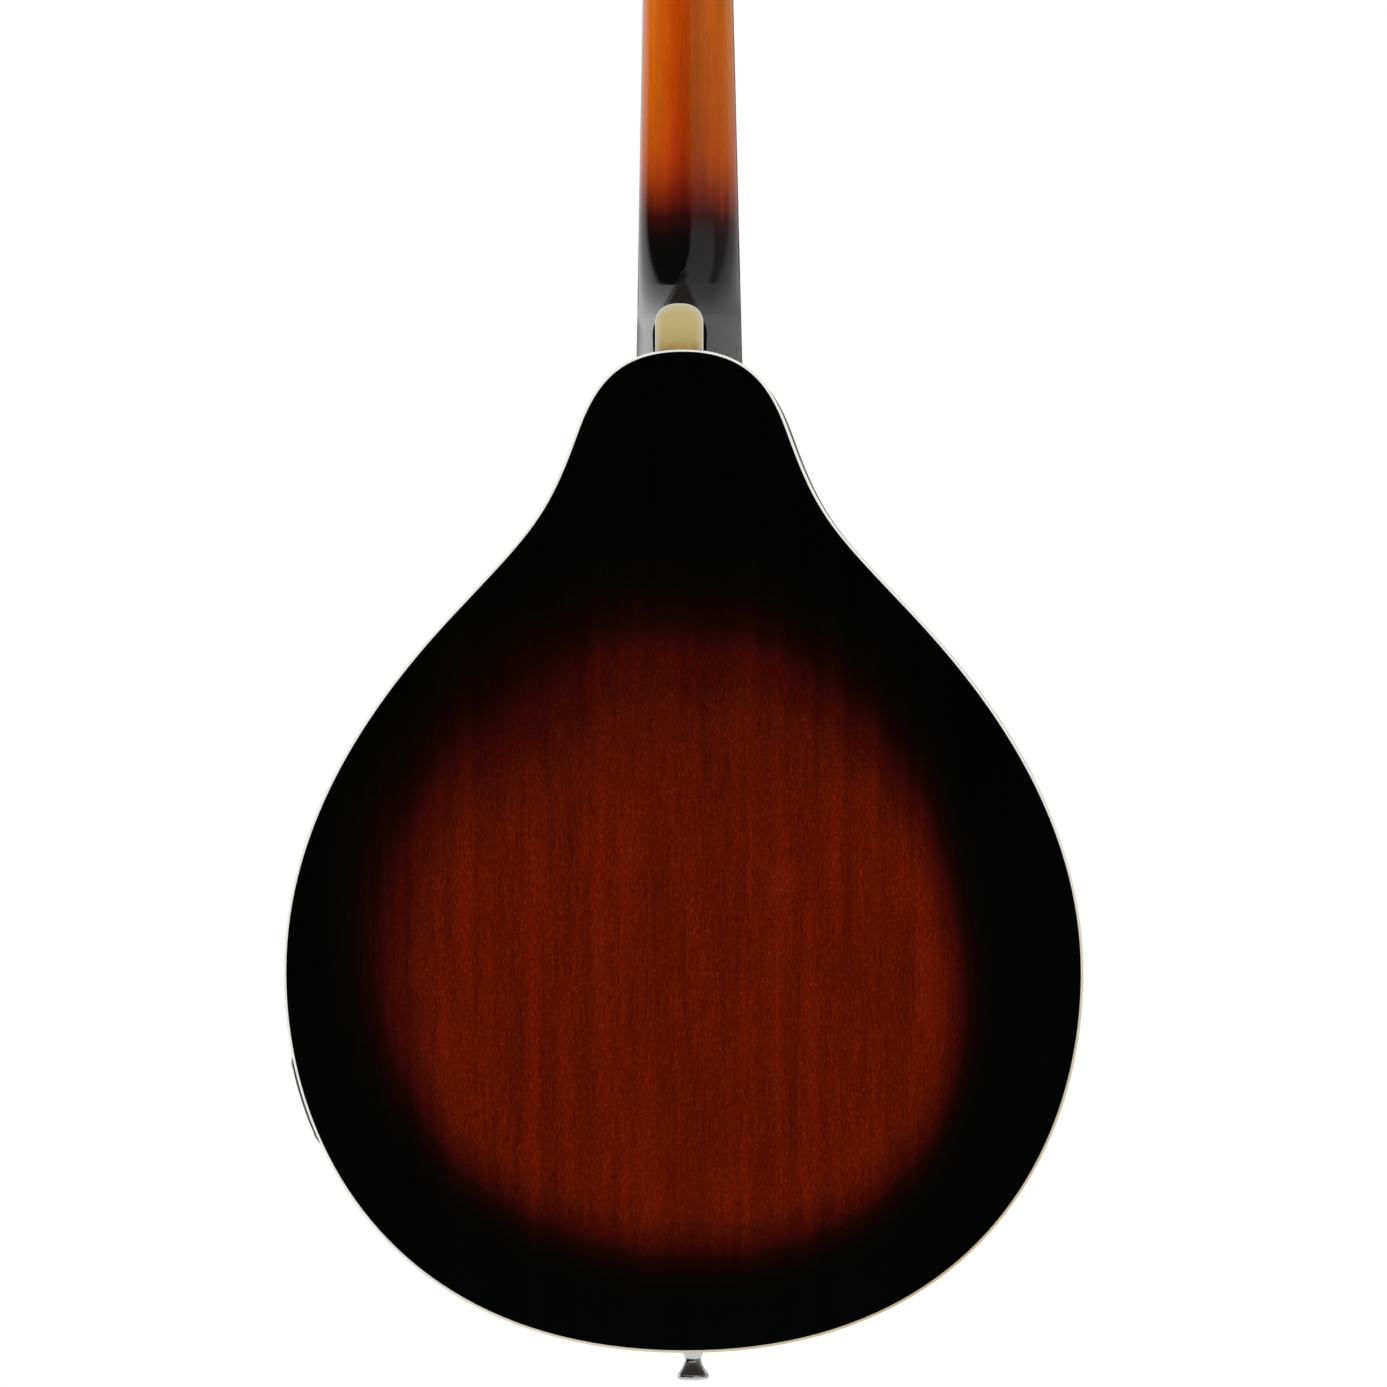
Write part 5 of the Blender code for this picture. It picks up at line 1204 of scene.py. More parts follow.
@dataclass(frozen=True)
class TopBurst(Finish):
    """Spruce top with an amber centre that goes through brown to black."""

    slot: Slot = Slot.BURST_SPRUCE
    centre: Flat = (0.0, 168.0)
    stretch: float = 0.86
    start: float = 42.0
    end: float = 128.0
    line: float = 1.15
    lacquer: Lacquer = Lacquer(roughness=0.08)

    def paint(self, board: Board) -> None:
        """Burst over straight, even spruce lines.

        Args:
            board: the node board of the material.
        """
        x, y, z = board.parts(board.place())
        across, up = x - self.centre[0], (z - self.centre[1]) * self.stretch
        wander = board.noise((30.0, 30.0, 160.0), 2.0, 0.5)
        reach = board.maths("SQRT", across * across + up * up) + (wander - 0.5) * 14
        share = board.span(reach, self.start, self.end, smooth=False)
        tone = board.ramp(share, (
            (0.0, srgb(214, 128, 38)), (0.30, srgb(190, 92, 22)), (0.52, srgb(126, 46, 12)),
            (0.72, srgb(58, 18, 6)), (0.88, srgb(14, 6, 4)), (1.0, srgb(3, 2, 2))))
        lines = board.maths("SINE", (x + (wander - 0.5) * 3.0) * (FULL_TURN / self.line))
        fibres = board.noise((0.5, 0.5, 18.0), 2.0, 0.6)
        light = 1 + lines * 0.10 + (fibres - 0.5) * 0.30 + (wander - 0.5) * 0.24
        wood = board.scaled(tone, light)
        raw = board.scaled(board.mix(lines * 0.5 + 0.5, srgb(206, 170, 118), srgb(226, 196, 146)),
                           fibres + 0.5)
        inner = board.span(y, -SHELL.depth / MM + SHELL.top / MM * 0.5,
                           -SHELL.depth / MM + SHELL.top / MM * 0.8)
        board.surface({"Base Color": board.mix(inner, wood, raw),
                       "Roughness": self.lacquer.roughness + inner * 0.5,
                       "Normal": board.bump(lines + fibres, 0.04, 0.05 * MM), **self.lacquer.sockets()})


@dataclass(frozen=True)
class NeckLacquer(Finish):
    """Orange-brown mahogany neck that goes to black at the heel and into the headstock."""

    slot: Slot = Slot.ORANGE_MAHOGANY
    half: float = 16.0
    fade: Flat = (378.0, 84.0)
    slant: float = 0.07
    cap_top: float = 361.5
    head_start: float = 521.0
    head_soft: float = 24.0
    lacquer: Lacquer = Lacquer(roughness=0.08)
    # across: the neck's orange with painted shade darker along the middle, painted light towards both flanks,
    # and a faint painted reflection in the bluer end stops.
    across: tuple[tuple[float, Colour], ...] = (
        (0.047, srgb(190, 98, 22)), (0.11, srgb(190, 88, 2)), (0.24, srgb(188, 86, 2)),
        (0.31, srgb(179, 81, 1)), (0.37, srgb(170, 72, 1)), (0.455, srgb(168, 72, 1)),
        (0.49, srgb(174, 60, 1)), (0.565, srgb(177, 61, 1)), (0.63, srgb(191, 66, 1)),
        (0.69, srgb(204, 79, 1)), (0.76, srgb(206, 88, 4)), (0.89, srgb(224, 106, 14)),
        (0.953, srgb(222, 106, 20)))
    lit: tuple[tuple[float, Colour], ...] = (
        (0.02, (0.0, 0.0, 0.0)), (0.10, (0.006, 0.001, 0.001)), (0.18, (0.062, 0.013, 0.013)),
        (0.264, (0.33, 0.15, 0.10)), (0.346, (0.61, 0.40, 0.30)), (0.43, (0.80, 0.62, 0.50)),
        (0.512, (0.87, 0.74, 0.65)), (0.68, (0.93, 0.92, 0.90)), (0.80, (0.98, 0.98, 1.0)),
        (1.0, (1.05, 1.12, 1.1)))

    def paint(self, board: Board) -> None:
        """Tones across the neck with painted shade and light, vertical figure, and two fades along the neck.

        Args:
            board: the node board of the material.
        """
        figure = Figure(streak_width=4.0, streak_length=160.0, fine_width=0.7, fine_length=22.0)
        x, _, z = board.parts(board.place())
        streaks, fibres, ribbon = figure.streaks(board), figure.fibres(board), figure.ribbon(board)
        # Painted shade and light across the neck, from the across ramp.
        wood = board.ramp((x + self.half) / (2 * self.half), self.across)
        light = 1 + (streaks - 0.5) * 0.44 + (fibres - 0.5) * 0.44 + (ribbon - 0.5) * 0.30
        wood = board.scaled(wood, light * (1 - figure.pores(board) * 0.30))
        wander = (streaks - 0.5) * 7
        lit = board.ramp((z - x * self.slant + wander - self.fade[0]) / self.fade[1], self.lit)
        head = board.span(z + wander, self.head_start, self.head_start + self.head_soft, 1.0, 0.0)
        tone = board.vector("MULTIPLY", wood, board.scaled(lit, head))
        dark = board.scaled(board.vector("SUBTRACT", (1.0, 1.0, 1.0), lit), 0.003)
        above_cap = board.maths("MAXIMUM", z - self.cap_top, 0.0)
        nook = board.span(abs(x - NECK.lean / MM) + above_cap * 0.55, 5.2, 6.8, 1.0, 0.0)
        board.surface({"Base Color": board.vector("ADD", tone, dark),
                       "Roughness": self.lacquer.roughness + fibres * 0.03 + nook * 0.42,
                       "Normal": board.bump(fibres + streaks, 0.05, 0.05 * MM), **self.lacquer.sockets()})


@dataclass(frozen=True)
class Ivory(Finish):
    """Aged ivory plastic with faint layers, painted light on the bindings: paler towards the treble side and
    the neck.
    """

    slot: Slot = Slot.CREAM
    # light is the pale painted-light tone and aged the plastic's own warmer cream; turn sets how the painted
    # light fades across and up the body.
    light: Colour = srgb(248, 247, 240)
    aged: Colour = srgb(206, 188, 154)
    turn: Flat = (-0.004, -0.0055)
    centre: float = 0.75
    layer: Point = (40.0, 1.2, 40.0)
    roughness: float = 0.24

    def paint(self, board: Board) -> None:
        """Two tones mixed by place, on the bindings as painted light, with layers and tiny scratches.

        Args:
            board: the node board of the material.
        """
        x, _, z = board.parts(board.place())
        cloud = board.noise((35.0, 35.0, 35.0), 2.0, 0.5)
        layers = board.noise(self.layer, 2.0, 0.6)
        specks = board.noise((0.7, 0.7, 0.7), 1.0, 0.5)
        # Painted light: the share falls towards the treble side and the neck, so the binding turns paler
        # there.
        share = x * self.turn[0] + z * self.turn[1] + self.centre + (cloud - 0.5) * 0.5
        tone = board.mix(board.span(share, 0.0, 1.0, smooth=False), self.light, self.aged)
        light = 1 + (layers - 0.5) * 0.14 + (specks - 0.5) * 0.05
        board.surface({"Base Color": board.scaled(tone, light),
                       "Roughness": self.roughness + specks * 0.10 - 0.05,
                       "Normal": board.bump(specks + layers, 0.06, 0.03 * MM), "IOR": 1.5})


@dataclass(frozen=True)
class CapIvory(Finish):
    """The heel cap's ivory plate: browner low down, with soft streaks and a painted highlight at its edge."""

    slot: Slot = Slot.CREAM
    low: float = 345.0
    high: float = 361.0
    spring: float = 353.9
    # edge and rim are painted highlight colours: edge for the paler band towards the outline, rim for the
    # bright bevel.
    edge: Colour = srgb(209, 204, 184)
    rim: Colour = srgb(236, 232, 218)
    roughness: float = 0.16

    def paint(self, board: Board) -> None:
        """A vertical change of tone, faint streaks, and a painted highlight paler towards the bevelled rim.

        Args:
            board: the node board of the material.
        """
        x, _, z = board.parts(board.place())
        streaks = board.noise((2.2, 2.2, 30.0), 3.0, 0.55)
        cloud = board.noise((7.0, 7.0, 7.0), 2.0, 0.5)
        share = (z - self.low) / (self.high - self.low) + (cloud - 0.5) * 0.4
        tone = board.ramp(share, ((0.0, srgb(156, 130, 80)), (0.22, srgb(188, 165, 107)),
                                  (0.6, srgb(198, 179, 121)), (1.0, srgb(203, 188, 135))))
        power = 2 / NECK.cap_square
        across = abs(x - NECK.lean / MM) / (NECK.cap_half / MM)
        above = board.maths("MAXIMUM", (z - self.spring) / (NECK.cap_arch / MM), 0.0)
        out = across ** power + above ** power
        # Painted highlight: paler towards the cap's outline, brightest on the bevel.
        tone = board.mix(board.span(out, 0.25, 1.0) * 0.75, tone, self.edge)
        tone = board.mix(board.span(out, 0.84, 0.92), tone, self.rim)
        light = 1 + (streaks - 0.5) * 0.08
        board.surface({"Base Color": board.scaled(tone, light), "Roughness": self.roughness + cloud * 0.06,
                       "Normal": board.bump(streaks, 0.05, 0.03 * MM), "IOR": 1.5})


@dataclass(frozen=True)
class Rosewood(Finish):
    """Dark rosewood with black lines and open pores."""

    slot: Slot = Slot.ROSEWOOD
    grain: Point = (1.1, 1.1, 60.0)
    pore: Point = (0.28, 0.28, 5.0)
    roughness: float = 0.42

    def paint(self, board: Board) -> None:
        """Streaks between brown and near black with pores pressed in.

        Args:
            board: the node board of the material.
        """
        lines = board.noise(self.grain, 4.0, 0.62, 0.35)
        pores = board.span(board.noise(self.pore, 1.0, 0.5), 0.60, 0.70)
        tone = board.ramp(lines, ((0.2, srgb(20, 11, 8)), (0.45, srgb(52, 28, 19)), (0.62, srgb(74, 40, 26)),
                                  (0.85, srgb(34, 18, 13))))
        board.surface({"Base Color": board.scaled(tone, 1 - pores * 0.55),
                       "Roughness": self.roughness + pores * 0.2,
                       "Normal": board.bump(lines * 0.3 - pores, 0.25, 0.06 * MM), "IOR": 1.48})


@dataclass(frozen=True)
class BlackLacquer(Finish):
    """Gloss black lacquer over wood, with the faintest polish marks."""

    slot: Slot = Slot.BLACK_LACQUER
    roughness: float = 0.06

    def paint(self, board: Board) -> None:
        """Near black with a slow change of gloss.

        Args:
            board: the node board of the material.
        """
        cloud = board.noise((22.0, 22.0, 22.0), 3.0, 0.5)
        fine = board.noise((0.8, 0.8, 16.0), 2.0, 0.5)
        tone = board.mix(cloud, srgb(3, 3, 3), srgb(9, 8, 8))
        board.surface({"Base Color": tone, "Roughness": self.roughness + cloud * 0.05,
                       "Normal": board.bump(fine, 0.03, 0.04 * MM), "IOR": 1.5})


@dataclass(frozen=True)
class BareWood(Finish):
    """Unfinished wood inside the body."""

    slot: Slot = Slot.BARE_SPRUCE
    dark: Colour = srgb(196, 160, 108)
    light: Colour = srgb(226, 198, 150)
    grain: Point = (1.1, 1.1, 70.0)
    roughness: float = 0.62

    def paint(self, board: Board) -> None:
        """Two tones along the grain with a felt of fibres.

        Args:
            board: the node board of the material.
        """
        lines = board.noise(self.grain, 3.0, 0.55)
        fuzz = board.noise(tuple(part / 3 for part in self.grain), 2.0, 0.6)
        tone = board.mix(board.span(lines, 0.3, 0.7), self.dark, self.light)
        board.surface({"Base Color": board.scaled(tone, 0.86 + fuzz * 0.28),
                       "Roughness": self.roughness + fuzz * 0.12,
                       "Normal": board.bump(lines + fuzz, 0.35, 0.08 * MM), "IOR": 1.45})


@dataclass(frozen=True)
class Bone(Finish):
    """Polished bone with faint flecks."""

    slot: Slot = Slot.BONE
    roughness: float = 0.30

    def paint(self, board: Board) -> None:
        """Warm white with short grey flecks.

        Args:
            board: the node board of the material.
        """
        flecks = board.span(board.noise((2.5, 0.3, 0.3), 2.0, 0.5), 0.55, 0.75)
        cloud = board.noise((9.0, 9.0, 9.0), 2.0, 0.5)
        tone = board.mix(cloud, srgb(232, 222, 196), srgb(214, 200, 166))
        board.surface({"Base Color": board.scaled(tone, 1 - flecks * 0.16),
                       "Roughness": self.roughness + flecks * 0.15,
                       "Normal": board.bump(flecks, 0.08, 0.03 * MM), "IOR": 1.52})


@dataclass(frozen=True)
class Metal(Finish):
    """A polished or brushed metal with a thin haze and wear."""

    slot: Slot = Slot.CHROME
    colour: Colour = srgb(226, 227, 230)
    worn: Colour = srgb(204, 203, 204)
    roughness: float = 0.06
    haze: float = 0.07
    brush: Point = (6.0, 6.0, 6.0)

    def paint(self, board: Board) -> None:
        """Clouds of haze over a mirror, with fine polish marks.

        Args:
            board: the node board of the material.
        """
        cloud = board.noise((7.0, 7.0, 7.0), 3.0, 0.55)
        marks = board.noise(self.brush, 2.0, 0.6)
        board.surface({"Base Color": board.mix(cloud, self.colour, self.worn), "Metallic": 1.0,
                       "Roughness": self.roughness + cloud * self.haze,
                       "Normal": board.bump(marks, 0.03, 0.03 * MM)})


@dataclass(frozen=True)
class WoundWire(Finish):
    """A string's metal: bright plain steel, or a core wound with fine wire."""

    slot: Slot = Slot.BRONZE_STRING
    colour: Colour = srgb(206, 158, 96)
    dark: Colour = srgb(128, 86, 44)
    pitch: float = 0.34
    depth: float = 0.09

    def paint(self, board: Board) -> None:
        """Ridges along the string, darker between the turns.

        Args:
            board: the node board of the material.
        """
        _, _, z = board.parts(board.place())
        cloud = board.noise((4.0, 4.0, 9.0), 2.0, 0.5)
        ridge = board.maths("SINE", z * (FULL_TURN / self.pitch)) * 0.5 + 0.5
        board.surface({"Base Color": board.mix(ridge * 0.7 + cloud * 0.3, self.dark, self.colour),
                       "Metallic": 1.0, "Roughness": 0.30 - ridge * 0.08 + cloud * 0.08,
                       "Normal": board.bump(ridge, 0.5, self.depth * MM)})


@dataclass(frozen=True)
class Plastic(Finish):
    """Black moulded plastic with a fine grain."""

    slot: Slot = Slot.BLACK_PLASTIC
    roughness: float = 0.30
    tone: Colour = srgb(15, 15, 16)
    pale: Colour = srgb(30, 29, 29)

    def paint(self, board: Board) -> None:
        """Near black with fine grain and slight wear.

        Args:
            board: the node board of the material.
        """
        grain = board.noise((0.35, 0.35, 0.35), 2.0, 0.5)
        wear = board.noise((6.0, 6.0, 6.0), 3.0, 0.6)
        board.surface({"Base Color": board.mix(wear, self.tone, self.pale),
                       "Roughness": self.roughness + wear * 0.12,
                       "Normal": board.bump(grain, 0.12, 0.05 * MM), "IOR": 1.5})


@dataclass(frozen=True)
class Pearl(Finish):
    """Mother of pearl for the position dots."""

    slot: Slot = Slot.BONE
    roughness: float = 0.16

    def paint(self, board: Board) -> None:
        """Soft bands of pale green, rose and grey.

        Args:
            board: the node board of the material.
        """
        bands = board.noise((3.0, 3.0, 5.5), 3.0, 0.6, 1.6)
        tone = board.ramp(bands, ((0.25, srgb(196, 206, 202)), (0.42, srgb(232, 230, 222)),
                                  (0.55, srgb(214, 200, 204)), (0.7, srgb(206, 220, 210)),
                                  (0.9, srgb(238, 236, 230))))
        board.surface({"Base Color": tone, "Roughness": self.roughness + bands * 0.1,
                       "Normal": board.bump(bands, 0.05, 0.04 * MM), "IOR": 1.6})


CHROME = Metal()
NICKEL = Metal(Slot.NICKEL, srgb(196, 190, 180), srgb(160, 154, 146), 0.16, 0.12, (0.5, 0.5, 7.0))
BRASS = Metal(Slot.BRASS, srgb(206, 164, 84), srgb(160, 118, 52), 0.20, 0.14)
STEEL = Metal(Slot.STEEL_STRING, srgb(206, 206, 208), srgb(176, 176, 180), 0.20, 0.08)
FRET_WIRE = Metal(Slot.NICKEL, srgb(210, 206, 198), srgb(178, 174, 168), 0.14, 0.10, (7.0, 0.3, 0.3))
BRONZE = WoundWire()
BINDING_IVORY = Ivory()
BUTTON_IVORY = Ivory(Slot.CREAM, srgb(228, 216, 184), srgb(200, 178, 130), (0.0, 0.0), 0.45,
                     (1.5, 6.0, 6.0), 0.18)
INNER_SPRUCE = BareWood()
CROSS_SPRUCE = BareWood(grain=(70.0, 1.1, 1.1))
INNER_MAHOGANY = BareWood(Slot.BARE_MAHOGANY, srgb(118, 70, 44), srgb(158, 102, 66), (1.0, 1.0, 40.0))
CROSS_ROSEWOOD = Rosewood(grain=(60.0, 1.1, 1.1), pore=(5.0, 0.28, 0.28), roughness=0.34)
JACKET = Plastic(roughness=0.45, tone=srgb(24, 24, 25), pale=srgb(44, 43, 42))
GLOSS_PLASTIC = Plastic(roughness=0.16, tone=srgb(9, 9, 10), pale=srgb(18, 18, 18))


# Putting pieces in the scene


class Workshop:
    """Puts finished pieces on the bodies that carry them and reports each one."""

    def __init__(self) -> None:
        """Start with an empty bench."""
        self.pieces = 0

    def add(self, name: str, mesh: Mesh, finish: Finish, body: str = "root",
            stands_for: Sequence[str] = (), angle: float = 40.0,
            bend: tuple[str, Point, Point] | None = None) -> bpy.types.Object:
        """Put one piece in the scene.

        Args:
            name: the piece's name.
            mesh: its mesh in world coordinates.
            finish: what its surface is.
            body: the body that carries it.
            stands_for: the solids that it replaces.
            angle: edges sharper than this many degrees stay sharp.
            bend: a second body, and where a bend would start and end; the piece is not bent, only whether
                this is given is used: then it stays in world coordinates and no body carries it.

        Returns:
            The new object.
        """
        mesh.materials.clear()
        mesh.materials.append(finish.material())
        mesh.polygons.foreach_set("material_index", [0] * len(mesh.polygons))
        mesh.polygons.foreach_set("use_smooth", [True] * len(mesh.polygons))
        mesh.set_sharp_from_angle(angle=math.radians(angle))
        mesh = with_modifier(mesh, "WEIGHTED_NORMAL", {"keep_sharp": True, "weight": 50})
        thing = bpy.data.objects.new(name, mesh)
        bpy.context.scene.collection.objects.link(thing)
        if bend is None:
            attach(thing, body)
        else:
            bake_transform(thing)
        if stands_for:
            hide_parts(*stands_for)
        self.pieces += 1
        LOG.info("%-26s %6d faces on %s", name, len(mesh.polygons), body)
        return thing

    def dress(self, node: str, finish: Finish) -> None:
        """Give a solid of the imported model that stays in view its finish.

        Args:
            node: the solid's name.
            finish: what its surface is.
        """
        solid = frame["nodes"][node]
        if not solid.material_slots:
            solid.data.materials.append(finish.material())
        for place in solid.material_slots:
            place.material = finish.material()
        LOG.info("%-26s dressed as %s", node, finish.slot.value)


# Sub-assemblies


def box_of(node: str) -> tuple[Vector, Vector]:
    """A solid's lowest and highest corners in the body frame."""
    low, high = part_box(node)
    return low - FRAMES.origin, high - FRAMES.origin


def band(profile: Sequence[Flat]) -> Mesh:
    """A strip run round the whole body outline, from a closed profile of (inset, y) points."""
    return layered(OUTLINE.closed, profile, Ends.LOOPED)


@dataclass
class Back:
    """Flat back plate with its binding and the two braces under it."""

    shop: Workshop
    edge: float = 0.12 * MM
    rounding: float = 0.55 * MM
    reveal: float = 0.05 * MM
    shown: float = 0.85 * MM
    ledge: float = 0.2 * MM
    arc_steps: int = 6

    def binding_profile(self, outward: float, shown: float) -> list[Flat]:
        """A binding's section, rounded outside and rabbeted inside what shows of it.

        Args:
            outward: 1 for the binding at the back, -1 for the one at the top.
            shown: how wide it shows on the face.

        Returns:
            Closed (inset, y) points.
        """
        face = 0.0 if outward > 0 else -SHELL.depth
        foot = face - outward * SHELL.binding_depth
        points = [(SHELL.binding_width, foot), (0.0, foot)]
        for a in angles(QUARTER, self.arc_steps):
            points.append((self.rounding * (1 - math.cos(a)),
                           face - outward * self.rounding * (1 - math.sin(a))))
        points += [(shown - self.reveal, face), (shown, face - outward * self.reveal)]
        if shown < SHELL.binding_width:
            points += [(shown, face - outward * self.ledge),
                       (SHELL.binding_width, face - outward * self.ledge)]
        return points

    def plate(self) -> Mesh:
        """The plate, let into the binding's rabbet with its outer edge eased.

        Returns:
            The mesh.
        """
        inner, outer = SHELL.binding_width + SEAM, self.shown + SEAM
        lip = SEAM - self.ledge
        rows = ((inner, -SHELL.back), (inner, lip), (outer, lip), (outer, -self.edge * 0.5),
                (outer + self.edge, 0.0))
        return placed(layered(OUTLINE.closed, rows), FRAMES.body)

    def build(self) -> None:
        """Build the back and dress what is under it."""
        self.shop.add("back_plate_sunburst", self.plate(), BackBurst(), stands_for=["back_plate"], angle=50)
        ring = placed(band(self.binding_profile(1, self.shown)), FRAMES.body)
        self.shop.add("back_binding_strip", ring, BINDING_IVORY, stands_for=["back_binding"], angle=30)
        for node in ("upper_back_brace", "lower_back_brace"):
            self.shop.dress(node, CROSS_SPRUCE)


@dataclass
class Sides:
    """The two bent sides, rabbeted for the bindings."""

    shop: Workshop
    tenon_half: float = 7.3 * MM

    def run(self, inset: float) -> list[Flat]:
        """The treble side's line at an inset, from the tail joint to the neck's tenon.

        Args:
            inset: how far inside the outer edge the line runs.

        Returns:
            The (x, z) points of the line.
        """
        half = OUTLINE.half()
        last = max(k for k, (x, _) in enumerate(half) if x > self.tenon_half)
        line = OUTLINE.treble(inset)
        return [(SEAM, line[0][1])] + line[1:last + 1] + [(self.tenon_half, line[last + 1][1])]

    def shell(self) -> Mesh:
        """The treble side as a solid strip.

        Returns:
            The mesh.
        """
        back, depth, rabbet = SHELL.back + SEAM, SHELL.depth, SHELL.binding_depth + SEAM
        inner = SHELL.binding_width + SEAM
        profile = [(0, -rabbet), (inner, -rabbet), (inner, -back), (SHELL.side, -back),
                   (SHELL.side, back - depth), (inner, back - depth), (inner, rabbet - depth),
                   (0, rabbet - depth)]
        lines = [self.run(inset) for inset, _ in profile]
        return skin([[(line[k][0], y, line[k][1]) for line, (_, y) in zip(lines, profile)]
                     for k in range(len(lines[0]))])

    def build(self) -> None:
        """Cut the side's holes and build its mirror image."""
        treble = self.shell()
        bass = self.shell()
        place, normal = OUTLINE.rim(RIM.jack_height)
        place = place + Vector((0, -RIM.depth, 0))
        treble = cut(treble, rod(RIM.barrel + AIR, place - normal * 8 * MM,
                                 place + normal * 5 * MM, 40))
        bass.transform(Matrix.Diagonal((-1, 1, 1, 1)))
        bass.flip_normals()
        hole = rod(RIM.screw_radius + AIR, (-RIM.screw_step, -RIM.depth, -5 * MM),
                   (-RIM.screw_step, -RIM.depth, 8 * MM), 24)
        bass = cut(bass, hole)
        finish = SideBurst()
        self.shop.add("bent_side_treble", placed(treble, FRAMES.body), finish,
                      stands_for=["side_treble"], angle=30)
        self.shop.add("bent_side_bass", placed(bass, FRAMES.body), finish, stands_for=["side_bass"], angle=30)


@dataclass
class Top:
    """Arched top plate with its sound holes and binding."""

    shop: Workshop
    back: Back
    rings: int = 34
    inner_share: float = 0.02
    flat_shares: Point = (0.93, 0.96, 1.0)
    hole_offset: float = 63.0 * MM
    hole_height: float = 190.0 * MM
    hole_length: float = 62.0 * MM
    hole_width: float = 6.6 * MM
    hole_lean: float = 7.0 * MM
    hole_sway: float = 3.2 * MM
    eyes: Flat = (4.8 * MM, 4.0 * MM)
    end_share: float = 0.35
    eye_step: float = 0.7
    nick: Flat = (2.6 * MM, 1.4 * MM)
    bushing: float = 4.8 * MM
    lead: Flat = (16.0 * MM, 2.1 * MM)

    def plate(self) -> Mesh:
        """The carved plate before its holes: equal thickness over a smooth arch.

        Returns:
            The mesh.
        """
        edge = OUTLINE.closed(SHELL.binding_width + SEAM)
        shares = [self.inner_share] + [SHELL.flat_from * k / self.rings for k in range(1, self.rings + 1)]
        shares += self.flat_shares
        rings = []
        for lift, order in ((0.0, shares), (SHELL.top, shares[::-1])):
            for share in order:
                y = lift - SHELL.depth - SHELL.at(share)
                rings.append([(x * share, y, SHELL.centre + (z - SHELL.centre) * share) for x, z in edge])
        return skin(rings)

    def through(self) -> Flat:
        """Where a cutter through the top starts and ends along Y."""
        return -(SHELL.depth + 2 * SHELL.rise), -(SHELL.depth - 2 * SHELL.top)

    def hole_tools(self, hand: Hand) -> list[Mesh]:
        """Cutters for one sound hole: its stem, both eyes and the two nicks at its middle.

        Args:
            hand: the side of the instrument.

        Returns:
            The cutters.
        """
        front, back = self.through()
        side, count = hand.value, 28
        left, right, line = [], [], []
        for k in range(count + 1):
            t = 2 * k / count - 1
            x = side * (self.hole_offset - self.hole_lean * t - self.hole_sway * math.sin(math.pi * t))
            z = self.hole_height + t * self.hole_length / 2
            width = self.hole_width * (self.end_share + (1 - self.end_share) * math.cos(t * QUARTER))
            left.append((x - width / 2, z))
            right.append((x + width / 2, z))
            line.append((x, z))
        tools = [prism(left + right[::-1], front, back)]
        for (x, z), radius, inward in ((line[-1], self.eyes[1], -1), (line[0], self.eyes[0], 1)):
            x += side * inward * radius * self.eye_step
            tools.append(rod(radius, (x, front, z), (x, back, z), 40))
        middle = self.hole_width / 2
        for way in (-1, 1):
            x, z = line[count // 2]
            root, tip = x + way * (middle - 0.5 * MM), x + way * (middle + self.nick[0] - 0.5 * MM)
            tools.append(prism([(root, z - self.nick[1]), (tip, z), (root, z + self.nick[1])], front, back))
        return tools

    def build(self) -> None:
        """Cut the plate's holes and build the binding round it."""
        front, back = self.through()
        tools = self.hole_tools(Hand.TREBLE) + self.hole_tools(Hand.BASS)
        tools += [rod(self.bushing, (x, front, z), (x, back, z), 32) for x, z in CONTROL_PLACES.values()]
        x, radius = self.lead
        tools.append(rod(radius, (x, front, PICKUP_PLACE), (x, back, PICKUP_PLACE), 20))
        plate = placed(cut(self.plate(), *tools), FRAMES.body)
        self.shop.add("arched_top_sunburst", plate, TopBurst(), stands_for=["top_plate"], angle=30)
        ring = placed(band(self.back.binding_profile(-1, SHELL.binding_width)), FRAMES.body)
        self.shop.add("top_binding_strip", ring, BINDING_IVORY, stands_for=["top_binding"], angle=30)
        self.shop.dress("top_brace", INNER_SPRUCE)
        for node in ("head_block", "tail_block", "back_lining", "top_lining"):
            self.shop.dress(node, INNER_MAHOGANY)


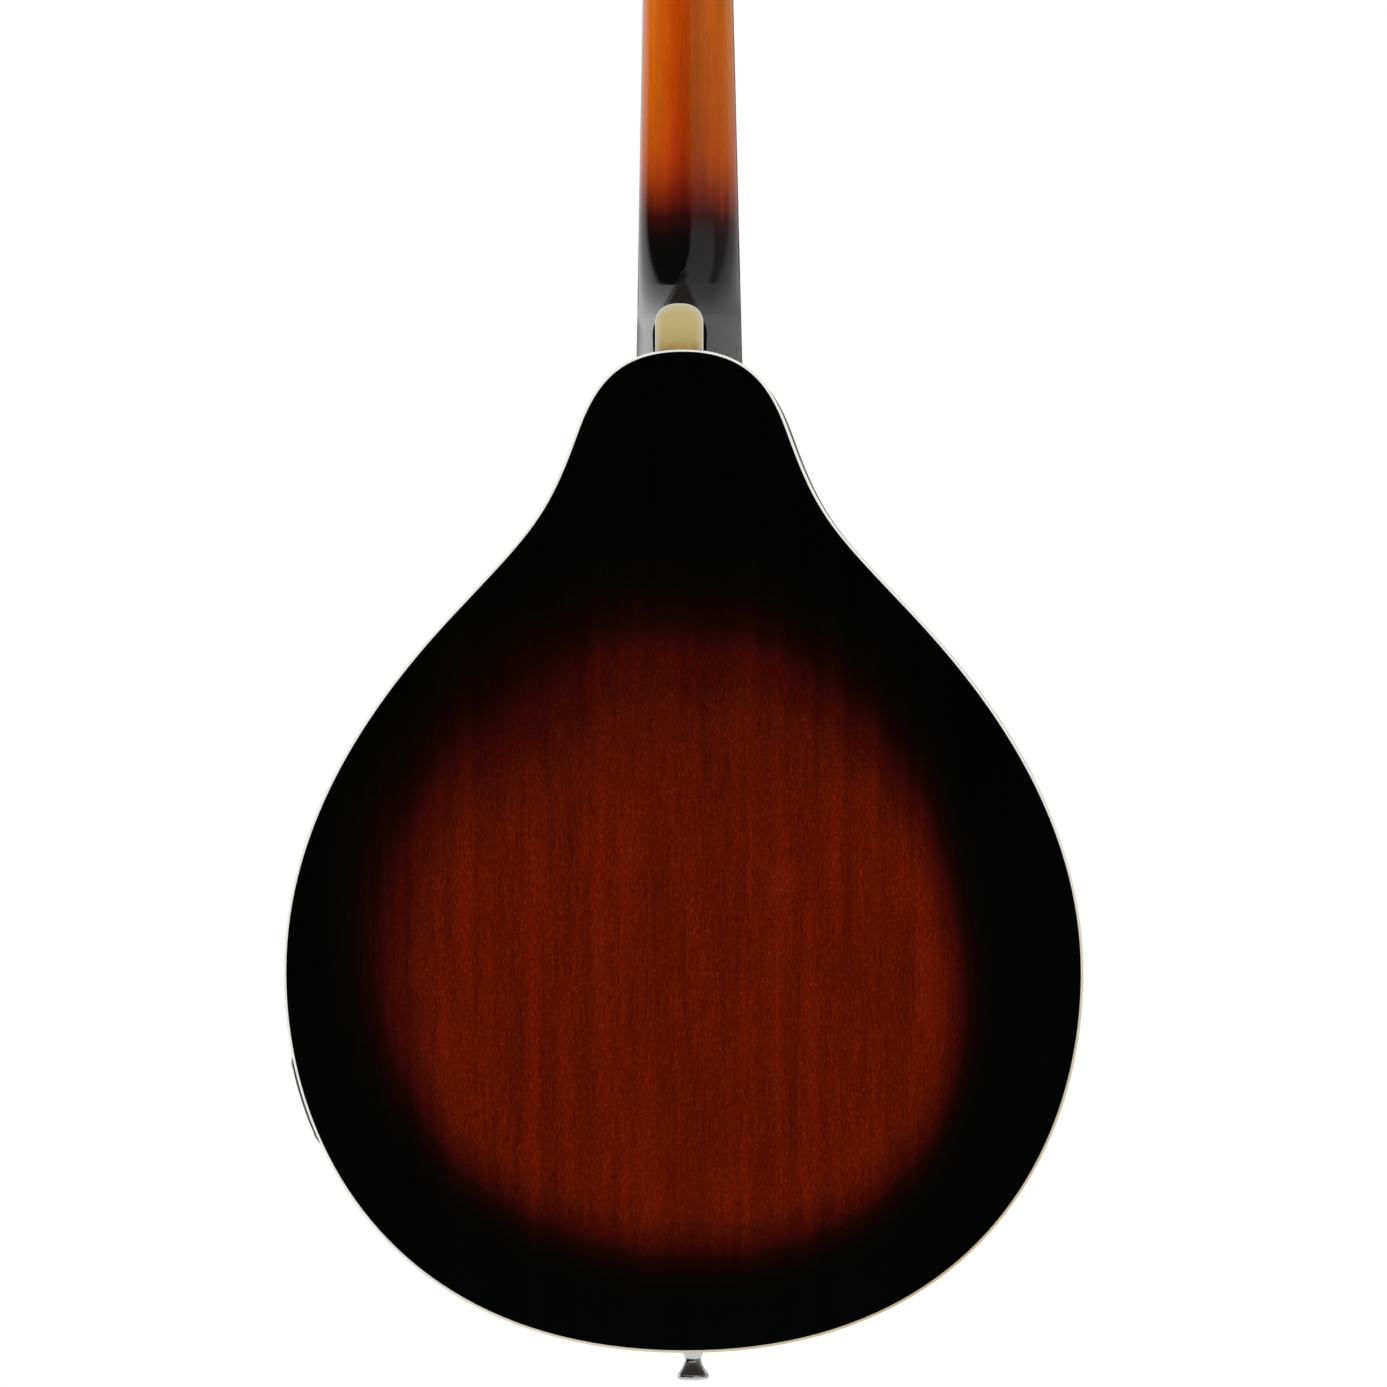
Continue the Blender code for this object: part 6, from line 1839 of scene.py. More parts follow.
@dataclass
class Neck:
    """Neck, heel and headstock in one piece of wood, with the heel cap and the truss rod."""

    shop: Workshop
    tenon: Point = (14.0 * MM, 12.0 * MM, 9.0 * MM)
    root: float = 4.0 * MM
    shelf_inset: float = 1.5 * MM
    truss_half: float = 2.6 * MM
    truss_depth: float = 7.0 * MM
    truss_foot: float = 12.0 * MM
    truss_end: float = 21.0 * MM
    cap_edge: float = 0.45 * MM
    groove: float = 0.2 * MM

    def rises(self) -> list[float]:
        """Heights above the body at which the neck's sections are taken.

        Returns:
            The heights, lowest first.
        """
        straight = NECK.cap_length - NECK.cap_arch
        rows = [-self.tenon[1] / 2, 0.0, straight * 0.5, straight]
        rows += [straight + NECK.cap_arch * math.sin(math.radians(a))
                 for a in (12, 24, 36, 48, 58, 67, 75, 82, 87)]
        rows += [NECK.cap_length + NECK.fan[1] * part
                 for part in (0.01, 0.15, 0.3, 0.45, 0.6, 0.72, 0.82, 0.9, 0.96, 1)]
        rows += [NECK.cap_length + NECK.swoop * (k / 22) ** 1.25 for k in range(7, 23)]
        joint = NECK.joint
        rows += [joint * part for part in (0.4, 0.5, 0.6, 0.7, 0.8, 0.9, 1.0)]
        return rows + [joint + NECK.nut_length, joint + NECK.nut_length + 0.5 * (HEAD.volute + HEAD.blend),
                       joint + NECK.nut_length + HEAD.volute + HEAD.blend]

    def wood(self) -> Mesh:
        """The whole neck in the neck frame.

        Returns:
            The mesh.
        """
        to_neck = FRAMES.neck_in_body.inverted()
        shaft = skin([NECK.ring(rise) for rise in self.rises()])
        under_cap = placed(block((-FAR, -(NECK.cap_thick + SEAM), -FAR), (FAR, FAR, FAR)), to_neck)
        shaft = cut(shaft, under_cap)
        rows = ((-HEAD.root, 0.0, 0.0), (0.0, HEAD.thick * 0.4, 0.0),
                (HEAD.volute * 0.8, HEAD.thick - 1.2 * MM, 0.0),
                (HEAD.volute * 0.9, HEAD.thick - 0.4 * MM, 0.35 * MM), (HEAD.volute, HEAD.thick, 1.1 * MM))
        rings = [[(x, y, z) for x, z in HEAD.outline(start, inset)] for start, y, inset in rows]
        slab = placed(skin(rings), FRAMES.head_in_neck)
        reach = NECK.half_width(NECK.joint) - self.shelf_inset
        shelf = block((-reach, NECK.board_thick + SEAM, self.shelf_inset - NECK.board_length),
                      (reach, NECK.board_thick + NECK.board_rise, self.root - NECK.joint))
        neck = fused(shaft, shelf, slab)
        over = (NECK.board_length - NECK.joint) / 2
        high = SHELL.highest(0, OUTLINE.length - over, NECK.half_width(NECK.joint), over)
        room = placed(prism(OUTLINE.closed(-SEAM), -(SHELL.depth + high + AIR), SHELL.depth), to_neck)
        seat = block((-FAR, -FAR, -FAR), (FAR, NECK.board_thick + SEAM, NECK.nut_length + SEAM))
        slot = block((-self.truss_half, 0, self.truss_foot - NECK.joint),
                     (self.truss_half, NECK.board_thick + self.truss_depth, self.truss_end))
        neck = cut(neck, room, seat, slot)
        width, length, inset = self.tenon
        tenon = block((-width / 2, -(SHELL.depth - inset), OUTLINE.length - length),
                      (width / 2, -inset, OUTLINE.length + self.root))
        neck = fused(neck, placed(tenon, to_neck))
        holes = [rod(HEAD.post_radius + AIR, (x, -HEAD.thick, z), (x, 2 * HEAD.thick, z))
                 for x, z in HEAD.posts()]
        return cut(neck, *(placed(hole, FRAMES.head_in_neck) for hole in holes))

    def cap_outline(self, inset: float) -> list[Flat]:
        """The heel cap's outline above the body, at an inset from its edge.

        Args:
            inset: how far inside the outer edge the line runs.

        Returns:
            The (x, z) points in the body frame.
        """
        radius, high = NECK.cap_half - inset, NECK.cap_arch - inset
        spring = OUTLINE.length + NECK.cap_length - NECK.cap_arch
        half = [(radius, OUTLINE.length - 4 * MM), (radius, spring)]
        half += [(radius * math.cos(a) ** NECK.cap_square, spring + high * math.sin(a) ** NECK.cap_square)
                 for a in (math.radians(step) for step in range(5, 90, 5))]
        half = half + [(0, spring + high)] + [(-x, z) for x, z in half[::-1]]
        return [(x + NECK.lean, z) for x, z in half]

    def cap(self) -> Mesh:
        """The heel cap with a bevelled edge, fitted against the body.

        Returns:
            The mesh.
        """
        edge, groove = self.cap_edge, self.groove
        rows = ((groove, -NECK.cap_thick), (groove, -edge), (groove + edge * 0.3, -edge * 0.3),
                (groove + edge, 0.0))
        return cut(layered(self.cap_outline, rows), prism(OUTLINE.closed(-SEAM), -SHELL.depth, SHELL.depth))

    def build(self) -> None:
        """Build the neck and its cap."""
        self.shop.add("neck_one_piece", placed(self.wood(), FRAMES.neck), NeckLacquer(),
                      stands_for=["neck"], angle=32)
        self.shop.add("heel_cap_plate", placed(self.cap(), FRAMES.body), CapIvory(),
                      stands_for=["heel_cap"], angle=30)
        self.shop.dress("truss_rod", BRASS)


@dataclass
class Fretboard:
    """Fretboard with its frets and dots, and the nut."""

    shop: Workshop
    fret_height: float = 0.9 * MM
    fret_width: float = 1.8 * MM
    fret_inset: float = 0.15 * MM
    dot_radius: float = 2.4 * MM
    dots: tuple[int, ...] = (5, 7, 10, 12, 15)
    double: int = 12
    spread: float = 6.2 * MM
    side_spread: float = 2.2 * MM
    nut_slope: float = 1.2 * MM

    def board(self) -> Mesh:
        """The board with its long edges eased.

        Returns:
            The mesh.
        """
        near, far = NECK.half_width(0), NECK.half_width(NECK.board_length)
        outline = [(-near, 0.0), (near, 0.0), (far, -NECK.board_length), (-far, -NECK.board_length)]
        return softened(prism(outline, 0.0, NECK.board_thick - SEAM), 0.35 * MM, 3)

    def frets(self) -> Mesh:
        """All the frets, each a crowned wire with sloped ends.

        Returns:
            One mesh with all the frets.
        """
        wires = []
        for number in range(1, NECK.fret_count + 1):
            z = -NECK.fret(number)
            half = NECK.half_width(-z) - self.fret_inset
            rings = []
            for part, high in ((-1.0, 0.25), (-0.985, 0.8), (-0.965, 1.0), (0.965, 1.0),
                               (0.985, 0.8), (1.0, 0.25)):
                arc = [(math.cos(a) * self.fret_width / 2, -math.sin(a) * self.fret_height * high)
                       for a in angles(math.pi, 10)]
                ring = [(-self.fret_width / 2, 0.3 * MM), *arc[::-1], (self.fret_width / 2, 0.3 * MM)]
                rings.append([(half * part, y, z + along) for along, y in ring])
            wires.append(skin(rings))
        return joined(wires)

    def markers(self) -> tuple[Mesh, Mesh]:
        """The pearl dots on the face, and the small dots on the bass edge.

        Returns:
            The face dots and the side dots.
        """
        faces, sides = [], []
        for number in self.dots:
            z = -(NECK.fret(number) + NECK.fret(number - 1)) / 2
            for x in (-self.spread, self.spread) if number == self.double else (0.0,):
                disc = lathe([(0, -0.6 * MM), (self.dot_radius, -0.6 * MM), (self.dot_radius, SEAM),
                              (self.dot_radius * 0.8, 0.05 * MM), (0, 0.06 * MM)], 36)
                faces.append(placed(disc, turned((x, 0, z), 1)))
            for step in (-self.side_spread, self.side_spread) if number == self.double else (0.0,):
                edge = -NECK.half_width(-z)
                dot = lathe([(0, -0.8 * MM), (MM, -0.8 * MM), (MM, 0.01 * MM), (0, 0.03 * MM)], 24)
                sides.append(placed(dot, turned((edge, NECK.board_thick * 0.45, z + step), -1, "Y")))
        return joined(faces), joined(sides)

    def nut(self) -> Mesh:
        """The nut with its back sloped down and a slot for each string.

        Returns:
            The mesh.
        """
        half, top = NECK.nut_width / 2, -NECK.nut_height
        profile = [(NECK.board_thick, SEAM), (top + 0.3 * MM, SEAM), (top, 0.35 * MM),
                   (top, 1.6 * MM), (top + 0.3 * MM, 3.2 * MM),
                   (top + self.nut_slope, NECK.nut_length - 0.1 * MM),
                   (NECK.board_thick, NECK.nut_length - 0.1 * MM)]
        blank = skin([[(x, y, z) for y, z in profile] for x in (-half, half)])
        blank = softened(blank, 0.25 * MM, 2)
        grooves = []
        for course, pair in STRINGS.each():
            at, radius = STRINGS.at_nut(course, pair), STRINGS.radii[course]
            deep = at.y + radius * 0.25 + AIR
            grooves.append(block((at.x - radius * 1.3, deep - 1.2 * MM, -MM),
                                 (at.x + radius * 1.3, deep - radius * 0.2, 9 * MM)))
        return cut(blank, *grooves)

    def build(self) -> None:
        """Build the board, its frets and dots, and the nut."""
        faces, sides = self.markers()
        self.shop.add("fretboard_slab", placed(self.board(), FRAMES.neck), Rosewood(),
                      stands_for=["fretboard"])
        self.shop.add("fret_wires", placed(self.frets(), FRAMES.neck), FRET_WIRE,
                      stands_for=["fretboard"], angle=50)
        self.shop.add("position_dots", placed(faces, FRAMES.neck), Pearl(), angle=30)
        self.shop.add("side_dots", placed(sides, FRAMES.neck), BUTTON_IVORY, angle=30)
        self.shop.add("string_nut", placed(self.nut(), FRAMES.neck), Bone(), stands_for=["nut"], angle=30)


@dataclass
class Headstock:
    """Black face veneer, truss rod cover and the ferrules round the posts."""

    shop: Workshop
    edge: float = 0.3 * MM
    window_half: float = 5.2 * MM
    window_end: float = 16.6 * MM
    cover_length: float = 27.0 * MM
    cover_low: float = 9.5 * MM
    cover_high: float = 5.5 * MM
    cover_thick: float = 1.3 * MM
    cover_start: float = 0.8 * MM
    ferrule: float = 5.1 * MM

    def veneer(self) -> Mesh:
        """The veneer with its edge eased, the window over the truss rod and the post holes.

        Returns:
            The mesh.
        """
        rows = ((0.0, -SEAM), (0.0, -(HEAD.veneer - self.edge)), (self.edge, -HEAD.veneer))
        blank = layered(partial(HEAD.outline, AIR), rows)
        window = block((-self.window_half, -HEAD.thick, -HEAD.root),
                       (self.window_half, HEAD.thick, self.window_end))
        holes = [rod(HEAD.post_radius + AIR, (x, -HEAD.thick, z), (x, HEAD.thick, z))
                 for x, z in HEAD.posts()]
        return cut(blank, window, *holes)

    def cover_outline(self, inset: float) -> list[Flat]:
        """The bell-shaped outline of the truss rod cover.

        Args:
            inset: how far inside the outer edge the line runs.

        Returns:
            Closed (x, z) points.
        """
        low, high, length = self.cover_low - inset, self.cover_high - inset, self.cover_length - inset
        waist = (high, length * 0.72)
        half = curve((low, inset), (low, length * 0.42), (high * 1.15, length * 0.42), waist, 14)
        half += curve(waist, (high, length * 0.9), (high * 0.6, length), (0, length), 12)[1:]
        return half + [(-x, z) for x, z in half[-2::-1]]

    def cover(self) -> Mesh:
        """The cover, bevelled, standing on the veneer.

        Returns:
            The mesh.
        """
        rows = ((0.0, 0.0), (0.0, -self.cover_thick * 0.55), (0.5 * MM, -self.cover_thick))
        rings = [[(x, y - HEAD.veneer - 0.01 * MM, z + self.cover_start)
                  for x, z in self.cover_outline(inset)]
                 for inset, y in rows]
        return skin(rings)

    def build(self) -> None:
        """Build the veneer, the cover with its screws, and the ferrules."""
        self.shop.add("head_veneer", placed(self.veneer(), FRAMES.head), BlackLacquer(),
                      stands_for=["headstock_veneer"], angle=30)
        self.shop.add("truss_cover", placed(self.cover(), FRAMES.head), GLOSS_PLASTIC, angle=25)
        seat = -HEAD.veneer - self.cover_thick + 0.15 * MM
        screws = [placed(screw_head(1.45 * MM, 0.7 * MM, spin), turned((x, seat, z), 1))
                  for x, z, spin in ((-6.6 * MM, 4.4 * MM, 0.4), (6.6 * MM, 4.4 * MM, 1.1),
                                     (0.0, 24.2 * MM, 0.7))]
        self.shop.add("truss_cover_screws", placed(joined(screws), FRAMES.head), NICKEL, angle=30)
        bore, rim = HEAD.post_radius + 0.12 * MM, self.ferrule
        profile = [(bore, -1.0 * MM), (bore, 0.75 * MM), (bore + 0.35 * MM, 0.95 * MM),
                   (rim - 0.9 * MM, 0.75 * MM), (rim - 0.2 * MM, 0.45 * MM), (rim, 0.0),
                   (bore + 0.1 * MM, -1.0 * MM)]
        rings = [placed(lathe(profile, 40, Ends.LOOPED), turned((x, -HEAD.veneer, z), 1))
                 for x, z in HEAD.posts()]
        self.shop.add("post_ferrules", placed(joined(rings), FRAMES.head), NICKEL, angle=35)


@dataclass
class Tuners:
    """Two strips of four tuners: plates, worm shafts with ivory buttons, posts with gears."""

    shop: Workshop
    plate_face: float = 15.5 * MM
    plate_thick: float = 1.2 * MM
    plate_width: float = 12.5 * MM
    plate_round: float = 3.2 * MM
    gear_face: float = 15.8 * MM
    gear_thick: float = 2.3 * MM
    gear_radius: float = 4.8 * MM
    teeth: int = 15
    worm_y: float = 18.0 * MM
    worm_drop: float = 7.4 * MM
    worm_radius: float = 2.3 * MM
    worm_length: float = 8.0 * MM
    shaft: float = 1.5 * MM
    ear: Flat = (1.6 * MM, 2.3 * MM)
    reach: float = 31.0 * MM
    grip: Point = (12.0 * MM, 14.0 * MM, 5.5 * MM)
    pinch: float = 0.16

    def plate_start(self) -> float:
        """Where both strips start, up the headstock."""
        return HEAD.first - self.worm_drop - 6.3 * MM

    def plate_outline(self, hand: Hand, inset: float) -> list[Flat]:
        """The strip's outline with shaped ends.

        Args:
            hand: the side of the instrument.
            inset: how far inside the outer edge the line runs.

        Returns:
            Closed (x, z) points in the head frame.
        """
        centre = hand.value * HEAD.post_offset
        half = self.plate_width / 2 - inset
        low = self.plate_start() + inset
        high = HEAD.first + (HEAD.rows - 1) * HEAD.spacing + 9.0 * MM - inset
        round_by = self.plate_round
        points = []
        for x_way, z_end, z_way in ((1, low, 1), (1, high, -1), (-1, high, -1), (-1, low, 1)):
            steps = angles(QUARTER, 8)
            if (x_way, z_way) in ((1, -1), (-1, 1)):
                steps = steps[::-1]
            for a in steps:
                x = half - round_by + round_by * math.sin(a)
                z = round_by - round_by * math.cos(a)
                points.append((centre + x_way * x, z_end + z_way * z))
        return points

    def plate(self, hand: Hand) -> Mesh:
        """One strip with its ears, bored for the shafts and posts.

        Args:
            hand: the side of the instrument.

        Returns:
            The mesh.
        """
        edge, back = 0.2 * MM, self.plate_face
        rows = ((0.0, back - self.plate_thick), (0.0, back - edge), (edge, back))
        strip = layered(partial(self.plate_outline, hand), rows)
        thick, high = self.ear
        ears, bores = [], []
        for k in range(HEAD.rows):
            x, z = HEAD.post(hand, k)
            z -= self.worm_drop
            for way in (-1, 1):
                far = x + way * self.plate_width / 2
                ends = sorted((far, far - way * thick))
                arc = [(self.worm_y + high * math.sin(a), z + high * math.cos(a))
                       for a in angles(math.pi, 14)]
                ring = [(back - 0.5 * MM, z + high), *arc, (back - 0.5 * MM, z - high)]
                ears.append(softened(skin([[(at, y, up) for y, up in ring] for at in ends]),
                                     0.15 * MM, 2, 60))
            bores.append(rod(self.shaft + 0.12 * MM, (x - self.plate_width, self.worm_y, z),
                             (x + self.plate_width, self.worm_y, z), 24))
            bores.append(rod(HEAD.post_radius + AIR, (x, 0, z + self.worm_drop),
                             (x, 20 * MM, z + self.worm_drop), 28))
        return cut(fused(strip, *ears), *bores)

    def button(self, hand: Hand) -> tuple[Mesh, Mesh]:
        """One shaft with its worm, and one grip, about the shaft's axis.

        Args:
            hand: the side of the instrument.

        Returns:
            The shaft and the grip.
        """
        side, wall = hand.value, self.plate_width / 2
        stem_end = self.reach - self.grip[0] / 3
        line = [(0.0, -(wall + 0.5 * MM)),
                (self.shaft * 0.8, -(wall + 0.5 * MM)),
                (self.shaft, -(wall + 0.2 * MM))]
        turns, half = 5, self.worm_length / 2
        line.append((self.shaft, -half))
        for k in range(turns):
            start = -half + self.worm_length * k / turns
            pitch = self.worm_length / turns
            line += [(self.worm_radius - 0.55 * MM, start + pitch * 0.08),
                     (self.worm_radius, start + pitch * 0.36), (self.worm_radius, start + pitch * 0.6),
                     (self.worm_radius - 0.55 * MM, start + pitch * 0.92)]
        line += [(self.shaft, half), (self.shaft, wall + 0.1 * MM),
                 (2.3 * MM, wall + 0.15 * MM), (2.3 * MM, wall + 1.1 * MM),
                 (self.shaft, wall + 1.3 * MM), (self.shaft, stem_end), (0.0, stem_end)]
        turn = Matrix.Rotation(side * QUARTER, 4, "Y")
        shaft = placed(lathe(line, 32), turn)
        length, width, thick = self.grip
        rings = []
        for along, wide, deep in ((-0.5, 0.20, 0.48), (-0.46, 0.36, 0.70), (-0.36, 0.60, 0.84),
                                  (-0.22, 0.82, 0.94), (-0.05, 0.97, 1.0), (0.12, 0.99, 1.0),
                                  (0.27, 0.92, 0.95), (0.38, 0.78, 0.84), (0.46, 0.56, 0.62),
                                  (0.495, 0.28, 0.32)):
            x = side * (self.reach + along * length)
            ring = []
            for k in range(36):
                a = FULL_TURN * k / 36
                pinch = 1 - self.pinch * (1 - abs(math.cos(a)) ** 1.5) + self.pinch * 0.9
                ring.append((x, math.sin(a) * deep * thick / 2 * (0.88 + 0.12 * abs(math.cos(a))) * pinch,
                             math.cos(a) * wide * width / 2 * 0.985))
            rings.append(ring)
        return shaft, skin(rings)

    def post(self) -> tuple[Mesh, Mesh]:
        """One post with its string hole and rounded tip, and its gear with the centre screw.

        Returns:
            The post, and the gear with its screw.
        """
        radius, top = HEAD.post_radius, -(HEAD.veneer + HEAD.post_height)
        line = [(0.0, -top), (radius - 0.7 * MM, -top), (radius - 0.15 * MM, -top - 0.35 * MM),
                (radius, -top - 0.8 * MM), (radius, -top - 3.2 * MM), (radius - 0.45 * MM, -top - 3.8 * MM),
                (radius - 0.5 * MM, -top - 6.6 * MM), (radius, -top - 7.6 * MM),
                (radius, -self.gear_face + 0.2 * MM), (0.0, -self.gear_face + 0.2 * MM)]
        stem = placed(lathe(line, 40), Matrix.Rotation(QUARTER, 4, "X"))
        hole = rod(0.75 * MM, (0, top + 5.0 * MM, -8 * MM), (0, top + 5.0 * MM, 8 * MM), 20)
        stem = cut(stem, hole)
        rim = []
        for k in range(self.teeth):
            for part, size in ((0.0, -0.8 * MM), (0.22, -0.8 * MM), (0.36, -0.15 * MM),
                               (0.5, 0.0), (0.64, 0.0), (0.78, -0.15 * MM)):
                a = FULL_TURN * (k + part) / self.teeth
                rim.append(((self.gear_radius + size) * math.cos(a), (self.gear_radius + size) * math.sin(a)))
        wheel = prism(rim, self.gear_face, self.gear_face + self.gear_thick)
        screw = placed(screw_head(2.1 * MM, 0.8 * MM, 0.3),
                       turned((0, self.gear_face + self.gear_thick - SEAM, 0), -1))
        return stem, joined([softened(wheel, 0.12 * MM, 2, 60), screw])

    def screws(self, hand: Hand) -> Mesh:
        """The strip's fixing screws, between the tuners.

        Args:
            hand: the side of the instrument.

        Returns:
            One mesh with all the heads.
        """
        x = hand.value * HEAD.post_offset
        places = [self.plate_start() + 3.0 * MM]
        places += [HEAD.first + (k + 0.34) * HEAD.spacing for k in range(HEAD.rows)]
        return joined(placed(screw_head(1.7 * MM, 0.75 * MM, 0.5 + 1.3 * k),
                             turned((x, self.plate_face, z), -1))
                      for k, z in enumerate(places))

    def build(self) -> None:
        """Build both strips and the eight tuners on them."""
        for hand in Hand:
            self.shop.add(f"tuner_strip_{hand.word}", placed(self.plate(hand), FRAMES.head), NICKEL,
                          stands_for=[f"tuner_plate_{hand.word}"], angle=35)
            self.shop.add(f"tuner_screws_{hand.word}", placed(self.screws(hand), FRAMES.head),
                          NICKEL, angle=30)
            for k in range(HEAD.rows):
                number = k + 1 + (HEAD.rows if hand is Hand.TREBLE else 0)
                x, z = HEAD.post(hand, k)
                shaft, grip = self.button(hand)
                at = FRAMES.head @ Matrix.Translation((x, self.worm_y, z - self.worm_drop))
                body = f"tuner_button_{number}_body"
                self.shop.add(f"worm_shaft_{number}", placed(shaft, at), NICKEL, body,
                              [f"tuner_button_{number}"], angle=35)
                self.shop.add(f"button_grip_{number}", placed(grip, at), BUTTON_IVORY, body,
                              [f"tuner_button_{number}"], angle=60)
                stem, gear = self.post()
                at = FRAMES.head @ Matrix.Translation((x, 0, z))
                body = f"tuner_post_{number}_body"
                self.shop.add(f"post_stem_{number}", placed(stem, at), NICKEL, body,
                              [f"tuner_post_{number}"], angle=35)
                self.shop.add(f"post_gear_{number}", placed(gear, at), BRASS, body,
                              [f"tuner_post_{number}"], angle=30)


@dataclass
class Strings:
    """Eight strings in four pairs, from the tailpiece hooks to the posts."""

    shop: Workshop
    rise: float = 6.4 * MM
    turns: float = 1.25
    per_turn: int = 40
    air: float = 0.7 * MM

    def winding(self, course: int, pair: int) -> list[Vector]:
        """The string's turns round its post in the head frame, from where it arrives.

        Args:
            course: the pair's number from the bass side, from 0.
            pair: which string of the pair, 0 or 1.

        Returns:
            The centre line.
        """
        radius = STRINGS.radii[course]
        hand, k = STRINGS.post_of(course, pair)
        side = hand.value
        x, z = HEAD.post(hand, k)
        nut = FRAMES.head_in_neck.inverted() @ STRINGS.at_nut(course, pair)
        reach = HEAD.post_radius + AIR + radius
        run = Vector((x - nut.x, z - nut.z))
        heading = math.atan2(run.y, run.x) + side * math.asin(reach / run.length)
        start = heading + side * QUARTER
        level = -(HEAD.veneer + self.rise)
        pitch = 2 * radius + self.air
        points = []
        for step in range(round(self.turns * self.per_turn) + 1):
            turn = step / self.per_turn
            angle = start - side * FULL_TURN * turn
            points.append(Vector((x + reach * math.cos(angle), level + pitch * turn,
                                  z + reach * math.sin(angle))))
        return points

    def build(self) -> None:
        """Build each string from its hook to the saddle, on to the nut, and round its post."""
        wraps = []
        for number, (course, pair) in enumerate(STRINGS.each(), start=1):
            radius, finish = STRINGS.radii[course], BRONZE if course < 2 else STEEL
            end = STRINGS.at_hook(course, pair)
            rest = STRINGS.at_saddle(course, pair) + Vector((0, -radius - AIR, 0))
            nut = FRAMES.neck_in_body @ STRINGS.at_nut(course, pair)
            turns = [FRAMES.neck_in_body @ FRAMES.head_in_neck @ point
                     for point in self.winding(course, pair)]
            for part, start, count in (("tail", end, 12), ("run", nut, 48)):
                line = [start.lerp(rest, k / count) for k in range(count + 1)]
                bend = ("bridge_saddle_body", start + FRAMES.origin, rest + FRAMES.origin)
                self.shop.add(f"string_{number}_{part}", placed(tube(line, radius), FRAMES.body), finish,
                              "root", [f"string_{number}"], 60, bend)
            head = placed(tube([nut] + turns, radius), FRAMES.body)
            self.shop.add(f"string_{number}_head", head, finish, "root", [f"string_{number}"], 60)
            wraps.append(placed(tube([end, end.lerp(rest, 0.085)], radius + 0.22 * MM), FRAMES.body))
        self.shop.add("string_loop_wraps", joined(wraps), STEEL, angle=60)


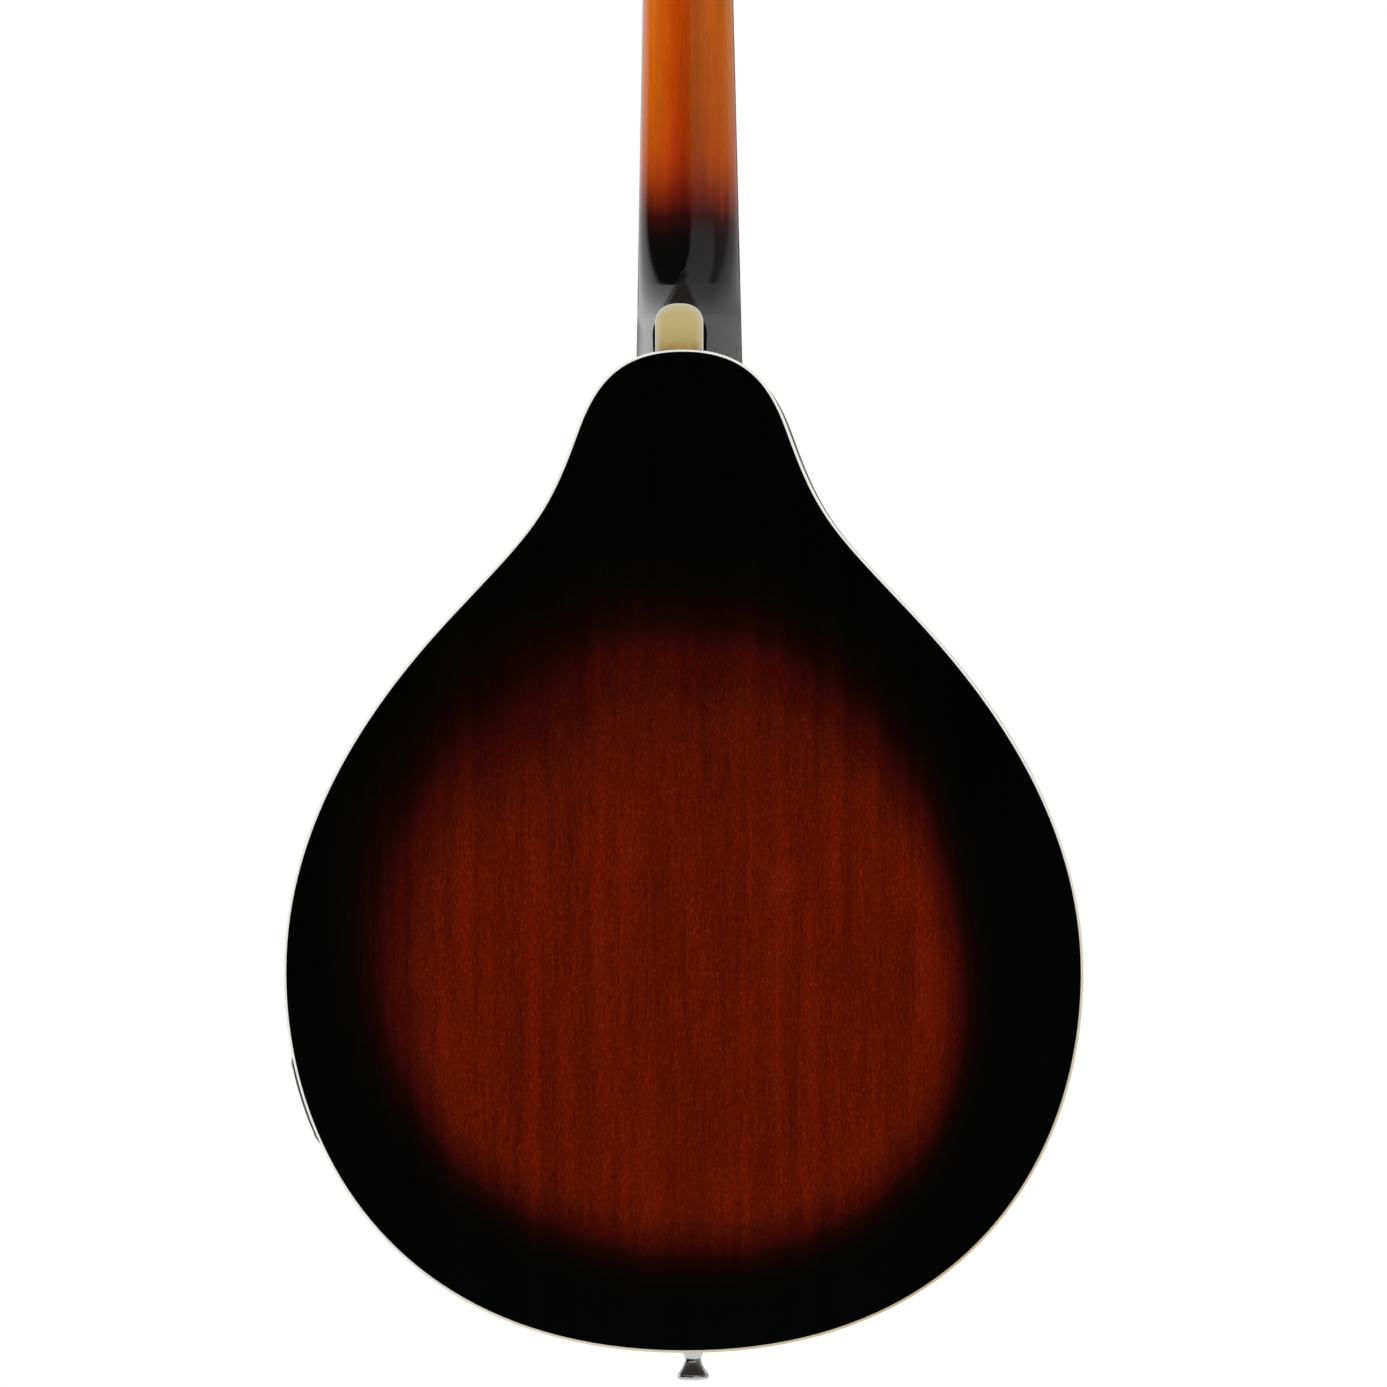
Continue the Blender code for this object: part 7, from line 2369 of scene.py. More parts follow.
@dataclass
class Bridge:
    """Floating bridge: base with threaded posts, two knurled thumbwheels and a compensated saddle."""

    shop: Workshop
    length: float = 96.0 * MM
    width: float = 11.0 * MM
    height: float = 5.0 * MM
    taper: float = 0.8
    slope: float = 0.55
    hollow: Point = (19.0 * MM, 12.0 * MM, 1.5 * MM)
    post_offset: float = 34.0 * MM
    post_radius: float = 1.6 * MM
    post_depth: float = 3.0 * MM
    pitch: float = 0.7 * MM
    wheel_radius: float = 6.0 * MM
    wheel_thick: float = 2.4 * MM
    travel: float = 1.4 * MM
    landing: float = 1.0 * MM
    saddle_length: float = 92.0 * MM
    saddle_width: float = 7.0 * MM
    crest: float = 1.0 * MM
    roof: float = 2.0 * MM
    fall: float = 1.6 * MM
    sway: float = 0.9 * MM
    foot_air: float = 0.10 * MM

    def levels(self) -> dict[str, float]:
        """Heights along Y of the bridge's parts in the body frame, and its place along Z.

        Returns:
            The heights by name, and the place as z.
        """
        crest = STRINGS.at_saddle(0, 0)
        half = self.width / 2
        high = SHELL.highest(0, crest.z, half, half)
        foot = box_of("bridge_saddle")[1].y
        return {"z": crest.z, "top": -(SHELL.depth + high + self.height),
                "wheel": foot + AIR + self.wheel_thick, "foot": foot, "crest": crest.y + AIR,
                "post_end": foot - self.post_depth}

    def base(self, at: dict[str, float]) -> Mesh:
        """The base, its foot fitted to the arch, with its ends sloped and edges eased.

        Args:
            at: the bridge's heights, from levels.

        Returns:
            The mesh.
        """
        z, half, stations = at["z"], self.width / 2, 64
        rings = []
        for k in range(stations + 1):
            x = self.length * (k / stations - 0.5)
            shoulder = max(abs(x) - (self.post_offset + self.wheel_radius + self.landing), 0.0)
            top = at["top"] + shoulder * self.slope
            place, reach, lift = self.hollow
            arch = lift * max(0.0, 1 - (abs(abs(x) - place) / reach) ** 2)
            ring = []
            for part in (-1.0, -0.5, 0.0, 0.5, 1.0):
                y = -(SHELL.depth + SHELL.rise_at(x, z + half * part)) - self.foot_air - arch
                ring.append((x, y, z + half * part))
            ring += [(x, top + 0.5 * MM, z + half * self.taper + 0.1 * MM),
                     (x, top, z + half * self.taper - 0.5 * MM), (x, top, z - half * self.taper + 0.5 * MM),
                     (x, top + 0.5 * MM, z - half * self.taper - 0.1 * MM)]
            rings.append(ring)
        return skin(rings)

    def posts(self, at: dict[str, float]) -> Mesh:
        """The two threaded posts.

        Args:
            at: the bridge's heights, from levels.

        Returns:
            One mesh with both posts.
        """
        rods, pitch = [], self.pitch
        for x in (-self.post_offset, self.post_offset):
            length = (at["top"] + MM) - at["post_end"]
            line = [(0.0, 0.0), (self.post_radius - 0.3 * MM, 0.0)]
            for k in range(int(length / pitch)):
                line += [(self.post_radius, (k + 0.5) * pitch),
                         (self.post_radius - 0.22 * MM, (k + 1) * pitch)]
            line += [(0.0, length)]
            rods.append(placed(lathe(line, 28), turned((x, at["post_end"], at["z"]), -1)))
        return joined(rods)

    def wheel(self) -> Mesh:
        """A knurled thumbwheel about the Z axis, from z = 0 up.

        Returns:
            The mesh.
        """
        bore, edge, thick = self.post_radius + 0.1 * MM, 0.45 * MM, self.wheel_thick
        outer = self.wheel_radius
        rows = [(bore, 0.0), (outer - 1.4 * MM, 0.0), (outer - 1.2 * MM, 0.12 * MM),
                (outer - edge, 0.0), (outer, edge), (outer, thick - edge), (outer - edge, thick),
                (outer - 1.2 * MM, thick - 0.12 * MM), (outer - 1.4 * MM, thick), (bore, thick)]
        return skin([circle(radius, height, 120, 0.22 * MM if radius > outer - 0.6 * MM else 0.0)
                     for radius, height in rows], Ends.LOOPED)

    def saddle(self, at: dict[str, float]) -> Mesh:
        """The saddle with a crest that steps back and forth for each pair, bored for the posts.

        Args:
            at: the bridge's heights, from levels.

        Returns:
            The mesh.
        """
        z, half, foot = at["z"], self.saddle_width / 2, at["foot"]
        rings, stations = [], 92
        for k in range(stations + 1):
            part = 2 * k / stations - 1
            x = self.saddle_length / 2 * part
            ridge = at["crest"] + self.fall * abs(part) ** 3
            end = max(abs(part) - 0.86, 0.0) / 0.14
            lift = end * end * 3.2 * MM
            sway = math.tanh(math.sin(x / (self.saddle_length / 2) * FULL_TURN) * 4)
            step = self.sway * sway * (abs(part) < 0.5)
            rings.append([(x, foot, z - half), (x, foot, z + half),
                          (x, ridge + self.roof + 1.0 * MM + lift * 0.3, z + half),
                          (x, ridge + self.roof, z + half * self.taper),
                          (x, ridge + lift * 0.2, z + self.crest / 2 + step),
                          (x, ridge + lift * 0.2, z - self.crest / 2 + step),
                          (x, ridge + self.roof, z - half * self.taper),
                          (x, ridge + self.roof + 1.0 * MM + lift * 0.3, z - half)])
        bores = [rod(self.post_radius + AIR, (x, foot + MM, z),
                     (x, at["post_end"] - AIR - self.travel, z), 28)
                 for x in (-self.post_offset, self.post_offset)]
        return cut(skin(rings), *bores)

    def build(self) -> None:
        """Build the bridge's pieces on their bodies."""
        at = self.levels()
        self.shop.add("bridge_foot", placed(self.base(at), FRAMES.body), CROSS_ROSEWOOD,
                      stands_for=["bridge_base"], angle=35)
        self.shop.add("bridge_posts", placed(self.posts(at), FRAMES.body), BRASS,
                      stands_for=["bridge_base"], angle=20)
        for hand in Hand:
            seat = turned((hand.value * self.post_offset, at["wheel"] - self.wheel_thick, at["z"]), -1)
            wheel = placed(self.wheel(), FRAMES.body @ seat)
            node = f"thumbwheel_{hand.word}"
            self.shop.add(f"knurled_wheel_{hand.word}", wheel, BRASS, f"{node}_body", [node], angle=25)
        self.shop.add("saddle_ridge", placed(self.saddle(at), FRAMES.body), CROSS_ROSEWOOD,
                      "bridge_saddle_body", ["bridge_saddle"], angle=30)


@dataclass
class Tailpiece:
    """Tailpiece base with its hooks and bent flange, and the pressed cover that slides off."""

    shop: Workshop
    width: float = 44.0 * MM
    length: float = 40.0 * MM
    thick: float = 1.2 * MM
    flange: float = 16.0 * MM
    bend: float = 2.2 * MM
    hook_height: float = 4.2 * MM
    cover_place: Flat = (2.5 * MM, 38.5 * MM)
    cover_height: float = 10.0 * MM
    cover_round: float = 3.0 * MM
    arch: float = 0.6 * MM
    wall: float = 1.0 * MM

    def outer(self) -> float:
        """The flange's outer face along Z, in the body frame."""
        return box_of("tailpiece_base")[0].z

    def base(self) -> Mesh:
        """The bent plate: a foot on the top and a flange down the tail.

        Returns:
            The mesh.
        """
        under = STRINGS.tailpiece_under
        top, outer, half = under - self.thick, self.outer(), self.width / 2
        low = -SHELL.depth + self.flange
        line = [(low, outer)]
        line += [(top + self.bend * (1 - math.sin(a)), outer + self.bend * (1 - math.cos(a)))
                 for a in angles(QUARTER, 8)]
        line += [(top, self.length)]
        back = [(under, self.length)]
        inner = self.bend - self.thick
        back += [(under + inner * (1 - math.sin(a)), outer + self.thick + inner * (1 - math.cos(a)))
                 for a in angles(QUARTER, 8)[::-1]]
        back += [(low, outer + self.thick)]
        ring = line + back
        blank = skin([[(x, y, z) for y, z in ring] for x in (-half, half)])
        return softened(blank, 0.25 * MM, 2, 50)

    def hooks(self) -> Mesh:
        """Eight hooks that lean back from the strings.

        Returns:
            One mesh with all the hooks.
        """
        top = STRINGS.tailpiece_under - self.thick
        made = []
        for course, pair in STRINGS.each():
            x, z = STRINGS.across(course, pair, STRINGS.tail_spacing), STRINGS.hook_place
            path = [(x, top + 0.3 * MM, z), (x, top - self.hook_height * 0.55, z),
                    (x, top - self.hook_height * 0.85, z - 0.15 * MM),
                    (x, top - self.hook_height, z - 0.35 * MM)]
            made.append(tube(smooth_line([Vector(point) for point in path], 5),
                             STRINGS.hook_size / 2 * 0.92, 16))
        return joined(made)

    def cover(self) -> Mesh:
        """The pressed cover, closed towards the tail, with a raised middle panel.

        Returns:
            The mesh.
        """
        under = STRINGS.tailpiece_under
        top = under - self.thick
        crown, reach = top - self.cover_height, self.width / 2 + AIR + self.wall
        tail, mouth = self.cover_place

        def section(shrink: float, foot: float) -> list[Flat]:
            """The arch of the cover as (x, y) points, from the bass foot to the treble foot.

            Args:
                shrink: how far inside the outer face it runs.
                foot: where its feet end.

            Returns:
                The (x, y) points.
            """
            side, high = reach - shrink, crown + shrink + self.arch
            bend = max(self.cover_round - shrink, 0.4 * MM)
            left = [(-side, foot)]
            left += [(-side + bend * (1 - math.cos(a)), high + bend * (1 - math.sin(a)))
                     for a in angles(QUARTER, 8)]
            left += [(-side * part, high - self.arch * (1 - part * part)) for part in (0.7, 0.5, 0.3, 0.1)]
            return left + [(-x, y) for x, y in left[::-1]]
        rows = [(0.0, mouth, under), (0.0, tail + 1.6 * MM, under), (0.25 * MM, tail + 0.7 * MM, top - AIR),
                (0.9 * MM, tail + 0.15 * MM, top - AIR), (1.8 * MM, tail, top - AIR)]
        bm = bmesh.new()
        outer = [[bm.verts.new((x, y, z)) for x, y in section(shrink, foot)] for shrink, z, foot in rows]
        rows_in = [(self.wall, mouth, under), (self.wall, tail + 1.6 * MM, under),
                   (self.wall + 0.3 * MM, tail + self.wall, top - AIR)]
        inner = [[bm.verts.new((x, y, z)) for x, y in section(shrink, foot)] for shrink, z, foot in rows_in]
        for grid in (outer, inner):
            for near, far in zip(grid, grid[1:]):
                for k in range(len(near) - 1):
                    bm.faces.new((near[k], near[k + 1], far[k + 1], far[k]))
            bm.faces.new(grid[-1])
        for k in range(len(outer[0]) - 1):
            bm.faces.new((outer[0][k], outer[0][k + 1], inner[0][k + 1], inner[0][k]))
        for end in (0, -1):
            outer_edge = [row[end] for row in outer]
            inner_edge = [row[end] for row in inner]
            bm.faces.new(outer_edge + inner_edge[::-1])
        last_outer, last_inner = outer[-1], inner[-1]
        bm.faces.new((last_outer[0], last_outer[-1], last_inner[-1], last_inner[0]))
        return softened(mesh_of(bm, "cover"), 0.2 * MM, 2, 60)

    def build(self) -> None:
        """Build the base, hooks, screws and cover."""
        self.shop.add("tailpiece_plate", placed(self.base(), FRAMES.body), CHROME,
                      stands_for=["tailpiece_base"], angle=35)
        self.shop.add("tailpiece_hooks", placed(self.hooks(), FRAMES.body), CHROME,
                      stands_for=["tailpiece_base"], angle=45)
        heads = []
        for x, y in ((-14 * MM, -35 * MM), (14 * MM, -35 * MM), (0.0, -41 * MM)):
            head = screw_head(2.4 * MM, 0.25 * MM, 0.3 + x * 60)
            heads.append(placed(head, turned((x, y, self.outer() - 0.01 * MM), 2)))
        self.shop.add("tailpiece_screws", placed(joined(heads), FRAMES.body), CHROME, angle=30)
        self.shop.add("tailpiece_shell", placed(self.cover(), FRAMES.body), CHROME, "tailpiece_cover_body",
                      ["tailpiece_cover"], angle=35)


@dataclass
class StrapButton:
    """Turned strap button with its screw, on the tail."""

    shop: Workshop
    length: float = 11.0 * MM
    base: float = 4.2 * MM
    waist: float = 2.8 * MM
    rim: float = 5.5 * MM
    screw_length: float = 14.0 * MM

    def profile(self) -> list[Flat]:
        """The turned outline from the screw's tip to the rim's face.

        Returns:
            The (radius, height) points.
        """
        length = self.length
        line = [(0.0, self.screw_length), (RIM.screw_radius * 0.35, self.screw_length - 0.4 * MM),
                (RIM.screw_radius, self.screw_length - 2.4 * MM), (RIM.screw_radius, 0.0), (self.base, 0.0),
                (self.base, -0.05 * length), (self.base * 0.97, -0.085 * length),
                (self.base * 0.9, -0.10 * length)]
        for k in range(13):
            t = k / 12
            swing = 0.5 - 0.5 * math.cos(math.pi * t)
            line.append((self.base * 0.88 + (self.waist - self.base * 0.88) * swing,
                         -(0.11 + 0.23 * t) * length))
        for k in range(1, 17):
            t = k / 16
            line.append((self.waist + (self.rim * 0.95 - self.waist) * t ** 1.7, -(0.36 + 0.46 * t) * length))
        line += [(self.rim * 0.985, -0.85 * length), (self.rim, -0.885 * length), (self.rim, -0.93 * length),
                 (self.rim * 0.97, -0.965 * length), (self.rim * 0.90, -0.99 * length),
                 (self.rim * 0.8, -length), (self.rim * 0.46, -length), (self.rim * 0.42, -0.965 * length),
                 (0.0, -0.955 * length)]
        return line

    def build(self) -> None:
        """Build the button with a crossed slot in its face."""
        seat = box_of("strap_button")[0].z + self.length
        body = lathe(self.profile(), 72)
        turn = Matrix.Rotation(math.pi / 5, 4, "Z")
        for quarter in range(2):
            spin = turn @ Matrix.Rotation(quarter * QUARTER, 4, "Z")
            blade = block((-1.5 * MM, -0.28 * MM, -2 * self.length),
                          (1.5 * MM, 0.28 * MM, -0.80 * self.length))
            body = cut(body, placed(blade, spin))
        at = FRAMES.body @ Matrix.Translation((-RIM.screw_step, -RIM.depth, seat))
        self.shop.add("strap_button_turned", placed(body, at), CHROME, stands_for=["strap_button"], angle=32)


@dataclass
class Pickup:
    """Slim magnetic pickup under the strings, with pole screws and two tabs."""

    shop: Workshop
    width: float = 46.0 * MM
    length: float = 15.0 * MM
    height: float = 7.5 * MM
    tab: float = 8.0 * MM
    tab_thick: float = 1.6 * MM
    pole_spacing: Flat = (10.4 * MM, 2.9 * MM)

    def build(self) -> None:
        """Build the case, its tabs and its screws."""
        seat = box_of("pickup")[1].y
        half, deep = self.width / 2, self.length / 2
        case = softened(block((-half, seat - self.height, PICKUP_PLACE - deep),
                              (half, seat - SEAM, PICKUP_PLACE + deep)),
                        1.1 * MM, 4)
        reach = half + self.tab
        outline = []
        for way in (1, -1):
            outline += [(way * (reach - deep / 2 + deep / 2 * math.sin(a)),
                         PICKUP_PLACE - way * deep / 2 * math.cos(a))
                        for a in angles(math.pi, 12)]
        tabs = softened(prism(outline, seat - self.tab_thick, seat), 0.3 * MM, 2)
        self.shop.add("pickup_case", placed(fused(case, tabs), FRAMES.body), Plastic(),
                      stands_for=["pickup"], angle=35)
        poles = []
        for course, pair in STRINGS.each():
            x = STRINGS.across(course, pair, self.pole_spacing)
            head = lathe([(0, -0.5 * MM), (1.15 * MM, -0.5 * MM), (1.15 * MM, 0.0), (0.95 * MM, 0.08 * MM),
                          (0, 0.1 * MM)], 24)
            poles.append(placed(head, turned((x, seat - self.height, PICKUP_PLACE), 1)))
        self.shop.add("pickup_poles", placed(joined(poles), FRAMES.body), NICKEL, angle=30)
        screws = [placed(screw_head(1.9 * MM, 0.9 * MM, 0.9 * way),
                         turned((way * (reach - self.tab / 2), seat - self.tab_thick, PICKUP_PLACE), 1))
                  for way in (-1, 1)]
        self.shop.add("pickup_screws", placed(joined(screws), FRAMES.body), NICKEL, angle=30)


@dataclass
class Controls:
    """Volume and tone: pots with washer and nut, and knurled knobs."""

    shop: Workshop
    pot_radius: float = 8.5 * MM
    pot_depth: float = 9.0 * MM
    bushing: float = 4.5 * MM
    bore: float = 3.3 * MM
    nut_radius: float = 6.2 * MM
    nut_height: float = 2.2 * MM
    rise: float = 1.0 * MM
    knob_radius: float = 8.0 * MM
    knob_height: float = 11.0 * MM
    shaft: float = 3.0 * MM
    shaft_length: float = 14.0 * MM

    def knob(self) -> Mesh:
        """The knob about Z with a knurled skirt, from its foot at z = 0.

        Returns:
            The mesh.
        """
        rings = []
        rows = [(self.shaft + 0.4 * MM, AIR), (0.985, AIR), (1.0, AIR + 0.35 * MM), (0.992, 1.2 * MM),
                (0.955, 1.7 * MM), (0.95, 2.2 * MM), (0.93, self.knob_height - 1.5 * MM),
                (0.915, self.knob_height - 0.7 * MM), (0.86, self.knob_height - 0.12 * MM),
                (0.80, self.knob_height), (0.62, self.knob_height), (0.58, self.knob_height - 0.35 * MM),
                (0.05, self.knob_height - 0.35 * MM)]
        for size, height in rows:
            radius = size if size < 0.01 else size * self.knob_radius
            ribbed = 2.0 * MM < height < self.knob_height - 0.6 * MM
            rings.append(circle(radius, height, 144, 0.32 * MM if ribbed else 0.0))
        return skin(rings)

    def build(self) -> None:
        """Build both controls."""
        for name, (x, z) in CONTROL_PLACES.items():
            top = box_of(name + "_knob")[0].y
            foot = top + self.knob_height
            turn = turned((x, foot, z), 1)
            nut_low = foot + self.rise + self.nut_height
            inside = box_of(name + "_pot")[1].y - self.pot_depth
            self.shop.add(f"{name}_knob_ribbed", placed(self.knob(), FRAMES.body @ turn), GLOSS_PLASTIC,
                          f"{name}_knob_body", [f"{name}_knob"], angle=35)
            line = [(self.shaft, AIR), (self.shaft, -self.shaft_length + 0.6 * MM),
                    (self.shaft - 0.6 * MM, -self.shaft_length), (0.0, -self.shaft_length),
                    (0.0, AIR + 0.2 * MM), (self.shaft, AIR + 0.2 * MM)]
            self.shop.add(f"{name}_knob_shaft", placed(lathe(line, 32), FRAMES.body @ turn), BRASS,
                          f"{name}_knob_body", [f"{name}_knob"], angle=35)
            pointer = block((-0.4 * MM, self.knob_radius * 0.30, self.knob_height - 0.36 * MM),
                            (0.4 * MM, self.knob_radius * 0.78, self.knob_height))
            self.shop.add(f"{name}_knob_line", placed(softened(pointer, 0.1 * MM, 2), FRAMES.body @ turn),
                          BUTTON_IVORY, f"{name}_knob_body", angle=30)
            shell = [(self.bore, foot), (self.bushing, foot), (self.bushing, inside - SEAM),
                     (self.pot_radius - 0.8 * MM, inside), (self.pot_radius, inside + 0.8 * MM),
                     (self.pot_radius, inside + self.pot_depth - 0.6 * MM),
                     (self.pot_radius - 0.6 * MM, inside + self.pot_depth), (0.0, inside + self.pot_depth),
                     (0.0, foot + self.shaft_length + AIR), (self.bore, foot + self.shaft_length + AIR)]
            flip = turned((x, 0, z), -1)
            self.shop.add(f"{name}_pot_can", placed(lathe(shell, 48), FRAMES.body @ flip), NICKEL,
                          stands_for=[f"{name}_pot"], angle=35)
            hexagon = [(self.nut_radius * math.cos(a), self.nut_radius * math.sin(a))
                       for a in (FULL_TURN * k / 6 + 0.3 for k in range(6))]
            nut = prism(hexagon, nut_low - 0.5 * MM, nut_low - self.nut_height)
            nut = cut(nut, rod(self.bushing, (0, nut_low + 2 * MM, 0), (0, nut_low - 6 * MM, 0), 40))
            washer = lathe([(self.bushing + SEAM, 0.0), (self.nut_radius, 0.0),
                            (self.nut_radius, 0.45 * MM), (self.bushing + SEAM, 0.45 * MM)],
                           48, Ends.LOOPED)
            washer = placed(washer, turned((0, nut_low, 0), 1))
            both = placed(joined([softened(nut, 0.2 * MM, 2), washer]),
                          FRAMES.body @ Matrix.Translation((x, 0, z)))
            self.shop.add(f"{name}_pot_nut", both, CHROME, stands_for=[f"{name}_pot"], angle=35)
        self.shop.dress("wiring_harness", JACKET)


@dataclass
class Jack:
    """Output jack in the treble side with its curved black plate and two chrome screws."""

    shop: Workshop
    length: float = 33.0 * MM
    width: float = 22.0 * MM
    thick: float = 1.7 * MM
    hole: float = 5.6 * MM
    narrowing: float = 0.35
    nose: float = 5.1 * MM
    bore: float = 3.4 * MM
    inner_length: float = 27.0 * MM
    screw_radius: float = 2.6 * MM
    screw_height: float = 1.3 * MM
    screw_inset: float = 4.0 * MM

    def frame(self) -> Matrix:
        """From a frame with Z out of the rim at the jack to the body frame.

        Returns:
            The frame's matrix in the body frame.
        """
        place, normal = OUTLINE.rim(RIM.jack_height)
        return Matrix.Translation(place + Vector((0, -RIM.depth, 0))) @ facing(normal)

    def plate(self) -> Mesh:
        """The plate bent to the side, with rounded ends and a crowned face.

        Returns:
            The mesh.
        """
        frame, stations = self.frame(), 48
        rings = []
        for k in range(stations + 1):
            t = 2 * k / stations - 1
            along = self.length / 2 * t
            half = self.width / 2 * (1 - self.narrowing * abs(t) ** 4)
            corner = max(abs(t) - 0.86, 0.0) / 0.14
            half *= 1 - 0.34 * corner ** 2.4
            place, normal = OUTLINE.rim(RIM.jack_height + along * frame.to_3x3().col[2].x)
            rows = [(-half, 0.12), (-half, 0.55), (-half + 0.5 * MM, 0.86), (-half + 1.3 * MM, 1.0),
                    (half - 1.3 * MM, 1.0), (half - 0.5 * MM, 0.86), (half, 0.55), (half, 0.12)]
            soften = 1 - 0.55 * corner ** 3
            rings.append([place + normal * (SEAT_AIR * (0.25 if part < 0.2 else 1.0) + self.thick * part
                                            * soften)
                          + Vector((0, -RIM.depth + side, 0)) for side, part in rows])
        bore = placed(rod(self.hole, (0, 0, -8 * MM), (0, 0, 8 * MM), 48), frame)
        return cut(skin(rings), bore)

    def screws(self) -> Mesh:
        """Two domed chrome screws near the plate's ends.

        Returns:
            One mesh with both screws.
        """
        frame = self.frame()
        heads = []
        for way in (-1, 1):
            along = way * (self.length / 2 - self.screw_inset)
            place, normal = OUTLINE.rim(RIM.jack_height + along * frame.to_3x3().col[2].x)
            start = place + normal * (SEAT_AIR + self.thick) + Vector((0, -RIM.depth, 0))
            head = screw_head(self.screw_radius, self.screw_height, 0.5 + way)
            heads.append(placed(head, Matrix.Translation(start) @ facing(normal)))
        return joined(heads)

    def build(self) -> None:
        """Build the jack, its plate and the screws."""
        frame = FRAMES.body @ self.frame()
        face = SEAT_AIR + self.thick
        inner = -(SHELL.side + SEAM)
        line = [(0.0, -self.inner_length + 2 * MM), (self.bore, -self.inner_length + 2 * MM),
                (self.bore, face - 0.4 * MM), (self.bore + 0.4 * MM, face), (self.nose - 0.4 * MM, face),
                (self.nose, face - 0.4 * MM), (self.nose, AIR), (RIM.barrel, AIR), (RIM.barrel, inner),
                (8.2 * MM, inner), (8.2 * MM, inner - 1.5 * MM), (RIM.barrel, inner - 1.5 * MM),
                (RIM.barrel * 0.9, -self.inner_length), (0.0, -self.inner_length)]
        self.shop.add("jack_barrel", placed(lathe(line, 56), frame), NICKEL,
                      stands_for=["output_jack"], angle=32)
        self.shop.add("jack_cover", placed(self.plate(), FRAMES.body), Plastic(),
                      stands_for=["jack_plate"], angle=30)
        self.shop.add("jack_screws", placed(self.screws(), FRAMES.body), NICKEL,
                      stands_for=["jack_plate"], angle=30)


# Studio


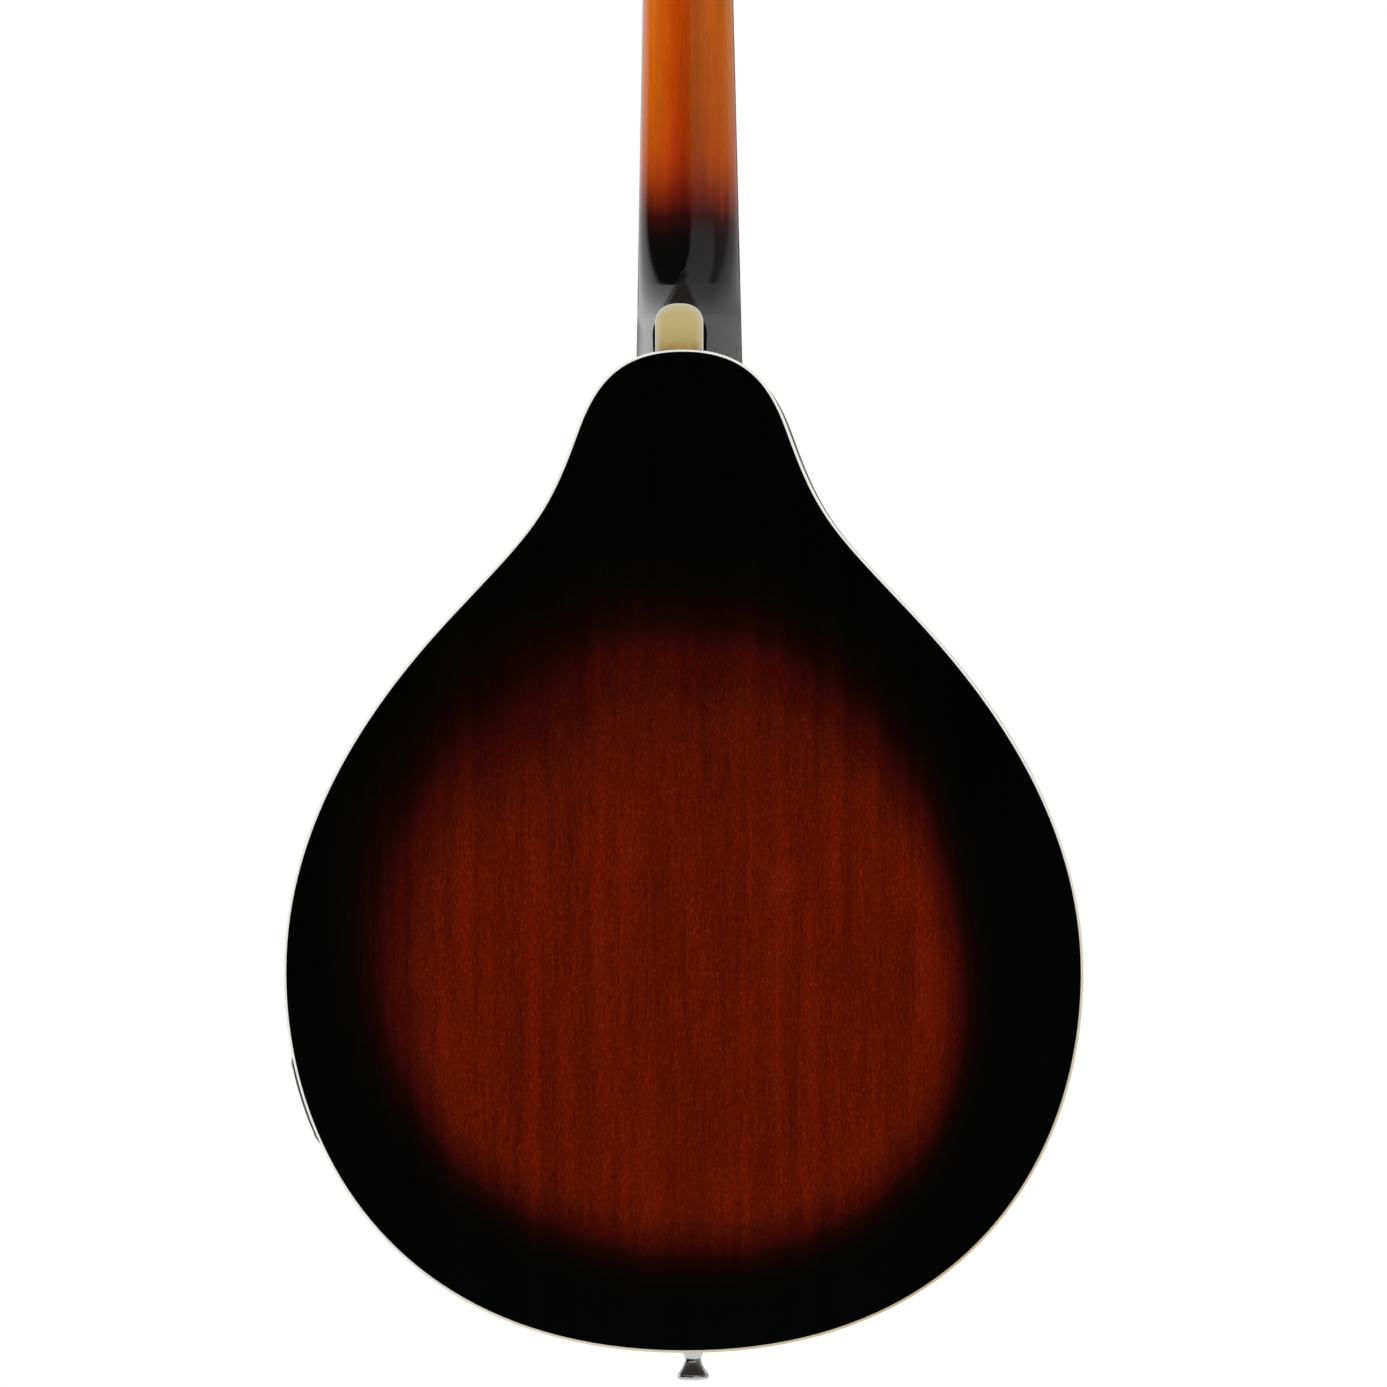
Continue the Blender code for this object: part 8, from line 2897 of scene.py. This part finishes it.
@dataclass
class Studio:
    """Pale floor, soft light from both sides, and the camera behind the instrument."""

    azimuth: float = 2.8
    distance: float = 2200.0 * MM
    frame_width: float = 477.3 * MM
    sensor: float = 36.0
    aim: Point = (-3.85 * MM, 21.755 * MM, -323.5 * MM)
    floor_drop: float = 700.0 * MM
    floor_size: float = 5.0
    fill: float = 0.72

    def world(self) -> None:
        """White backdrop, plain fill, and what gloss sees round the room by direction."""
        room = bpy.data.worlds.new("studio")
        bpy.context.scene.world = room
        room.use_nodes = True
        board = Board(room.node_tree)
        direction = board.out(board.node("TexCoord"), "Generated")
        x, y, z = board.parts(board.vector("NORMALIZE", direction))
        right = -x
        panel = board.span(right, 0.074, 0.096) * board.span(right, 0.76, 0.90, 1.0, 0.0)
        ahead = panel * (board.span(z, 0.10, 0.55) * 0.32 + 0.20) + board.span(right, 0.80,
                                                                               0.93) * 0.18 + 0.012
        under = board.span(-z, 0.12, 0.25)
        low = board.span(right, -0.52, -0.40, 0.95, 0.0) + board.span(right, 0.74, 0.86) * 0.7 + 0.012
        ahead = ahead * (1 - under) + low * under
        back = board.span(-y, 0.15, 0.45)
        centre = board.span(-y, 0.945, 0.985)
        wall = board.span(right, -0.1, 0.1, 0.9, 0.42)
        behind = wall * (1 - centre) + (board.span(-z, 0.02, 0.14) * 0.25 + 0.12) * centre
        level = ahead * (1 - back) + behind * back
        path = board.node("LightPath")
        seen = board.out(path, "Is Camera Ray")
        glossy = board.maths("MAXIMUM", board.out(path, "Is Glossy Ray"),
                             board.out(path, "Is Transmission Ray"))
        strength = self.fill * (1 - glossy) + level * glossy
        strength = strength * (1 - seen) + seen
        light = board.node("Background", None, {"Color": (1.0, 1.0, 1.0), "Strength": strength})
        end = board.node("OutputWorld")
        board.tree.links.new(light.outputs[0], end.inputs["Surface"])

    def floor(self) -> None:
        """A wide pale floor below the instrument."""
        z = FRAMES.origin.z - self.floor_drop
        bm = bmesh.new()
        bmesh.ops.create_grid(bm, x_segments=8, y_segments=8, size=self.floor_size)
        floor = bpy.data.objects.new("studio_floor",
                                     placed(mesh_of(bm, "floor"), Matrix.Translation((0, 0, z))))
        made = bpy.data.materials.new("pale_floor")
        made.use_nodes = True
        board = Board(made.node_tree)
        cloud = board.noise((900.0, 900.0, 900.0), 2.0, 0.5, origin=(0, 0, 0))
        board.surface({"Base Color": board.mix(cloud, srgb(236, 236, 234), srgb(240, 240, 239)),
                       "Roughness": 0.8})
        floor.data.materials.append(made)
        bpy.context.scene.collection.objects.link(floor)

    def lamps(self) -> None:
        """Four wide soft lamps, two on each side of the instrument."""
        for name, place, size, power in (
                ("lamp_back_right", (-1.5, 1.7, 0.5), 1.3, 9.0),
                ("lamp_back_left", (1.6, 1.6, 0.4), 1.3, 8.0),
                ("lamp_front_right", (-1.6, -1.6, 0.6), 1.3, 9.0),
                ("lamp_front_left", (1.5, -1.7, 0.5), 1.3, 9.0)):
            lamp = bpy.data.lights.new(name, "AREA")
            lamp.shape, lamp.size, lamp.energy = "SQUARE", size, power
            lamp.specular_factor = 0.0
            holder = bpy.data.objects.new(name, lamp)
            holder.location = place
            aim = Vector((0, 0, -0.25)) - Vector(place)
            holder.rotation_euler = aim.to_track_quat("-Z", "Y").to_euler()
            holder.visible_glossy = False
            bpy.context.scene.collection.objects.link(holder)

    def camera(self) -> None:
        """A long lens behind the instrument, a little to its bass side."""
        turn = math.radians(self.azimuth)
        away = Vector((-math.sin(turn), math.cos(turn), 0))
        lens = bpy.data.cameras.new("camera")
        lens.sensor_width = self.sensor
        lens.sensor_fit = "HORIZONTAL"
        lens.lens = self.sensor * self.distance / self.frame_width
        lens.clip_start, lens.clip_end = 0.05, 50.0
        holder = bpy.data.objects.new("camera", lens)
        holder.location = Vector(self.aim) + away * self.distance
        holder.rotation_euler = (-away).to_track_quat("-Z", "Y").to_euler()
        bpy.context.scene.collection.objects.link(holder)
        bpy.context.scene.camera = holder

    def build(self) -> None:
        """Set up the studio."""
        bpy.context.scene.view_settings.view_transform = "Standard"
        self.world()
        self.floor()
        self.lamps()
        self.camera()


def main() -> None:
    """Build every sub-assembly in order, then the studio."""
    logging.basicConfig(level=logging.INFO, format="%(message)s")
    shop = Workshop()
    back = Back(shop)
    for assembly in (back, Sides(shop), Top(shop, back), Neck(shop), Fretboard(shop),
                     Headstock(shop), Tuners(shop), Strings(shop), Bridge(shop), Tailpiece(shop),
                     StrapButton(shop), Pickup(shop), Controls(shop), Jack(shop)):
        assembly.build()
    Studio().build()
    LOG.info("%d pieces", shop.pieces)


if __name__ == "__main__":
    main()
